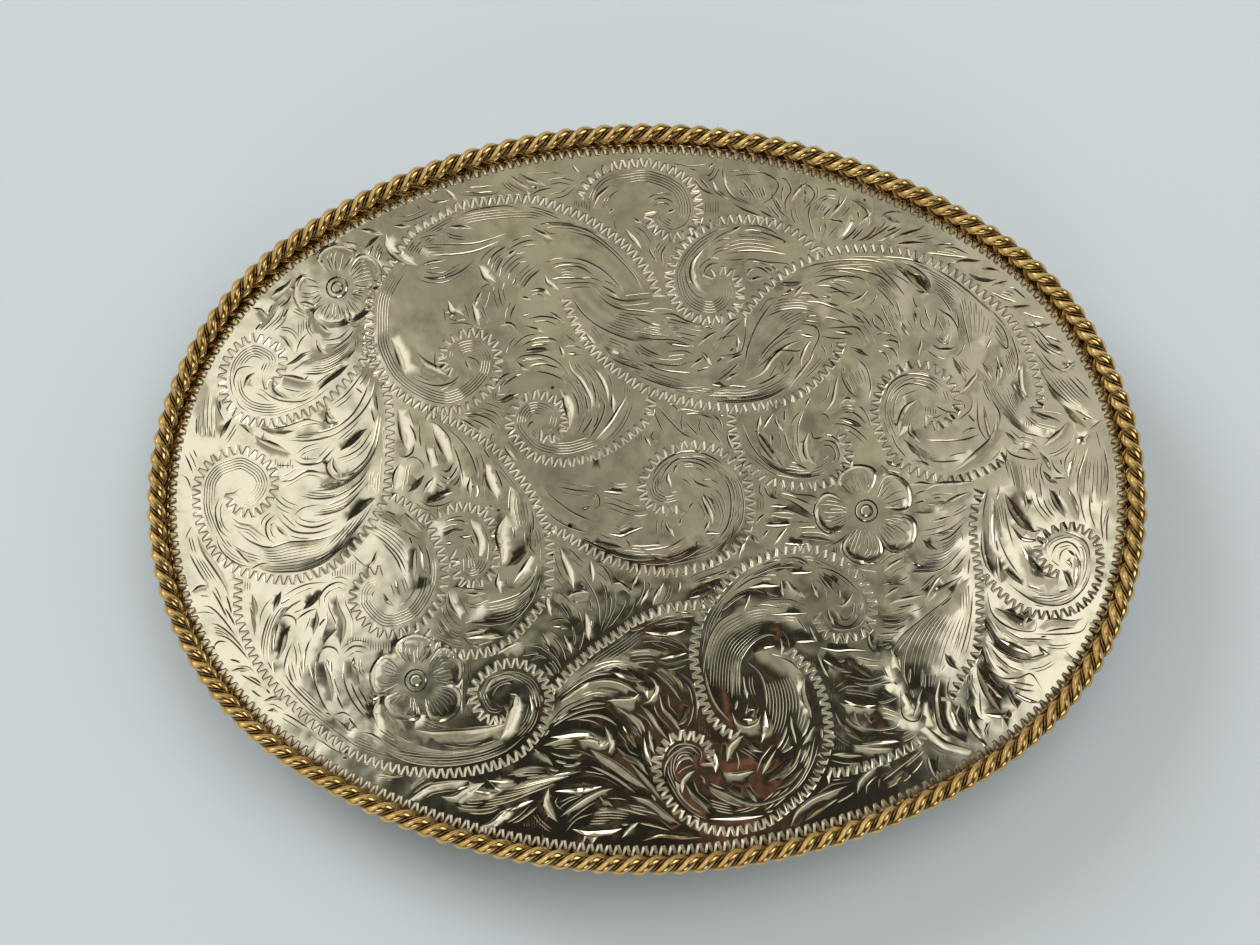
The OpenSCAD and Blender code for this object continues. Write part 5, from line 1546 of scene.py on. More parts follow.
            (6, (27.8, -9.6, 29.3, -8.2, 31, -7.8, 32.6, -6),
             (32.2, -9.3, 32.6, -8.4, 32.7, -7.5, 32.9, -6)),
            (15, (32, -9.4, 30.4, -10.9, 28, -12.9, 26.5, -15.3, 26.1, -17.8, 26.6, -19.3),
             (33.1, -9.4, 32.9, -12, 32.3, -14.6, 31.7, -16.4, 31.3, -17.4, 31, -18)),
            (5, (34.6, 1, 34.3, -2, 34.4, -5, 35.3, -7.9), (35.9, 1, 35.4, -2, 35.5, -4.5, 36, -7)),
            (6, (36.3, 0, 36.7, -3, 37.4, -5.5, 38.1, -7.5),
             (35.2, -1.4, 35.7, -4, 36.6, -6.3, 37.9, -8.2)),
            (7, (36.1, -8.4, 38, -9.9, 40, -10.9, 42.5, -10.8, 44.5, -9, 45.2, -7),
             (36.7, -7.7, 38.5, -9, 40.5, -9.5, 42.2, -9.6, 43.8, -8.6, 44.2, -7)),
            (6, (40.1, -5.4, 41.2, -3.9, 43, -3.7, 44.7, -4.8, 45.1, -7),
             (41, -6.2, 41.6, -5, 42.8, -4.6, 43.8, -5.4, 44.2, -7)),
            (4, (44, 1, 44.3, -1.5, 45.2, -4.2), (45.1, 1, 45.1, -1.5, 45.8, -3.6)),
            (4, (40.1, 0.9, 40.6, -1, 41.5, -2.2), (41, 0.9, 41.6, -0.6, 42.4, -1.8)),
            (6, (34.6, -10.8, 35.8, -12.9, 37.8, -14.3, 39.8, -14.4, 41.4, -14.5),
             (34.4, -13.4, 35.4, -15.1, 37.2, -16.5, 39, -16.7, 40.7, -16.1)),
            (6, (34.4, -14, 35.2, -15.8, 36.6, -17.1, 38.3, -17.6),
             (33.9, -16, 34.4, -18.3, 35.4, -20, 36.4, -20.8)),
            (5, (46.4, -0.2, 46.2, -2.5, 46.5, -5.2), (47.5, -0.4, 46.8, -2.5, 46.8, -5.4)),
            (4, (24.2, -13.9, 25.2, -13.8, 26.4, -13.2), (24.1, -14.7, 24.8, -14.7, 25.2, -14.5)),
            (4, (24, -11.6, 25.6, -11.5, 27.3, -11.1), (24.1, -13, 25.6, -13, 27, -12.3)),
            (6, (24.1, -8.4, 25.3, -7.5, 26.8, -6.8), (24.2, -9, 25.6, -8.9, 27, -8.2)),
            (5, (39.8, -13.8, 41.5, -13.4, 43.4, -13.2), (39.8, -14.2, 41.5, -14, 43.2, -13.7)),
        ],
        "hatch": [
            (32.4, 33.2, -16, -14),
            (24.2, 25.6, -19.5, -18.8),
            (44.8, 45.8, -12, -10.7),
        ],
    },
    "below, left": {
        "bevels": [
            (0.8, -13, -20.3, -12.2, -20.2, -11.7, -21.3, -12, -22.8, -12.8, -24, -13.9, -24.9),
            (0.8, -22.6, -23.9, -20.5, -24.8, -18, -25.1, -15.5, -24.7, -13.6, -23.8, -12.6, -22.9),
            (0.5, -23, -28.7, -23.8, -29.5, -23.7, -30.5, -23.1, -31.2),
            (0.4, -23, -30.9, -22, -30, -20.8, -29.3, -19, -29, -17, -28.9),
            (0.7, -19.8, -30.5, -18.5, -30.3, -17.2, -29.5, -15.4, -29.1),
            (0.3, -21.1, -29.9, -21.1, -31, -20.3, -32, -18.5, -32.7, -17, -32.8, -15.3, -32.3),
            (0.8, -15.9, -33.5, -14.7, -32.9, -13.7, -32, -12.5, -31.6),
            (0.35, -15.8, -33.7, -14.5, -34.1, -13, -33.9, -11.5, -33.1, -10, -31.7),
            (1.0, -9, -29.6, -9.6, -30.8, -9.2, -32, -8.1, -32.9),
            (0.4, -7.8, -32.4, -7, -31.6, -5.5, -30.5, -4, -29.8, -2.6, -29.6),
            (0.8, -8.7, -34.8, -7.9, -33.3, -6.6, -31.9, -4.3, -31.1),
            (0.35, -8.5, -34.8, -6.5, -34.9, -4.5, -35, -2.7, -34.7, -1.4, -33.9),
            (0.4, -0.2, -33, -1, -33.4, -1.4, -34.4, -1, -35.3, -0.3, -35.8),
            (0.3, -4, -30.3, -3.6, -31, -2.6, -31.4),
            (0.45, -4, -30, -2, -29.9, 0, -30.4, 1, -31),
            (0.45, -3.5, -23.4, -2.7, -24.3, -2.4, -25.3, -3.1, -26.2),
            (0.5, -6.1, -24.9, -4.7, -25.4, -3.7, -25.7, -3.3, -24.9),
            (0.3, -9.6, -25.4, -8, -24.7, -6.3, -24.7),
            (0.35, -2.4, -25.4, -1.6, -26.6, -0.2, -27.3, 0.9, -28.3),
            (0.3, -10.6, -25.7, -9.8, -26.7, -8.6, -27.4),
            (0.5, -5, -25.7, -3.5, -26.4, -1.5, -27.6, 1, -29.8),
            (0.45, -7.9, -21.1, -6.5, -19.8, -5, -19.1),
            (0.35, -5.3, -19.2, -3.5, -18.8, -1.8, -19.1, -0.2, -20.2),
            (0.35, -0.1, -20.2, -0.6, -21, -1.8, -21.2, -3.3, -21),
            (0.35, -15.6, -28.6, -14.5, -27.9, -13, -27.3, -11, -27.1),
            (0.5, -9.7, -17.5, -8.9, -18.6, -8.7, -20),
            (0.3, -13.4, -20.4, -12.9, -21.3, -12.2, -22),
        ],
        "dark": [
            (0.9, -8.9, -24.6, -7, -23.8, -5, -23.8, -3.8, -24.8),
            (0.5, -23.1, -29.9, -22, -29, -20, -28.7, -18, -28.6),
            (0.35, -21, -29.9, -19.5, -29.7, -18, -29.4),
            (0.6, -19.9, -31, -18.5, -32, -16.4, -32.3),
            (0.6, -15.5, -33.5, -13.8, -33.6, -12, -32.9),
            (0.6, -13.5, -32.1, -12, -31.6, -10.5, -30.8),
            (0.9, -8.4, -29.9, -7, -29.3, -5.3, -29.1, -3.7, -29.4),
            (0.8, -8, -31.4, -7.3, -30.4, -5.9, -29.8),
            (1.0, -6.6, -33.6, -5, -34.3, -3, -34.1, -1.7, -33.5),
            (0.9, -5.1, -32, -3.8, -33, -1.8, -33.2),
            (0.6, -2.8, -18.1, -1, -18.3, 0.4, -19),
            (0.5, -3.1, -20.9, -1.8, -20.5, -0.3, -20.5),
            (0.7, -0.8, -26.1, 0.4, -26.6, 1.3, -27.3),
            (0.5, -12.7, -19.7, -13.5, -20, -12.9, -20.5),
            (0.7, -1.7, -23.4, -0.8, -24.5, -0.3, -25.6),
            (0.35, -22.6, -23.4, -20, -24.4, -17, -24.7, -14.5, -24),
            (0.5, -15.1, -28.9, -13.8, -29.2, -12.4, -28.9),
            (0.5, -25.2, -22.4, -24.4, -23.3, -23.4, -24.1),
            (0.6, -16.5, -29.9, -15.2, -30.3, -13.8, -30),
        ],
        "strokes": [
            (0.25, -10.4, -25.5, -8.5, -25.1, -6, -25.2, -4.2, -25.8),
            (0.2, -15.4, -28.6, -14, -29.6, -12.5, -29.5, -11.4, -28.8),
            (0.2, -25.9, -30, -24.9, -30, -24.1, -29.6),
            (0.15, -9.3, -27.5, -7, -27.6, -5, -27.4),
            (0.15, -7.4, -28.9, -5.5, -28.4, -3.5, -28.6, -1.8, -29.5),
            (0.15, -9.5, -23.9, -7.6, -21.7, -5, -20.5),
            (0.15, -25.6, -28, -24, -28.2, -23, -28.5),
            (0.15, -14.8, -20.8, -14, -21.6, -13.1, -21.3),
            (0.15, -8.3, -26, -6.2, -25.9, -4.4, -26.6),
        ],
        "fans": [
            (7, (-6.6, -19, -4, -17.4, -1.5, -17.1, 0.8, -17.8),
             (-7.9, -20.6, -6.3, -19.3, -4.5, -18.4, -2.7, -18.3)),
            (8, (-9, -23.2, -7, -21, -4.3, -19.8, -2, -20.1),
             (-9.9, -24.8, -8, -23, -5.7, -21.9, -3.3, -21.6)),
            (8, (-7, -21.9, -4.5, -21.2, -2.3, -21.6, -0.4, -23.2, 0.8, -25.7),
             (-7.6, -23, -5, -22.4, -3.3, -22.7, -1.8, -23.9, -0.9, -25.8)),
            (7, (-7, -26.3, -4.5, -26.4, -2, -27.6, 0.3, -29.9),
             (-7.6, -27.4, -5, -27.4, -2.5, -28.5, -0.4, -30)),
            (4, (-12.6, -28, -10.5, -27.5, -8, -27.9), (-14, -28.9, -11.8, -28.7, -9, -28.3)),
            (9, (-13.6, -29.3, -11, -28.9, -8.5, -28.4, -5.8, -27.9),
             (-15.7, -31.5, -13, -30.9, -10.5, -29.9, -8.2, -29.1)),
            (6, (-17.6, -30.6, -15.5, -30.2, -13.2, -29.9),
             (-19.4, -31.3, -17.5, -32, -15, -32, -12.5, -31)),
            (4, (-14.6, -32.6, -12.5, -32.1, -10.3, -30.9), (-14.3, -33.4, -12.2, -32.9, -10.1, -31.4)),
            (7, (-4.1, -31.6, -2, -31.5, 0.8, -32.2), (-5.1, -33.2, -2.5, -33.1, -0.3, -33.1)),
            (8, (-25.6, -23.2, -23, -25.1, -20, -25.9, -17, -25.8, -14.2, -25.1, -12.1, -23.5),
             (-26.7, -25.3, -23.5, -26.9, -20, -27.4, -16.5, -27, -13.5, -26, -11.4, -24.4)),
            (4, (-26, -28.2, -24.5, -28.5, -23.3, -28.5), (-26, -29.4, -24.8, -29.5, -23.9, -29.1)),
            (4, (-8.8, -17, -8.1, -18.3, -8.3, -19.7), (-7.4, -17, -7.6, -18, -8, -19.2)),
            (5, (-15.6, -20.3, -14.9, -18.9, -13.2, -18.4, -11.5, -19.3),
             (-14.8, -20.6, -14.3, -19.6, -13.3, -19.2, -12.4, -19.6)),
            (4, (-11, -20.4, -10.7, -21.8, -11.2, -23.4), (-9.9, -20.4, -9.7, -21.8, -10.4, -23.6)),
            (5, (-8.9, -26.1, -7.4, -26.5, -6, -26.6), (-8.4, -26.9, -7, -27.2, -5.8, -27.1)),
            (4, (-22.6, -30.2, -21.4, -29.3, -19.8, -28.9), (-22.9, -29.4, -21.6, -28.6, -20, -28.5)),
        ],
        "hatch": [
            (-12.2, -9.2, -34.8, -32.4),
            (-22.4, -20.4, -32.6, -30.8),
            (-18, -16.9, -22.6, -17),
            (-3.4, -1.5, -35.5, -34.8),
            (-19.5, -16.5, -34.2, -33.1),
            (-8.8, -6.2, -35.7, -35.1),
            (-17, -15, -24.3, -23.2),
        ],
    },
    "right end, lowest": {
        "bevels": [
            (1.1, 30.4, -17.7, 29.9, -19.5, 29.7, -21, 30, -23, 31, -24.2, 32.9, -24.9),
            (0.35, 27.9, -22.3, 28.2, -23.5, 29, -24.6, 30.2, -25.4, 32.1, -25.5),
            (0.7, 28.4, -25.9, 28.6, -27.3, 29.3, -28.3),
            (0.35, 27.1, -27.2, 27.5, -28.4, 28.5, -29),
            (0.4, 26.1, -18.8, 25.8, -20.5, 26.2, -21.8, 27, -22.7),
            (0.4, 27, -22.6, 27.9, -21.5, 28, -19.5),
            (0.35, 31.8, -20.8, 31.2, -22, 31.7, -23.1, 32.5, -23.9),
            (0.4, 32.6, -21.7, 32.4, -23, 33, -24.5, 34.3, -25.5),
            (0.7, 33.7, -22.4, 34.8, -22.9, 35.1, -24, 34.6, -25.1),
            (0.6, 33.4, -17, 33.6, -18.5, 34.4, -20.3, 35.9, -21.8),
            (0.6, 36.3, -19.3, 36.9, -20.7, 37.5, -21.4),
            (0.5, 39.3, -18.1, 39.9, -19.2, 39.6, -20.1),
            (0.35, 38, -18.2, 39, -18.5, 39.9, -19.4),
            (0.4, 32, -18.6, 31.7, -19.7, 32, -20.9),
        ],
        "dark": [
            (0.6, 34.1, -18.2, 35.2, -19.6, 36.4, -21),
            (0.6, 36.2, -19.4, 37.5, -20, 39.4, -20.2),
            (0.5, 34.1, -21.9, 35.2, -22.3, 36.2, -22.2, 36.7, -21.3),
            (0.9, 28.2, -21.9, 28.8, -23.5, 30.3, -24.7, 32.1, -25.1),
            (0.6, 30.8, -20.4, 30.6, -22, 31.4, -23.6),
            (0.6, 32.7, -22.3, 33.1, -23.6, 34.1, -24.5),
            (1.0, 26.1, -19.9, 26.6, -21.2, 27.3, -21.9),
            (0.6, 23.9, -25.5, 26, -25, 27.6, -24.1),
            (0.6, 24.1, -29.6, 25.3, -29, 26.4, -28.3),
            (0.5, 27.6, -27.4, 28.4, -28.6),
            (0.4, 37.1, -17.6, 38.3, -18, 39.4, -18),
            (0.5, 28.5, -20.7, 29, -22, 29.2, -23.2),
        ],
        "strokes": [
            (0.2, 30.8, -18.2, 30.5, -19.8, 31, -20.8),
            (0.15, 28, -18.2, 28, -20, 28.4, -21.5),
            (0.15, 33.1, -21, 33.5, -22.2, 34.2, -22.6),
            (0.15, 26.4, -29.4, 27, -28.4, 27.1, -27.5),
            (0.15, 29.6, -25.8, 29.4, -27, 29.6, -28),
        ],
        "fans": [
            (6, (28.2, -18, 28.3, -19.8, 29, -21.6), (30, -17.8, 29.7, -19, 29.3, -20.6)),
            (5, (26.8, -17.5, 26.7, -19, 27.2, -20.7), (28, -17.5, 27.9, -19, 27.7, -20.6)),
            (9, (24, -21.2, 26, -22, 27.6, -22.9), (24, -24.8, 26, -24.7, 27.8, -23.7)),
            (5, (25, -28.8, 26.5, -27, 28.1, -25.6), (26, -29, 27, -27.8, 28.2, -26.3)),
            (6, (32.4, -19.3, 32.6, -21.4, 33.5, -23.6), (33.7, -19.3, 33.8, -21.5, 34, -22.4)),
            (6, (24.1, -27.2, 25.8, -26.2, 27.4, -25.2), (24, -28.6, 25.6, -27.3, 27.8, -25.6)),
            (6, (34.2, -17.3, 35, -18.4, 36.2, -19.5), (35.2, -16.9, 36.4, -17.8, 38, -18.9)),
            (5, (34.1, -20, 34.8, -21, 35.8, -21.7), (35.6, -20.2, 36.1, -20.9, 36.6, -21.4)),
            (4, (36.8, -19.1, 38, -19.5, 39.3, -19.6), (36.9, -18.7, 38.2, -18.9, 39.3, -19.1)),
            (8, (24, -17.2, 24.6, -18.4, 25.6, -19.2), (24, -20.6, 24.8, -20.8, 25.6, -20.8)),
        ],
        "hatch": [
            (30.1, 33.6, -27.4, -25.8),
            (36.6, 38.6, -22.2, -21.3),
            (24.6, 26.2, -30.8, -29.9),
            (32.2, 33, -18.9, -17.4),
        ],
    },
    "lower left rim": {
        "bevels": [
            (0.35, -41.5, -18.1, -40.5, -17.6, -39.3, -17.8, -38.2, -18.8),
            (0.35, -40.8, -18.8, -40, -19.9, -38.5, -20.9, -37, -21.2),
            (0.3, -38.3, -21.2, -37.5, -20.8, -36.5, -21, -35.2, -21.9, -33.6, -23.7),
            (0.35, -37.7, -22.4, -36.5, -23.5, -35, -24.4, -33.5, -24.9),
            (0.35, -33.3, -24.3, -33, -25.4, -32, -26.4, -30.5, -26.9, -28.8, -27),
            (0.45, -29.8, -28, -29.7, -27.1, -28.7, -26.9),
            (0.6, -27.9, -28.7, -27.2, -28, -26, -27.8, -24.5, -28),
            (0.35, -27.9, -29.1, -26.8, -29.8, -25, -30.1, -24.1, -29.8),
            (0.9, -30.9, -22.6, -30.3, -23.8, -29.4, -24.5, -28.6, -24.1),
            (0.6, -26.1, -20.6, -26.8, -21.5, -26.9, -22.4, -26.2, -23.8),
            (0.4, -28, -24.2, -26.8, -25, -25.5, -25.6),
        ],
        "dark": [
            (0.6, -37.7, -22, -37, -21.7, -36.4, -22.2),
            (0.5, -29.2, -27.9, -28.2, -27.2, -26.2, -27.5),
            (0.8, -27.7, -28.9, -26, -28.7, -24.4, -29.1),
            (0.7, -32, -17, -31.9, -19, -31, -21.3),
            (0.8, -29.3, -17, -29, -18.4, -28.2, -19.4),
            (0.6, -26, -21.7, -25.3, -23, -24.1, -24.1),
            (0.5, -27.4, -20.4, -26.8, -21, -25.9, -20.5),
            (0.4, -33.3, -24.5, -32.9, -24.6),
        ],
        "strokes": [
            (0.2, -30.9, -22.5, -29.8, -22.2, -28.7, -22.8),
            (0.15, -33, -24.5, -31.8, -25.2, -30.3, -26.1, -28.6, -26.5),
            (0.15, -42.2, -17.2, -41.6, -18.3, -40.8, -19.2),
        ],
        "fans": [
            (5, (-40, -18.5, -38.8, -19, -36.8, -20.9), (-39.9, -19.4, -38.6, -20.5, -37, -21.1)),
            (4, (-36.8, -22, -35.3, -22.6, -33.2, -23.9), (-36.9, -22.8, -35.4, -24, -33.5, -24.7)),
            (4, (-32.4, -24.9, -31, -25.7, -29, -26.2), (-32.2, -25.8, -30.8, -26.6, -29, -26.8)),
            (7, (-38.3, -17, -36.5, -19.7, -34.5, -21.8, -32, -23.7),
             (-36.2, -17, -35.5, -19, -33.6, -21, -31.2, -22.9)),
            (9, (-35.8, -17, -35, -19.3, -33, -21.5, -31, -22.5),
             (-33.5, -17, -32.6, -19.8, -31.6, -21.8, -30.8, -22.3)),
            (9, (-31.2, -17, -30.9, -19.5, -29.6, -22.2, -27.5, -24.7, -25, -26.4),
             (-29.9, -17, -29.8, -19, -28.8, -21.2, -27, -23.2, -24.5, -25)),
            (4, (-29.2, -19, -28.5, -20.5, -27.4, -22.1, -25.5, -23.9),
             (-28.4, -19.6, -27.7, -20.7, -27, -21.8, -25.5, -23.4)),
        ],
        "hatch": [
            (-35.2, -33.8, -26, -25.1),
            (-32, -30.6, -28.2, -27.4),
        ],
    },
    "upper left rim": {
        "bevels": [
            (0.35, -38.8, 20.4, -38, 21.3, -37, 21.9, -36.3, 22.7),
            (0.4, -36.9, 23.1, -36.2, 22.5, -35.9, 21.7),
            (0.35, -29.7, 26, -29.4, 27.4, -28.2, 28.4, -26.7, 28.6),
            (0.35, -25.9, 28.7, -25, 29.4, -23.9, 29.9),
        ],
        "dark": [
            (0.25, -33.6, 24.2, -33.1, 24.3),
            (0.2, -36.5, 21.5, -36.2, 21.5),
            (0.35, -28.9, 25.4, -28.2, 26.4, -27.2, 26.9),
        ],
        "strokes": [
            (0.15, -40, 21, -38.8, 22, -37.7, 22.3),
            (0.15, -35.6, 23.3, -34.4, 24.2, -33.6, 25.3),
            (0.15, -30.4, 27, -31.2, 27.6),
        ],
        "fans": [
            (5, (-38.6, 20.2, -37.5, 21.1, -36.4, 21.8), (-37.6, 19.4, -36.8, 20, -36.3, 20.9)),
            (4, (-39.8, 20, -38.9, 20.9, -38.3, 21.3), (-39.2, 19.7, -38.7, 20.2, -38.2, 20.6)),
        ],
        "hatch": [
            (-35.5, -34.2, 16.3, 18.4),
            (-30, -29, 14.8, 16.6),
        ],
    },
    "upper right rim": {
        "bevels": [
            (0.3, 24, 29.2, 25, 29.5, 26.3, 29.3, 27, 28.5),
            (0.6, 24.2, 26.2, 25.5, 26.8, 26.6, 27.7, 27, 28.7),
            (0.4, 24.8, 26.1, 26.5, 26.3, 28, 26.9, 28.7, 27.8),
            (0.3, 27.6, 25.6, 28.8, 25.8, 30.5, 26.1, 32, 25.9, 33.6, 25.3),
            (0.6, 31.3, 23.9, 32.5, 24.3, 34.4, 24.2),
            (0.3, 34.2, 23.3, 35.3, 23, 36.3, 23.1),
            (0.35, 35.1, 21.5, 36.2, 21.5, 37.1, 22.1),
            (0.5, 36.6, 20, 37.6, 19.3, 38.8, 19.1, 39.7, 19.6),
            (0.4, 29.3, 21.5, 28.7, 20.6, 27.7, 21),
            (0.3, 29.3, 20.3, 28.6, 20.2, 27.8, 20.5),
            (0.3, 26.2, 25, 27.2, 25.2, 28.4, 25.1),
        ],
        "dark": [
            (0.55, 26.2, 26, 27.5, 26, 28.8, 26.5),
            (0.5, 33, 22.8, 34.3, 22.6, 36, 22.3),
            (0.4, 38.5, 21.1, 39, 20.5, 39.6, 20),
            (0.6, 25.4, 23.7, 27.2, 22.7, 28.5, 21.4, 29.2, 20.4),
            (0.4, 27.4, 18.9, 27.8, 18.5, 27.8, 17.8),
            (0.4, 24.4, 28.8, 25.4, 28.6, 26.2, 28),
            (0.4, 32.6, 25.5, 33.6, 24.9, 34.4, 24.4),
        ],
        "strokes": [
            (0.2, 36.8, 21.9, 38, 21.6, 39.4, 20.3),
            (0.15, 30.2, 25.4, 31.6, 25.5, 33.3, 24.7),
            (0.15, 24.3, 25.6, 25.4, 25.9, 26.6, 25.7),
            (0.15, 27.3, 20.3, 27.6, 19.4, 28.1, 18.9),
        ],
        "fans": [
            (5, (29.6, 25.7, 31.5, 25.8, 33.8, 24.9), (28.8, 24.9, 31, 24.6, 33, 24.5)),
            (5, (36, 21.5, 37.5, 21.4, 39, 20.2), (35.4, 20.9, 36.5, 20.3, 38, 19.9)),
            (14, (24.3, 24.4, 27.5, 24, 30.5, 22.7, 33.5, 20.5, 36.2, 17.6),
             (29.5, 21.2, 30.5, 19.9, 31.5, 18.3, 32, 16.8, 32.3, 15.5)),
            (8, (23.5, 23.7, 25.4, 21.8, 26.9, 19.9), (23.5, 21.3, 25, 19.8, 26, 18.3)),
            (4, (24.4, 28.3, 25.2, 28.2, 26.3, 27.9), (24.2, 27, 25, 27.2, 25.9, 27.6)),
            (4, (33.8, 22.3, 35, 22.2, 36.4, 22.2), (33.6, 21.8, 34.4, 21.6, 35.4, 21.6)),
        ],
        "hatch": [
            (29.6, 31.5, 23.3, 24.3),
            (28.6, 30, 26.8, 28),
        ],
    },
}

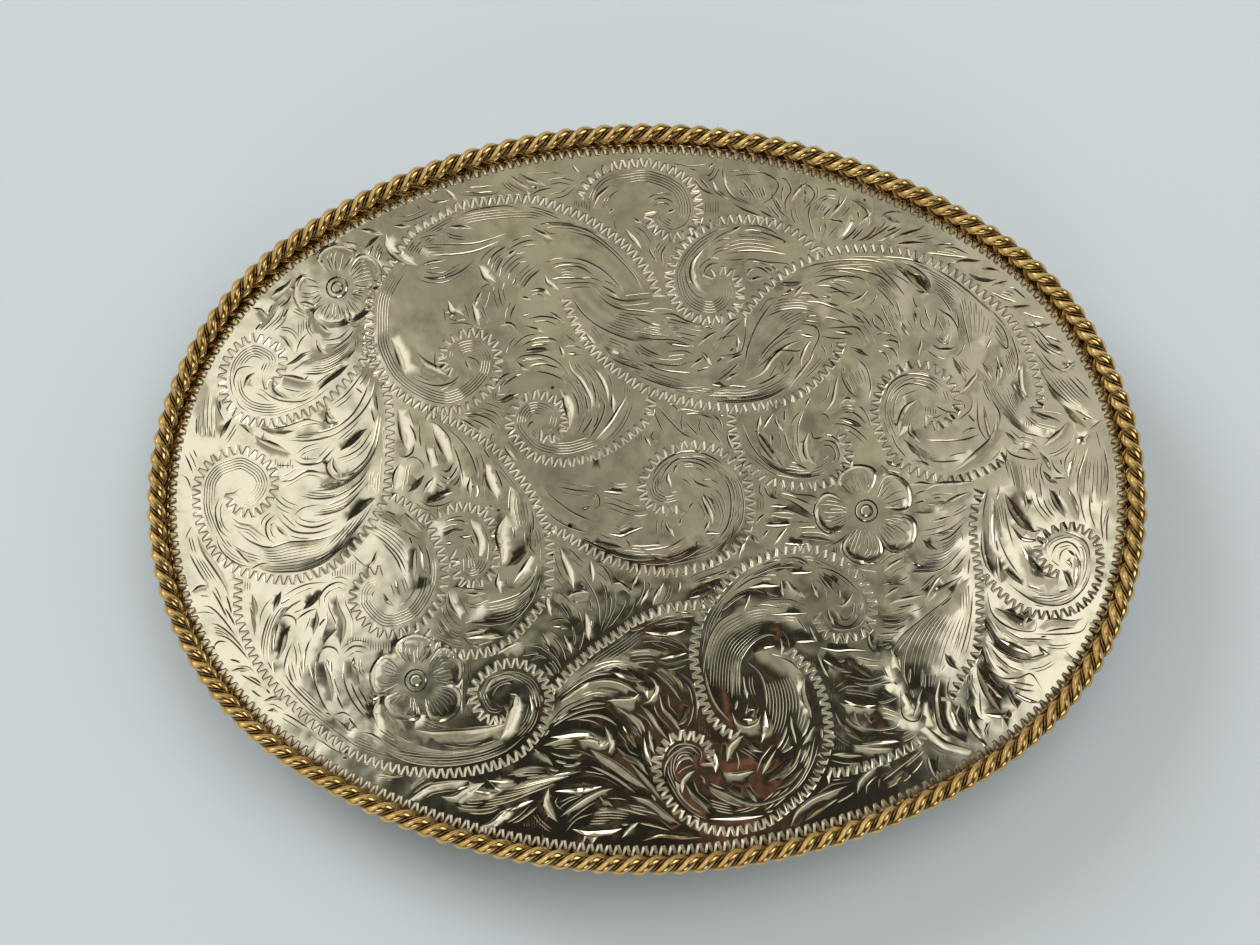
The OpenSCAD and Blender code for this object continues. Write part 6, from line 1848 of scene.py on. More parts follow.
# Leaf edges and curls besides those of the regions: kind of cut, width, then x and y along its line
ACCENTS = [
    ("line", 0.2, 32.9, -8.3, 29.8, -11.1, 27.6, -12.9, 25.8, -14.5, 24.8, -16.7, 25.1, -18.6),
    ("line", 0.2, 25.8, -19.5, 26.1, -22.3, 27.6, -22.6, 28.1, -20.8),
    ("bright", 0.7, 29.8, -18.3, 29.2, -20.8, 29.8, -23.6, 32.3, -24.8),
    ("bright", 0.5, 28.2, -23.2, 30.1, -25.2, 32.9, -25.6),
    ("line", 0.2, 34.5, -9.5, 35.1, -12, 37, -13.4, 39.2, -13.6, 39.5, -12.3),
    ("line", 0.2, 39, -13.9, 41.4, -13.9, 43.9, -13.6, 44.8, -12.3),
    ("line", 0.2, 34.5, -14.5, 36, -15.8, 38.3, -16.5, 40.4, -16.2),
    ("line", 0.2, 34.2, -17, 35.8, -18.3, 37.6, -18.3, 38.9, -17.9, 40, -19.5),
    ("dark", 0.3, 34, -18.5, 35.2, -19.8, 36, -20.4),
    ("dark", 0.3, 37, -19.8, 38.4, -20.6, 39.8, -20.8),
    ("line", 0.2, 32.3, -20.8, 32.6, -23.2, 34.3, -25.1),
    ("bright", 0.3, 34.8, -22.6, 34.2, -23.5, 34.5, -24.5),
    ("line", 0.2, -11.3, 27.6, -8.5, 27.7, -5.7, 27, -2.6, 24.5, 0.3, 21.2),
    ("bright", 0.7, -26.6, 27, -26.6, 25.4, -25.3, 24.1, -23.2, 23.5),
    ("line", 0.2, -23.2, 23.2, -22.5, 22.3, -20.7, 22.3, -18.8, 23.2),
    ("bright", 0.6, -16.9, 23.5, -16.3, 22, -15, 21.6),
    ("bright", 0.6, -20, 19.8, -19.7, 18.5, -18.2, 18.2),
    ("bright", 0.4, -17.5, 19.5, -17.2, 17.9, -16.6, 17),
    ("bright", 0.9, -25.8, 16, -25, 13.5, -24.1, 12),
    ("bright", 0.9, -23.6, 14.8, -22.5, 12.6, -19.6, 11.7),
    ("line", 0.15, -20, 17.3, -18.2, 17.4, -16.3, 16.7),
    ("bright", 0.6, -11.6, 27.4, -10.8, 26.4, -9.2, 26),
    ("bright", 0.4, 8.2, 33.2, 8.2, 31.8, 9.2, 30.4, 11.2, 29.6),
    ("bright", 0.3, 6.9, 32.4, 7.3, 31.1, 8.8, 30.2),
    ("line", 0.2, 10.7, 33.4, 12.5, 33, 13.7, 32, 12.9, 30.4, 11.2, 29.3),
    ("line", 0.2, 13.4, 32.1, 13.7, 32.6, 14.5, 32.4, 15, 31.3, 14.4, 30.1, 14.6, 28.2),
    ("line", 0.2, 15.6, 32, 16.8, 31.8, 17.4, 30.9, 16.5, 29.5, 15.6, 28.8),
    ("line", 0.2, 18.1, 31.3, 19.3, 31.5, 20.1, 31),
    ("bright", 0.35, 20, 30.9, 20.2, 29.8, 19.2, 28.8),
    ("line", 0.2, 21.5, 30.9, 22.9, 30.1, 23.5, 29.3),
    ("bright", 0.35, 23.4, 29.3, 23, 28.4, 21.8, 27.7),
    ("line", 0.2, 24.9, 29.9, 26.9, 29.3, 27.4, 28.4),
    ("bright", 0.4, 26.5, 27.6, 24.9, 26.7, 23.7, 26),
    ("bright", 0.4, 28.8, 26, 27.4, 25.6, 24.9, 25.5),
    ("bright", 0.7, 6.2, 25.1, 5, 23.9, 4.7, 22.3, 5.3, 21, 6.5, 20.3),
    ("line", 0.15, 9, 27.1, 7.5, 26.3, 6.4, 25.2),
    ("line", 0.15, 10.3, 22.3, 10.1, 23.5, 10.9, 24, 12.5, 23.7, 14.6, 23.5, 15.3, 22.6),
    ("bright", 0.4, 10.3, 22, 11.1, 21.5, 12.3, 22.1),
    ("line", 0.2, 16.4, 20.7, 18.1, 21.8, 20.6, 22.3, 22.3, 22, 23, 20.9),
    ("bright", 0.5, 22.8, 20.9, 22.4, 19.9, 21.5, 19.4, 20.4, 19.3),
    ("line", 0.15, 18.1, 20.4, 19.9, 20.7, 21.8, 20.4),
    ("line", 0.2, 25.9, 24, 27.7, 23.2, 29, 22, 29.4, 20.7),
    ("bright", 0.35, 27.6, 21, 28.3, 20.4, 29.3, 20.6),
    ("line", 0.2, 26.2, 23.4, 26.9, 22.2, 27.7, 21.2),
    ("bright", 0.5, 29.1, 15.4, 29.9, 14.5, 31.2, 14.5, 31.9, 15.3),
    ("line", 0.2, 32, 15.8, 31.9, 17, 31.2, 18.2, 29.6, 19.2),
    ("bright", 0.5, 28.2, 16.2, 28.5, 15.2, 27.9, 13.9),
    ("dark", 0.45, 31.2, 14.2, 31.5, 12.9, 32.7, 11.3),
    ("bright", 0.6, 33.8, 13.1, 34, 12, 33.1, 10.7, 31.8, 10),
    ("dark", 0.45, 34.3, 13.6, 35.1, 12.4, 35.5, 11.5),
    ("bright", 0.5, 36, 13.6, 36.3, 12.4, 35.8, 11.2),
    ("line", 0.2, 35.5, 16.5, 36.7, 15.1, 37, 15.6, 36.6, 17, 35.5, 18.2),
    ("bright", 0.8, 27.8, 9.7, 26.4, 8.9, 25.7, 7.3, 25.8, 5.8),
    ("bright", 0.5, 27, 7.5, 26.8, 6.2, 28, 5.2),
    ("line", 0.2, 24, 15.3, 24.9, 15.7, 25.8, 15.4, 25.8, 14.5),
    ("line", 0.2, 23.2, 18.5, 23.4, 17.3, 24.5, 16.4),
    ("line", 0.2, 24.5, 16.5, 24.3, 17.6, 23.3, 18.5),
    ("line", 0.2, 10.3, 11.7, 12.5, 13.5, 13.7, 14.5, 15.9, 14.5, 16.7, 15.7),
    ("line", 0.2, 15.6, 17.3, 17.4, 17, 17.8, 16, 17, 14.2, 16.5, 12.9),
    ("line", 0.2, 7.2, 14.5, 8.4, 16, 10.4, 17.9),
    ("line", 0.2, 10.4, 17.8, 10.3, 15.7, 9.7, 14.2, 7.5, 13.9),
    ("bright", 0.4, 6.4, 13.9, 5.9, 13.1, 4.7, 12.5),
    ("bright", 0.35, -20.3, 27.6, -19.2, 27.3, -17.5, 27.3),
    ("line", 0.2, -23.4, 22.9, -22.3, 22.2, -20.8, 22.1, -18.8, 22.8, -17.3, 24),
    ("bright", 0.35, -14.2, 24.2, -13.6, 24.8, -13, 25.1),
    ("bright", 0.35, -10.1, 22.3, -9.8, 21.4, -8.6, 20.7),
    ("bright", 0.4, -4.3, 21.2, -3.2, 20.6, -2.3, 19.8),
    ("dark", 0.3, -11.7, 20.7, -10.8, 21, -9.9, 20.8, -9.4, 20.1),
    ("bright", 0.3, -13.9, 33, -13, 32, -11.5, 31.3),
    ("bright", 0.35, -13, 33.2, -12, 32.2, -10.1, 31.8),
    ("bright", 0.3, -7.4, 34, -7.2, 33.5, -6.7, 33.2),
    ("bright", 0.3, -20.6, 31.6, -19.9, 30.8, -19.3, 30.4),
    ("bright", 0.5, -5.3, 29.3, -4.8, 30.8, -3.4, 31.9),
    ("bright", 0.35, -1.9, 27.2, -1.4, 26.2, -0.2, 25),
    ("line", 0.2, -23.7, 11.9, -22.2, 11.2, -20.8, 10.9, -19.3, 11.3, -18.5, 12.2),
    ("bright", 0.4, -18.1, 13.6, -17.7, 13.2, -17.4, 12.5),
    ("bright", 1.0, -24.9, 8.6, -24.8, 6.6, -24.3, 5, -23.6, 4.2),
    ("bright", 0.8, -21.3, 6.9, -20.1, 5.6, -19.5, 4.2, -19.5, 2.8),
    ("bright", 0.9, -15.8, 3, -15.1, 1.8, -14.5, 0.2, -14.4, -1),
    ("bright", 0.5, -18.5, 7.5, -17.5, 7, -16.5, 6.1),
    ("line", 0.2, -16.6, 8.6, -15, 8.1, -14, 7.2),
    ("bright", 0.35, -14, 4.9, -13.3, 4.2, -12.5, 3.1),
    ("bright", 1.0, -8.4, 10.5, -7.3, 9.6, -6.8, 8, -7.3, 6.3),
    ("bright", 0.3, -7.5, 13.5, -7.1, 12.5, -6, 11.4, -5.1, 9.6, -5.1, 8),
    ("bright", 0.35, -5.6, 13.2, -4.3, 12.2, -3.5, 10.6, -3.4, 9),
    ("bright", 0.45, -8.5, 15, -8.3, 14.3, -8, 13.6),
    ("bright", 0.5, -12.9, 13.4, -12.4, 12.5, -11.4, 12.3),
    ("dark", 0.4, -12.1, 14.3, -10.8, 14.3, -9.3, 14.5),
    ("dark", 0.4, -7.7, 14.1, -7, 14.3, -6.2, 14),
    ("dark", 0.5, -4, 14.9, -2.4, 14.2, -0.8, 13.3),
    ("bright", 0.3, -12, 17, -11.2, 16.5, -10, 16.3),
    ("line", 0.2, -11.8, 17.7, -10.5, 18, -9, 17.8, -7.7, 17),
    ("bright", 0.7, -37.6, 12.3, -36.2, 11.5, -34.8, 11.2, -33.6, 11.6),
    ("bright", 0.5, -38, 11.8, -37.9, 10.8, -37.1, 10),
    ("line", 0.25, -39.4, 6.6, -38, 6.7, -36.4, 7, -34.5, 7.6, -32.7, 7.3),
    ("bright", 1.0, -39.9, 6.2, -39.3, 5, -37.8, 4.2, -35.8, 4),
    ("bright", 0.6, -32.3, 9, -32.1, 7.9, -31.2, 7.5),
    ("dark", 0.7, -30.8, 4.3, -29.4, 5.1, -28, 6.6),
    ("bright", 0.7, -31.5, 3.7, -31.4, 2.6, -30.5, 1.6),
    ("line", 0.3, -37.3, 1.2, -35.8, 1.4, -34.4, 2.2, -33.2, 2.2, -32, 1.8),
    ("bright", 1.0, -13.5, -2.3, -13.7, -4, -13.4, -5.8, -13.9, -7.5),
    ("dark", 0.8, -13.6, -7.6, -12.4, -7.2, -11.4, -6),
    ("bright", 0.7, -12.8, -9.3, -11.4, -8.2, -10.9, -6.4),
    ("bright", 0.6, -14.3, -8.2, -14.6, -9.3, -14, -10.4),
    ("bright", 0.9, -19.4, -10, -19.1, -11.5, -18, -13),
    ("bright", 0.4, -17.8, -14.3, -16.8, -14, -15.4, -13.9),
    ("dark", 0.7, -17.4, -14.8, -15.6, -14.9, -13.6, -14.6),
    ("dark", 0.5, -21.9, -1.2, -20.5, -0.8, -19, 0),
    ("dark", 0.6, -24, -2, -22.9, -3, -22, -4.1),
    ("dark", 0.7, -22.7, -5.5, -22.6, -7.5, -22.8, -9.2),
    ("bright", 0.6, -8.2, -5.4, -7.9, -7, -7.2, -8.8, -6.7, -9.9),
    ("bright", 0.35, -5.1, -6.9, -5.1, -8, -4.8, -9.2),
    ("line", 0.2, -4.9, -7, -3.7, -7.7, -3, -9, -2.9, -10.2),
    ("bright", 0.5, -9.3, -10.3, -9, -11.5, -8.9, -12.6),
    ("bright", 0.6, -5.5, -12, -5, -13.3, -5.1, -15),
    ("bright", 0.6, -14.3, -16.4, -13, -16, -11.8, -15.2),
    ("bright", 0.6, 10.9, -10.3, 10.8, -11.3, 10.3, -12),
    ("dark", 0.8, 14.5, -8.8, 15, -10, 16.4, -10.7),
    ("bright", 0.6, 16.9, -8.8, 17.5, -9.6, 17.7, -10.6),
    ("line", 0.25, 14, -6.7, 15.4, -6.6, 16.4, -7, 17.2, -7.8),
    ("bright", 0.7, 13.9, -14.6, 14.3, -15.4, 14, -16.4),
    ("bright", 0.6, 16.8, -13.4, 17.4, -14.2, 17.6, -15),
    ("dark", 0.6, 15.3, -15, 16.4, -15.1, 17.4, -14.9),
    ("dark", 0.8, 0.4, -14.1, 2.4, -13.7, 4.5, -13.9),
    ("bright", 0.3, 5.8, -0.3, 6.8, -1.4, 7.3, -3.2),
    ("bright", 0.5, 6.9, -2.9, 6.7, -3.7, 6.3, -4.3),
    ("bright", 0.4, 2.4, -2.9, 3.1, -3.8, 3.3, -4.6),
    ("dark", 0.35, 12.3, -3.3, 13.6, -3.1, 15, -3.2),
    ("dark", 0.4, 14.3, -5.1, 15.4, -4.9, 16.5, -5.2),
    ("bright", 0.5, 26, -14.1, 25, -15.3, 24.7, -17),
    ("line", 0.25, 0.2, 13.4, 1.8, 13, 3.5, 12.9, 5.2, 13.4),
    ("line", 0.2, 1.6, 18.1, 3, 18.2, 4.4, 17.5, 6, 17),
    ("bright", 0.4, 8.2, 11.2, 9, 11.5, 9.8, 12.1),
    ("bright", 0.4, 9.8, 17.8, 8.9, 16.9, 8.1, 16.3),
    ("bright", 0.45, 17, 15.6, 16.6, 14.2, 16, 12.6),
    ("bright", 0.5, 19.9, 12.4, 19.8, 10.2, 19.4, 9, 18.4, 8.1),
    ("bright", 0.8, 16.8, 6.2, 16.2, 5, 16.4, 3.6, 17.6, 2.7),
    ("bright", 0.35, 12, 6.2, 12.6, 7.4, 13.2, 8),
    ("line", 0.2, 1.2, 9, 1.4, 7.6, 2.1, 6.2, 2.6, 5.4),
    ("line", 0.25, 6.9, 7.9, 7.8, 7.2, 8.1, 6.1),
    ("bright", 0.35, 8.5, 6.2, 8.7, 5, 9.4, 3.8),
    ("line", 0.25, 4.8, 2, 5.4, 1, 6.2, 0.6, 7.2, 0.3),
]

# Flowers: centre, then the tip of each petal
FLOWERS = [
    ((-31.6, 21.4), [(-32, 26.2), (-27.2, 23.6), (-28.2, 18.8), (-32.2, 17.2), (-36.2, 20.6)]),
    ((-22.5, -19), [(-22.8, -14.3), (-18.0, -17), (-18.4, -22.4), (-24.4, -22.8), (-27.2, -18.2)]),
    ((22.5, -1.8), [(17.2, -2.2), (21.2, 2.8), (26.8, 0.9), (27.3, -5), (22, -7.2)]),
]


def flower(centre, tips):
    """Petals round a ringed centre, each with shade lines out of the centre and a bevel round its tip."""
    middle = np.array(centre, float)
    around = np.linspace(0, 2 * math.pi, 25)
    circle = np.column_stack([np.cos(around), np.sin(around)])
    even = np.ones(len(around))
    outer, depth, shade = 0.08, 0.12, 1.1
    for radius, inner in FLOWER_RINGS:
        line = middle + circle * radius
        engraving.cuts.append((line, even * inner, even * outer, even * depth, even * shade, 1.0))
    for tip in tips:
        axis = np.array(tip, float) - middle
        reach = np.hypot(*axis)
        axis /= reach
        across = np.array([-axis[1], axis[0]])
        u = np.linspace(0, 1, 22)
        half = PETAL_HALF * np.sin(math.pi * u ** 1.5) ** 0.62
        spine = middle + np.outer(PETAL_ROOT + (reach - PETAL_ROOT) * u, axis)
        left, right = spine + np.outer(half, across), spine - np.outer(half, across)
        fan(left, right, PETAL_LINES, first=0.02, last=0.82, stagger=0.3)
        rim = np.vstack([left[5:], right[5:-1][::-1]])
        outer, inner, depth, shade = 0.09, 0.62, 0.2, 0.7
        engraving.cut(rim, outer, inner, depth, shade, (0.35, 0.35), hollow=HOLLOW)
        engraving.claim_between(left, right)
    engraving.claim(middle + circle * 0.6, 0.6, 0.6)


# The whole engraving, in an order in which the bold cuts claim their room before the fine ones
border, _ = oval_ring(BORDER_INSET, 720)
wriggle(border, closed=True)
band, _ = oval_ring(BAND_INSET, 900)
engraving.claim(np.vstack([band, band[:1]]), BAND_WIDTH, 0)
for _, _, points in SCROLLS:
    wriggle(smooth(points, EDGE_STEP))
for kind, width, *numbers in ACCENTS:
    if kind == "line":
        stroke(numbers, width)
    else:
        bevel(numbers, ACCENT_SPREAD * width, kind == "bright")
for region in REGIONS.values():
    for width, *numbers in region["bevels"]:
        bevel(numbers, width * BEVEL_SPREAD, True)
    for width, *numbers in region["dark"]:
        bevel(numbers, width * DARK_SPREAD, False)
    for width, *numbers in region["strokes"]:
        stroke(numbers, width)
for centre, tips in FLOWERS:
    flower(centre, tips)
for region in REGIONS.values():
    for _, edge_a, edge_b in region["fans"]:
        for edge in (edge_a, edge_b):
            outline(smooth(pairs(edge), LINE_STEP))
for region in REGIONS.values():
    for count, edge_a, edge_b in region["fans"]:
        edge_a, edge_b = smooth(pairs(edge_a), EDGE_STEP), smooth(pairs(edge_b), EDGE_STEP)
        for run in fan(edge_a, edge_b, round(FAN_SPREAD * count)):
            engraving.claim(run, MARGIN, MARGIN)
for _, inner, points in SCROLLS:
    scroll_lines(points, inner)
for region in REGIONS.values():
    for sides in region["hatch"]:
        hatch(*sides)
for region in REGIONS.values():
    echoes(region["strokes"], 1)
    echoes(region["bevels"] + region["dark"], 2)


# Plate mesh: the cuts' edges and bottoms and a plain lattice, joined in the plan and laid on the dome

def groove_depths(points, cuts):
    """Depth and darkness of the deepest cut at each point."""
    # One row for each piece of a cut: x and y of its start and end, then at both of them the left half width,
    # the right half width, the depth and the shade, and last its hollow
    columns = []
    for line, left, right, depth, shade, hollow in cuts:
        both_ends = [part for values in (left, right, depth, shade) for part in (values[:-1], values[1:])]
        columns.append(np.column_stack([line[:-1], line[1:], *both_ends, np.full(len(line) - 1, hollow)]))
    rows = np.vstack(columns)
    # The points in the order of the cells of a coarse grid, so that each piece finds the points near it
    cell = 0.5
    low = np.array([-HALF_LEN - 2, -HALF_WID - 2])
    across = int(2 * (HALF_LEN + 2) / cell) + 1
    at = ((points - low) / cell).astype(int)
    key = at[:, 1] * across + at[:, 0]
    order = np.argsort(key, kind="stable")
    key = key[order]
    reach = rows[:, 4:8].max(axis=1)
    lo = ((np.minimum(rows[:, 0:2], rows[:, 2:4]) - reach[:, None] - low) / cell).astype(int)
    hi = ((np.maximum(rows[:, 0:2], rows[:, 2:4]) + reach[:, None] - low) / cell).astype(int)
    deep, dark = np.zeros(len(points)), np.zeros(len(points))
    for dy in range(int((hi[:, 1] - lo[:, 1]).max()) + 1):
        for dx in range(int((hi[:, 0] - lo[:, 0]).max()) + 1):
            use = np.flatnonzero((lo[:, 0] + dx <= hi[:, 0]) & (lo[:, 1] + dy <= hi[:, 1]))
            wanted = (lo[use, 1] + dy) * across + lo[use, 0] + dx
            start, stop = np.searchsorted(key, wanted, "left"), np.searchsorted(key, wanted, "right")
            counts = stop - start
            if counts.sum() == 0:
                continue
            segment = np.repeat(use, counts)
            offset = np.arange(counts.sum()) - np.repeat(np.cumsum(counts) - counts, counts)
            vertex = order[np.repeat(start, counts) + offset]
            row, point = rows[segment], points[vertex]
            ab = row[:, 2:4] - row[:, 0:2]
            ap = point - row[:, 0:2]
            t = np.clip((ap * ab).sum(1) / np.maximum((ab * ab).sum(1), 1e-12), 0, 1)
            away = np.hypot(*(ap - ab * t[:, None]).T)
            to_left = ab[:, 0] * ap[:, 1] - ab[:, 1] * ap[:, 0] > 0
            left_width = row[:, 4] * (1 - t) + row[:, 5] * t
            right_width = row[:, 6] * (1 - t) + row[:, 7] * t
            width = np.where(to_left, left_width, right_width)
            fall = np.clip(1 - away / np.maximum(width, 1e-4), 0, 1)
            np.maximum.at(deep, vertex, fall ** row[:, 12] * (row[:, 8] * (1 - t) + row[:, 9] * t))
            np.maximum.at(dark, vertex, fall * (row[:, 10] * (1 - t) + row[:, 11] * t))
    return deep, dark


def relief(points):
    """Height of the leaves' bodies, which swell softly between the edges of each fan."""
    step = MASK_CELL * 0.5
    field = np.zeros(engraving.mask.shape)
    for region in REGIONS.values():
        for _, edge_a, edge_b in region["fans"]:
            a = resample(smooth(pairs(edge_a), EDGE_STEP), step)
            b = stretched(smooth(pairs(edge_b), EDGE_STEP), len(a))
            gap = np.hypot(*(a - b).T)
            for f in np.linspace(0, 1, int(gap.max() / step) + 2):
                swell = 4 * f * (1 - f) * np.minimum(gap, SWELL_LIMIT) * SWELL
                np.maximum.at(field, engraving.cell(a * (1 - f) + b * f), swell)
    for axis in (0, 1):
        for _ in range(2):
            field = sum(np.roll(field, k, axis) for k in range(-2, 3)) / 5
    x = np.clip((points[:, 0] + HALF_LEN + MAP_MARGIN) / MASK_CELL - 0.5, 0, engraving.nx - 1.01)
    y = np.clip((points[:, 1] + HALF_WID + MAP_MARGIN) / MASK_CELL - 0.5, 0, engraving.ny - 1.01)
    ix, iy = x.astype(int), y.astype(int)
    fx, fy = x - ix, y - iy
    low = field[iy, ix] * (1 - fx) + field[iy, ix + 1] * fx
    high = field[iy + 1, ix] * (1 - fx) + field[iy + 1, ix + 1] * fx
    return low * (1 - fy) + high * fy


def engraved_face(ring):
    """Points of the plan, triangles, depth and darkness of the whole face, inside the ring."""
    points, edges = [], []

    def add(line):
        start = len(points)
        points.extend(map(tuple, line))
        edges.extend((i, i + 1) for i in range(start, len(points) - 1))

    for line, left, right, _, _, hollow in engraving.cuts:
        normal = left_of(line)
        add(line)
        add(line + normal * left[:, None])
        add(line - normal * right[:, None])
        if hollow > 1:
            wide = left if left.max() > right.max() else -right
            add(line + normal * (0.5 * wide)[:, None])
    start = len(points)
    points.extend(map(tuple, ring))
    edges.extend((start + i, start + (i + 1) % len(ring)) for i in range(len(ring)))
    # Plain points in rows of even triangles
    inner_a, inner_b = HALF_LEN - LATTICE_EDGE, HALF_WID - LATTICE_EDGE
    rows = np.arange(-HALF_WID, HALF_WID, LATTICE * 0.866)
    for j, y in enumerate(rows):
        for x in np.arange(-HALF_LEN + (j % 2) * LATTICE / 2, HALF_LEN, LATTICE):
            if (x / inner_a) ** 2 + (y / inner_b) ** 2 < 1:
                points.append((x, y))
    flat = [Vector(p) for p in points]
    verts, _, faces, _, _, _ = delaunay_2d_cdt(flat, edges, [], 0, 2e-4, False)
    plan = np.array([v[:] for v in verts])
    deep, dark = groove_depths(plan, engraving.cuts)
    return plan, np.array(faces), deep, dark


def turns_left(points, face):
    """Whether a triangle of the plan runs anticlockwise."""
    a, b, c = points[face[0]], points[face[1]], points[face[2]]
    return (b[0] - a[0]) * (c[1] - a[1]) - (b[1] - a[1]) * (c[0] - a[0]) > 0


def near_rope(points):
    """How near points of the plan lie to the rope, up to 1 at its inner edge."""
    rope_edge, _ = oval_ring(2 * ROPE_R - 0.1, 720)
    near = np.zeros(len(points))
    outer = np.hypot(points[:, 0] / (HALF_LEN - 4.5), points[:, 1] / (HALF_WID - 4.5)) > 1
    for i in np.flatnonzero(outer):
        near[i] = max(0.0, 1 - np.hypot(*(rope_edge - points[i]).T).min() / ROPE_SHADOW_REACH)
    return near


def add_layer(mesh, label, values):
    """Gives each of the mesh's first points a number under this label, and 0 to the others."""
    full = np.zeros(len(mesh.vertices), np.float32)
    full[:len(values)] = values
    layer = mesh.attributes.new(label, "FLOAT", "POINT")
    layer.data.foreach_set("value", full)


def add_object(name, data):
    """A new object in the scene."""
    made = bpy.data.objects.new(name, data)
    bpy.context.scene.collection.objects.link(made)
    return made


def make_plate():
    """The plate as one closed mesh: its engraved face, its narrow wall and its plain underside."""
    wall = [(RIM_INSET + RIM_BEVEL, 0.0), (RIM_INSET, RIM_BEVEL),
            (RIM_INSET, PLATE_T - RIM_BEVEL), (RIM_INSET + RIM_BEVEL, PLATE_T)]
    ring, _ = oval_ring(wall[0][0], RIM_POINTS)
    plan, faces, deep, dark = engraved_face(ring)
    verts = [np.column_stack([plan, dome(plan) + relief(plan) - deep])]
    polys = [tuple(f) for f in faces]
    if not turns_left(plan, faces[0]):
        polys = [f[::-1] for f in polys]
    base = len(plan)
    last = [int(np.argmin(((plan - p) ** 2).sum(1))) for p in ring]
    for inset, drop in wall[1:]:
        loop, _ = oval_ring(inset, RIM_POINTS)
        verts.append(np.column_stack([loop, dome(loop) - drop]))
        now = list(range(base, base + RIM_POINTS))
        for i in range(RIM_POINTS):
            j = (i + 1) % RIM_POINTS
            polys.append((last[i], now[i], now[j], last[j]))
        base += RIM_POINTS
        last = now
    # Underside: the wall's last loop, filled with a coarse lattice
    cloud = [Vector(p) for p in loop]
    lattice = np.arange(-16, 17) * UNDER_STEP
    lattice_a, lattice_b = 48.5, 36
    for x in lattice:
        for y in lattice:
            if (x / lattice_a) ** 2 + (y / lattice_b) ** 2 < 1:
                cloud.append(Vector((x, y)))
    edges = [(i, (i + 1) % RIM_POINTS) for i in range(RIM_POINTS)]
    flat, _, below, _, _, _ = delaunay_2d_cdt(cloud, edges, [], 0, 1e-4, False)
    under = np.array([v[:] for v in flat])
    extra = under[RIM_POINTS:]
    verts.append(np.column_stack([extra, dome(extra) - PLATE_T]))
    for face in below:
        ids = [last[i] if i < RIM_POINTS else base + i - RIM_POINTS for i in face]
        polys.append(tuple(ids[::-1]) if turns_left(under, face) else tuple(ids))
    mesh = bpy.data.meshes.new("engraved_plate")
    mesh.from_pydata((np.vstack(verts) * MM).tolist(), [], [tuple(int(i) for i in p) for p in polys])
    # Nearness to the rope, for its painted shadow and tarnish on the plate
    add_layer(mesh, "by_rope", near_rope(plan))
    # How dark the cuts' bottoms are painted, dirt and shade together
    add_layer(mesh, "cut_dark", dark)
    mesh.validate()
    mesh.shade_smooth()
    mesh.set_sharp_from_angle(angle=math.radians(12))
    return add_object("engraved_plate", mesh)


# Rope: two thick strands and two thin wires, twisted

def rope_profile():
    """Angle and radius of the section over half a turn, from one thick strand's crest to the next."""
    thick_r, thin_r, thin_at = 0.62 * ROPE_R, 0.13 * ROPE_R, 0.55 * ROPE_R
    thick_at = ROPE_R - thick_r
    slit_depth, slit_at, slit_spread = 0.10, 15, 5
    steps = [0, 12, 24, 35, 45, 53, 60, 66, 71, 75, 79, 83, 87,
             93, 97, 101, 105, 109, 114, 120, 127, 135, 145, 156, 168]
    rows = []
    for degrees in steps:
        turn = math.radians(degrees)
        r = thick_at * abs(math.cos(turn)) + math.sqrt(thick_r ** 2 - (thick_at * math.sin(turn)) ** 2)
        off = turn - math.pi / 2
        inside = thin_r ** 2 - (thin_at * math.sin(off)) ** 2
        slit = slit_depth * math.exp(-((abs(math.degrees(off)) - slit_at) / slit_spread) ** 2) * ROPE_R
        if inside > 0:
            r = max(r, thin_at * math.cos(off) + math.sqrt(inside))
            slit = 0.0
        rows.append((turn, r - slit))
    return rows


def make_rope():
    """The rope as one closed tube whose section turns as it runs round the rim."""
    half = rope_profile()
    section = np.array(half + [(turn + math.pi, r) for turn, r in half])
    rings = ROPE_TURNS * RINGS_PER_TURN
    centre, out = oval_ring(ROPE_R, rings)
    z = dome(centre) + ROPE_LIFT
    twist = 2 * math.pi * ROPE_TURNS * np.arange(rings) / rings
    turn = section[None, :, 0] + twist[:, None]
    r = section[None, :, 1] * np.ones((rings, 1))
    verts = np.stack([centre[:, None, 0] + r * np.cos(turn) * out[:, None, 0],
                      centre[:, None, 1] + r * np.cos(turn) * out[:, None, 1],
                      z[:, None] + r * np.sin(turn)], axis=2)
    sides = len(section)
    k, j = np.meshgrid(np.arange(rings), np.arange(sides), indexing="ij")
    next_k, next_j = (k + 1) % rings, (j + 1) % sides
    quads = np.stack([k * sides + j, next_k * sides + j, next_k * sides + next_j, k * sides + next_j], axis=2)
    mesh = bpy.data.meshes.new("twisted_rope")
    mesh.from_pydata((verts.reshape(-1, 3) * MM).tolist(), [], quads.reshape(-1, 4).tolist())
    # Depth in the section, for the painted shade and patina in the grooves
    add_layer(mesh, "groove", np.clip((1 - r / ROPE_R) / 0.55, 0, 1).ravel())
    mesh.validate()
    mesh.shade_smooth()
    return add_object("twisted_rope", mesh)


# Materials

def new_material(name, roughness, metallic=1.0):
    """A new material, its node tree and its shader."""
    material = bpy.data.materials.new(name)
    material.use_nodes = True
    tree = material.node_tree
    shader = tree.nodes["Principled BSDF"]
    shader.inputs["Metallic"].default_value = metallic
    shader.inputs["Roughness"].default_value = roughness
    return material, tree, shader


def feed(tree, socket, value):
    """Links another socket to an input, or sets the input to a value."""
    if isinstance(value, bpy.types.NodeSocket):
        tree.links.new(value, socket)
    else:
        socket.default_value = value


def add_node(tree, kind, **inputs):
    """A new node, whose inputs are named with an underscore for a space."""
    node = tree.nodes.new(kind)
    for name, value in inputs.items():
        feed(tree, node.inputs[name.replace("_", " ")], value)
    return node


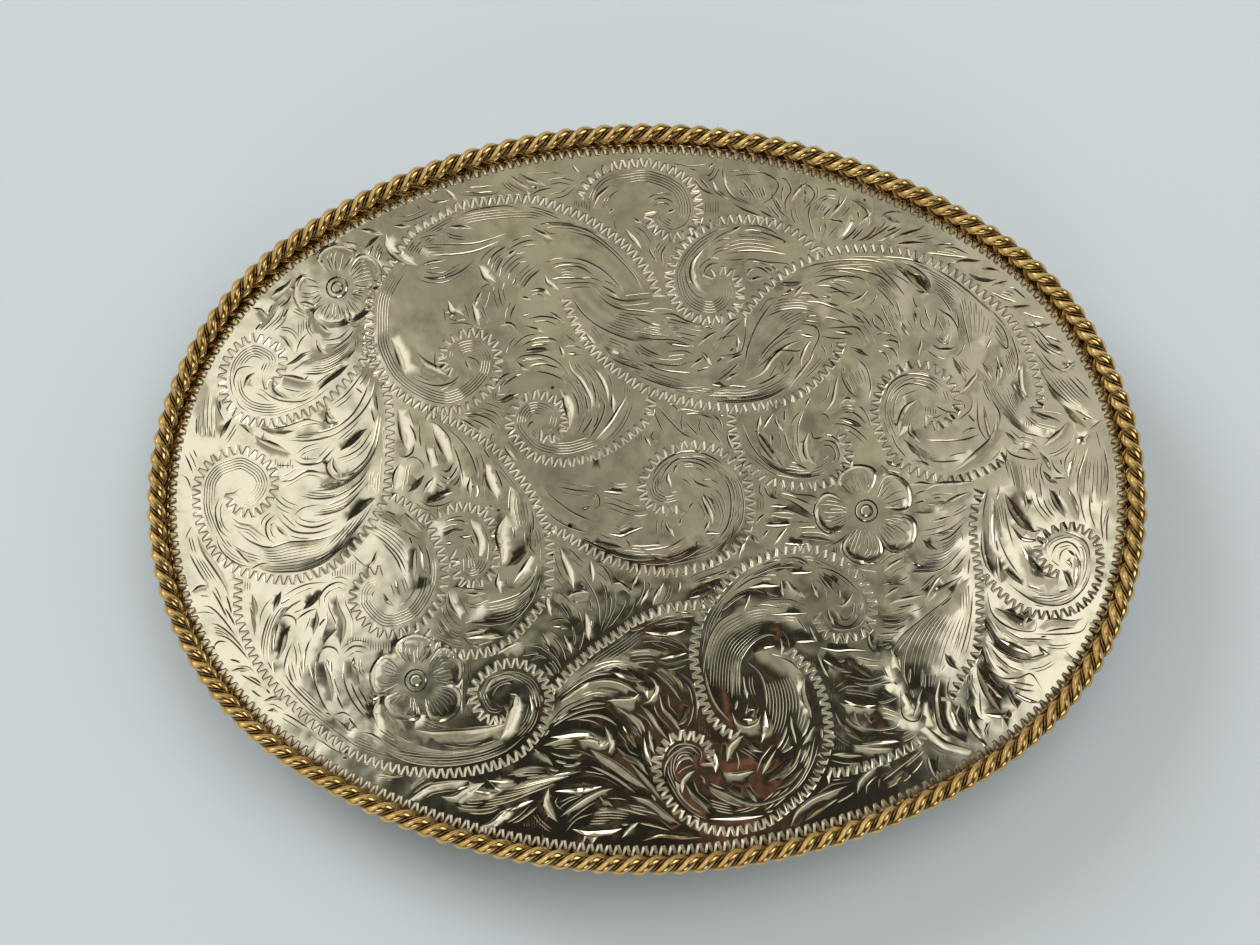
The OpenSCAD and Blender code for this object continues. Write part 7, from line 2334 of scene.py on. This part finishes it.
def math_node(tree, operation, a, b=None, clamp=False):
    """The result of one operation on one or two values."""
    node = tree.nodes.new("ShaderNodeMath")
    node.operation = operation
    node.use_clamp = clamp
    feed(tree, node.inputs[0], a)
    if b is not None:
        feed(tree, node.inputs[1], b)
    return node.outputs[0]


def mix_colour(tree, factor, a, b):
    """Colour b over colour a. A colour is a socket, or its red, green and blue."""
    node = tree.nodes.new("ShaderNodeMix")
    node.data_type = "RGBA"
    feed(tree, node.inputs[0], factor)
    for socket, colour in ((node.inputs[6], a), (node.inputs[7], b)):
        feed(tree, socket, (*colour, 1) if isinstance(colour, tuple) else colour)
    return node.outputs[2]


def map_range(tree, value, low, high, to_low=0.0, to_high=1.0):
    """A value that runs softly from one result to another while the input runs from low to high."""
    node = tree.nodes.new("ShaderNodeMapRange")
    node.interpolation_type = "SMOOTHSTEP"
    tree.links.new(value, node.inputs["Value"])
    node.inputs["From Min"].default_value = low
    node.inputs["From Max"].default_value = high
    node.inputs["To Min"].default_value = to_low
    node.inputs["To Max"].default_value = to_high
    return node.outputs["Result"]


def attribute(tree, name):
    """The number that each point of the mesh carries under this name."""
    node = tree.nodes.new("ShaderNodeAttribute")
    node.attribute_name = name
    return node.outputs["Fac"]


# Colours of clean and dulled metal, of what lies on it, and of painted shade and shadow
SILVER_BRIGHT = (0.88, 0.85, 0.73)
SILVER_DULL = (0.62, 0.60, 0.48)
# Painted into the cuts' bottoms: dirt and shade together
CUT_GRIME_AND_SHADE = (0.07, 0.06, 0.04)
# Painted shadow of the rope on the plate, with tarnish
RIM_SHADOW_AND_TARNISH = (0.20, 0.12, 0.05)
STAIN_GREEN = (0.10, 0.17, 0.10)
SPECK_BLACK = (0.008, 0.008, 0.007)
GOLD_BRIGHT = (0.80, 0.56, 0.24)
GOLD_DULL = (0.68, 0.46, 0.18)
# Painted shade and patina in the rope's grooves
GROOVE_PATINA_AND_SHADE = (0.05, 0.028, 0.012)
FITTING_BRIGHT = (0.66, 0.63, 0.56)
FITTING_DULL = (0.45, 0.41, 0.34)

# Dark specks and green stains on the plate: place, size and how strong
SPECKS = [
    ((-7.2, -3.5), 0.55, 1.0), ((-9.1, 10.6), 0.35, 0.9), ((14.3, 25.8), 0.35, 0.9), ((21.2, 28.1), 0.3, 0.8),
    ((22.5, 30.4), 0.35, 0.8), ((-33.3, 24.2), 0.3, 0.7), ((-36.3, 21.5), 0.3, 0.7), ((27.6, 18.4), 0.3, 0.7),
]
STAINS = [
    ((13.7, 21.2), 1.2, 0.5), ((13.3, 8.7), 1.0, 0.45), ((25.5, -2.0), 1.6, 0.4), ((27.0, -6.5), 1.3, 0.4),
    ((23.0, -15.0), 1.1, 0.4), ((26.0, 18.0), 1.0, 0.35),
]


def spots(tree, place, noise, rows):
    """How far each point of the plate lies in one of the spots, whose edges are broken up by noise."""
    total = None
    for (x, y), size, strength in rows:
        away = add_node(tree, "ShaderNodeVectorMath")
        away.operation = "DISTANCE"
        tree.links.new(place, away.inputs[0])
        away.inputs[1].default_value = (x * MM, y * MM, float(dome(np.array([(x, y)]))[0]) * MM)
        ragged = math_node(tree, "MULTIPLY", away.outputs["Value"], noise)
        spot = map_range(tree, ragged, size * MM * 0.55, size * MM * 0.3, 0.0, strength)
        total = spot if total is None else math_node(tree, "MAXIMUM", total, spot)
    return total


def silver_material():
    """Worn nickel silver: patina, grime and painted shade in the cuts, painted shadow and tarnish by the
    rope, stains, specks.
    """
    material, tree, shader = new_material("engraved_silver", 0.2)
    place = tree.nodes.new("ShaderNodeTexCoord").outputs["Object"]
    cloud = add_node(tree, "ShaderNodeTexNoise", Vector=place, Scale=60.0, Detail=4.0, Roughness=0.6)
    crumb = add_node(tree, "ShaderNodeTexNoise", Vector=place, Scale=1500.0, Detail=3.0, Roughness=0.6)
    broken = map_range(tree, crumb.outputs["Fac"], 0.25, 0.75, 0.55, 1.45)
    # Dirt and painted shade in the cuts' bottoms
    grime_and_shade = map_range(tree, attribute(tree, "cut_dark"), 0.55, 1.05)
    patina = add_node(tree, "ShaderNodeTexNoise", Vector=place, Scale=330.0, Detail=5.0, Roughness=0.65)
    dulled = map_range(tree, patina.outputs["Fac"], 0.42, 0.75)
    colour = mix_colour(tree, dulled, SILVER_BRIGHT, SILVER_DULL)
    colour = mix_colour(tree, grime_and_shade, colour, CUT_GRIME_AND_SHADE)
    # Painted shadow of the rope, with tarnish, on the plate beside it
    beside = map_range(tree, attribute(tree, "by_rope"), 0.0, 1.0, 0.0, 0.85)
    colour = mix_colour(tree, math_node(tree, "MULTIPLY", beside, broken, clamp=True), colour, RIM_SHADOW_AND_TARNISH)
    colour = mix_colour(tree, spots(tree, place, broken, STAINS), colour, STAIN_GREEN)
    colour = mix_colour(tree, spots(tree, place, broken, SPECKS), colour, SPECK_BLACK)
    tree.links.new(colour, shader.inputs["Base Color"])
    patchy = map_range(tree, cloud.outputs["Fac"], 0.3, 0.7, 0.085, 0.125)
    rough = math_node(tree, "ADD", patchy, math_node(tree, "MULTIPLY", grime_and_shade, 0.2))
    tree.links.new(rough, shader.inputs["Roughness"])
    waves = add_node(tree, "ShaderNodeTexNoise", Vector=place, Scale=420.0, Detail=1.0)
    bump = add_node(tree, "ShaderNodeBump", Strength=1.0, Distance=0.00004, Height=waves.outputs["Fac"])
    tree.links.new(bump.outputs["Normal"], shader.inputs["Normal"])
    return material


def rope_material():
    """Gold-coloured bronze, with patina and painted shade in the rope's grooves."""
    material, tree, shader = new_material("gold_rope", 0.26)
    place = tree.nodes.new("ShaderNodeTexCoord").outputs["Object"]
    cloud = add_node(tree, "ShaderNodeTexNoise", Vector=place, Scale=160.0, Detail=1.0)
    # Painted shade and patina in the grooves, by depth in the section
    grime_and_shade = map_range(tree, attribute(tree, "groove"), 0.3, 0.8, 0.0, 0.9)
    dulled = map_range(tree, cloud.outputs["Fac"], 0.35, 0.7)
    colour = mix_colour(tree, dulled, GOLD_BRIGHT, GOLD_DULL)
    colour = mix_colour(tree, grime_and_shade, colour, GROOVE_PATINA_AND_SHADE)
    tree.links.new(colour, shader.inputs["Base Color"])
    rough = map_range(tree, cloud.outputs["Fac"], 0.3, 0.75, 0.12, 0.2)
    tree.links.new(rough, shader.inputs["Roughness"])
    return material


def fittings_material():
    """Unpolished nickel silver of the fittings on the back."""
    material, tree, shader = new_material("back_fittings", 0.34)
    place = tree.nodes.new("ShaderNodeTexCoord").outputs["Object"]
    cloud = add_node(tree, "ShaderNodeTexNoise", Vector=place, Scale=220.0, Detail=5.0, Roughness=0.65)
    grain = add_node(tree, "ShaderNodeTexNoise", Vector=place, Scale=1600.0, Detail=2.0)
    dulled = map_range(tree, cloud.outputs["Fac"], 0.35, 0.7)
    colour = mix_colour(tree, dulled, FITTING_BRIGHT, FITTING_DULL)
    tree.links.new(colour, shader.inputs["Base Color"])
    tree.links.new(map_range(tree, cloud.outputs["Fac"], 0.3, 0.7, 0.28, 0.42), shader.inputs["Roughness"])
    bump = add_node(tree, "ShaderNodeBump", Strength=0.15, Distance=0.00005, Height=grain.outputs["Fac"])
    tree.links.new(bump.outputs["Normal"], shader.inputs["Normal"])
    return material


plate = make_plate()
rope = make_rope()
plate.data.materials.append(silver_material())
rope.data.materials.append(rope_material())
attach(plate, "root")
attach(rope, "root")
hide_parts("face_plate")
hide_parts("rope_edge")
fittings = fittings_material()
for node_name in ("belt_loop", "belt_hook"):
    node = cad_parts[node_name]
    node.data.materials.clear()
    node.data.materials.append(fittings)

# Floor, in metres
FLOOR_HALF = 3.0
floor_corners = [(FLOOR_HALF * x, FLOOR_HALF * y, 0) for x, y in ((-1, -1), (1, -1), (1, 1), (-1, 1))]
floor_mesh = bpy.data.meshes.new("floor")
floor_mesh.from_pydata(floor_corners, [], [(0, 1, 2, 3)])
floor = add_object("floor", floor_mesh)
floor_material, _, floor_shader = new_material("floor", 0.6, 0.0)
floor_shader.inputs["Base Color"].default_value = (0.62, 0.70, 0.79, 1)
floor_mesh.materials.append(floor_material)


# Surroundings: a soft room, painted by direction

# Patches of the ceiling: middle and half size, as x / z and y / z of a direction, then the colour. A later
# patch covers an earlier one. The plate mirrors a bright one at each end, and in the dark zone at its bottom
# the dark ones with their reddish tints.
CEILING_PATCHES = [
    ((0.42, 0.03), (0.13, 0.12), (1.1, 1.06, 0.93)),
    ((-0.54, 0.10), (0.24, 0.24), (0.98, 0.95, 0.83)),
    ((-0.01, -0.10), (0.39, 0.178), (0.02, 0.017, 0.013)),
    ((0.25, -0.5), (0.55, 0.32), (0.03, 0.026, 0.02)),
    ((0.055, -0.08), (0.045, 0.022), (0.26, 0.115, 0.07)),
    ((-0.04, -0.035), (0.06, 0.016), (0.13, 0.072, 0.048)),
]

# The same for the walls: bright patches, which the steeper flanks of the cuts mirror
WALL_PATCHES = [
    ((-1.55, 1.3), (0.5, 0.5), (2.2, 2.1, 1.9)),
    ((0.1, -1.6), (0.55, 0.5), (2.6, 2.45, 2.1)),
    ((1.45, 0.15), (0.45, 0.5), (2.6, 2.45, 2.1)),
]


def soft_patch(tree, sx, sy, centre, size):
    """How far a direction lies inside an oval patch of the ceiling."""
    px = math_node(tree, "DIVIDE", math_node(tree, "SUBTRACT", sx, centre[0]), size[0])
    py = math_node(tree, "DIVIDE", math_node(tree, "SUBTRACT", sy, centre[1]), size[1])
    away = math_node(tree, "ADD", math_node(tree, "MULTIPLY", px, px), math_node(tree, "MULTIPLY", py, py))
    return map_range(tree, math_node(tree, "SQRT", away), 1.25, 0.7)


def make_world():
    """The room as the world's background."""
    world = bpy.data.worlds.new("soft_room")
    bpy.context.scene.world = world
    world.use_nodes = True
    tree = world.node_tree
    background = tree.nodes["Background"]
    direction = tree.nodes.new("ShaderNodeTexCoord").outputs["Generated"]
    split = add_node(tree, "ShaderNodeSeparateXYZ", Vector=direction)
    height = math_node(tree, "MAXIMUM", split.outputs["Z"], 0.08)
    sx = math_node(tree, "DIVIDE", split.outputs["X"], height)
    sy = math_node(tree, "DIVIDE", split.outputs["Y"], height)
    reach_x, reach_y = math_node(tree, "MULTIPLY", sx, sx), math_node(tree, "MULTIPLY", sy, sy)
    radius = math_node(tree, "SQRT", math_node(tree, "ADD", reach_x, reach_y))
    along = math_node(tree, "ADD", math_node(tree, "MULTIPLY", sx, float(LIGHT_SIDE[0])),
                      math_node(tree, "MULTIPLY", sy, float(LIGHT_SIDE[1])))
    facing = math_node(tree, "DIVIDE", along, math_node(tree, "MAXIMUM", radius, 0.05))
    # Ceiling
    across = tree.nodes.new("ShaderNodeCombineXYZ")
    tree.links.new(sx, across.inputs["X"])
    tree.links.new(sy, across.inputs["Y"])
    clouds = add_node(tree, "ShaderNodeTexNoise", Vector=across.outputs["Vector"], Scale=9.0, Detail=3.0)
    cloudy = map_range(tree, clouds.outputs["Fac"], 0.35, 0.65)
    colour = mix_colour(tree, cloudy, (0.22, 0.206, 0.155), (0.42, 0.4, 0.3))
    colour = mix_colour(tree, map_range(tree, sx, 0.2, 0.34), colour, (0.5, 0.475, 0.39))
    for centre, size, patch_colour in CEILING_PATCHES:
        colour = mix_colour(tree, soft_patch(tree, sx, sy, centre, size), colour, patch_colour)
    # Walls: bright on the light side, dark opposite
    walls = mix_colour(tree, map_range(tree, facing, -0.15, 0.6), (0.085, 0.078, 0.064), (0.78, 0.74, 0.63))
    colour = mix_colour(tree, map_range(tree, radius, 0.72, 1.02), colour, walls)
    for centre, size, patch_colour in WALL_PATCHES:
        colour = mix_colour(tree, soft_patch(tree, sx, sy, centre, size), colour, patch_colour)
    # The walls' lower part, near the horizon
    colour = mix_colour(tree, map_range(tree, radius, 3.2, 4.4), colour, (0.42, 0.4, 0.35))
    tree.links.new(colour, background.inputs["Color"])
    background.inputs["Strength"].default_value = 1.0


def area_light(name, location, size, power, colour):
    """A round lamp that faces the origin and isn't mirrored."""
    data = bpy.data.lights.new(name, "AREA")
    data.shape = "DISK"
    data.size = size
    data.energy = power
    data.color = colour
    light = add_object(name, data)
    light.visible_glossy = False
    light.location = location
    light.rotation_mode = "QUATERNION"
    light.rotation_quaternion = (-Vector(location)).to_track_quat("-Z", "Y")


make_world()
area_light("window", (-1.05, 0.92, 0.8), 0.8, 10.2, (1.0, 0.98, 0.93))
area_light("ceiling", (0.3, 0.25, 1.1), 0.9, 5.0, (1.0, 0.98, 0.95))
bpy.context.scene.view_settings.view_transform = "Standard"

# Camera, from the photograph's perspective. It stands over the target and leans towards -Y and +X.
TILT = math.radians(8.505)
SIDE = math.radians(2.588)
ROLL = math.radians(0.499)
DISTANCE = 0.26102
TARGET = Vector((-0.001184, 0.001908, STAND_H * MM))
FOCAL_PIXELS = 2600.0
PHOTO_W = 1260.0
SENSOR_W = 36.0

back = Vector((math.sin(SIDE), -math.sin(TILT) * math.cos(SIDE), math.cos(TILT) * math.cos(SIDE)))
up = (Vector((0, 1, 0)) - back * back.y).normalized()
right = up.cross(back)
right_turned = right * math.cos(ROLL) + up * math.sin(ROLL)
up_turned = up * math.cos(ROLL) - right * math.sin(ROLL)
camera_data = bpy.data.cameras.new("camera")
camera_data.sensor_fit = "HORIZONTAL"
camera_data.sensor_width = SENSOR_W
camera_data.lens = FOCAL_PIXELS / PHOTO_W * SENSOR_W
camera_data.clip_start = 0.01
camera_data.clip_end = 20.0
camera = add_object("camera", camera_data)
axes = Matrix((right_turned, up_turned, back)).transposed().to_4x4()
camera.matrix_world = Matrix.Translation(TARGET + back * DISTANCE) @ axes
bpy.context.scene.camera = camera
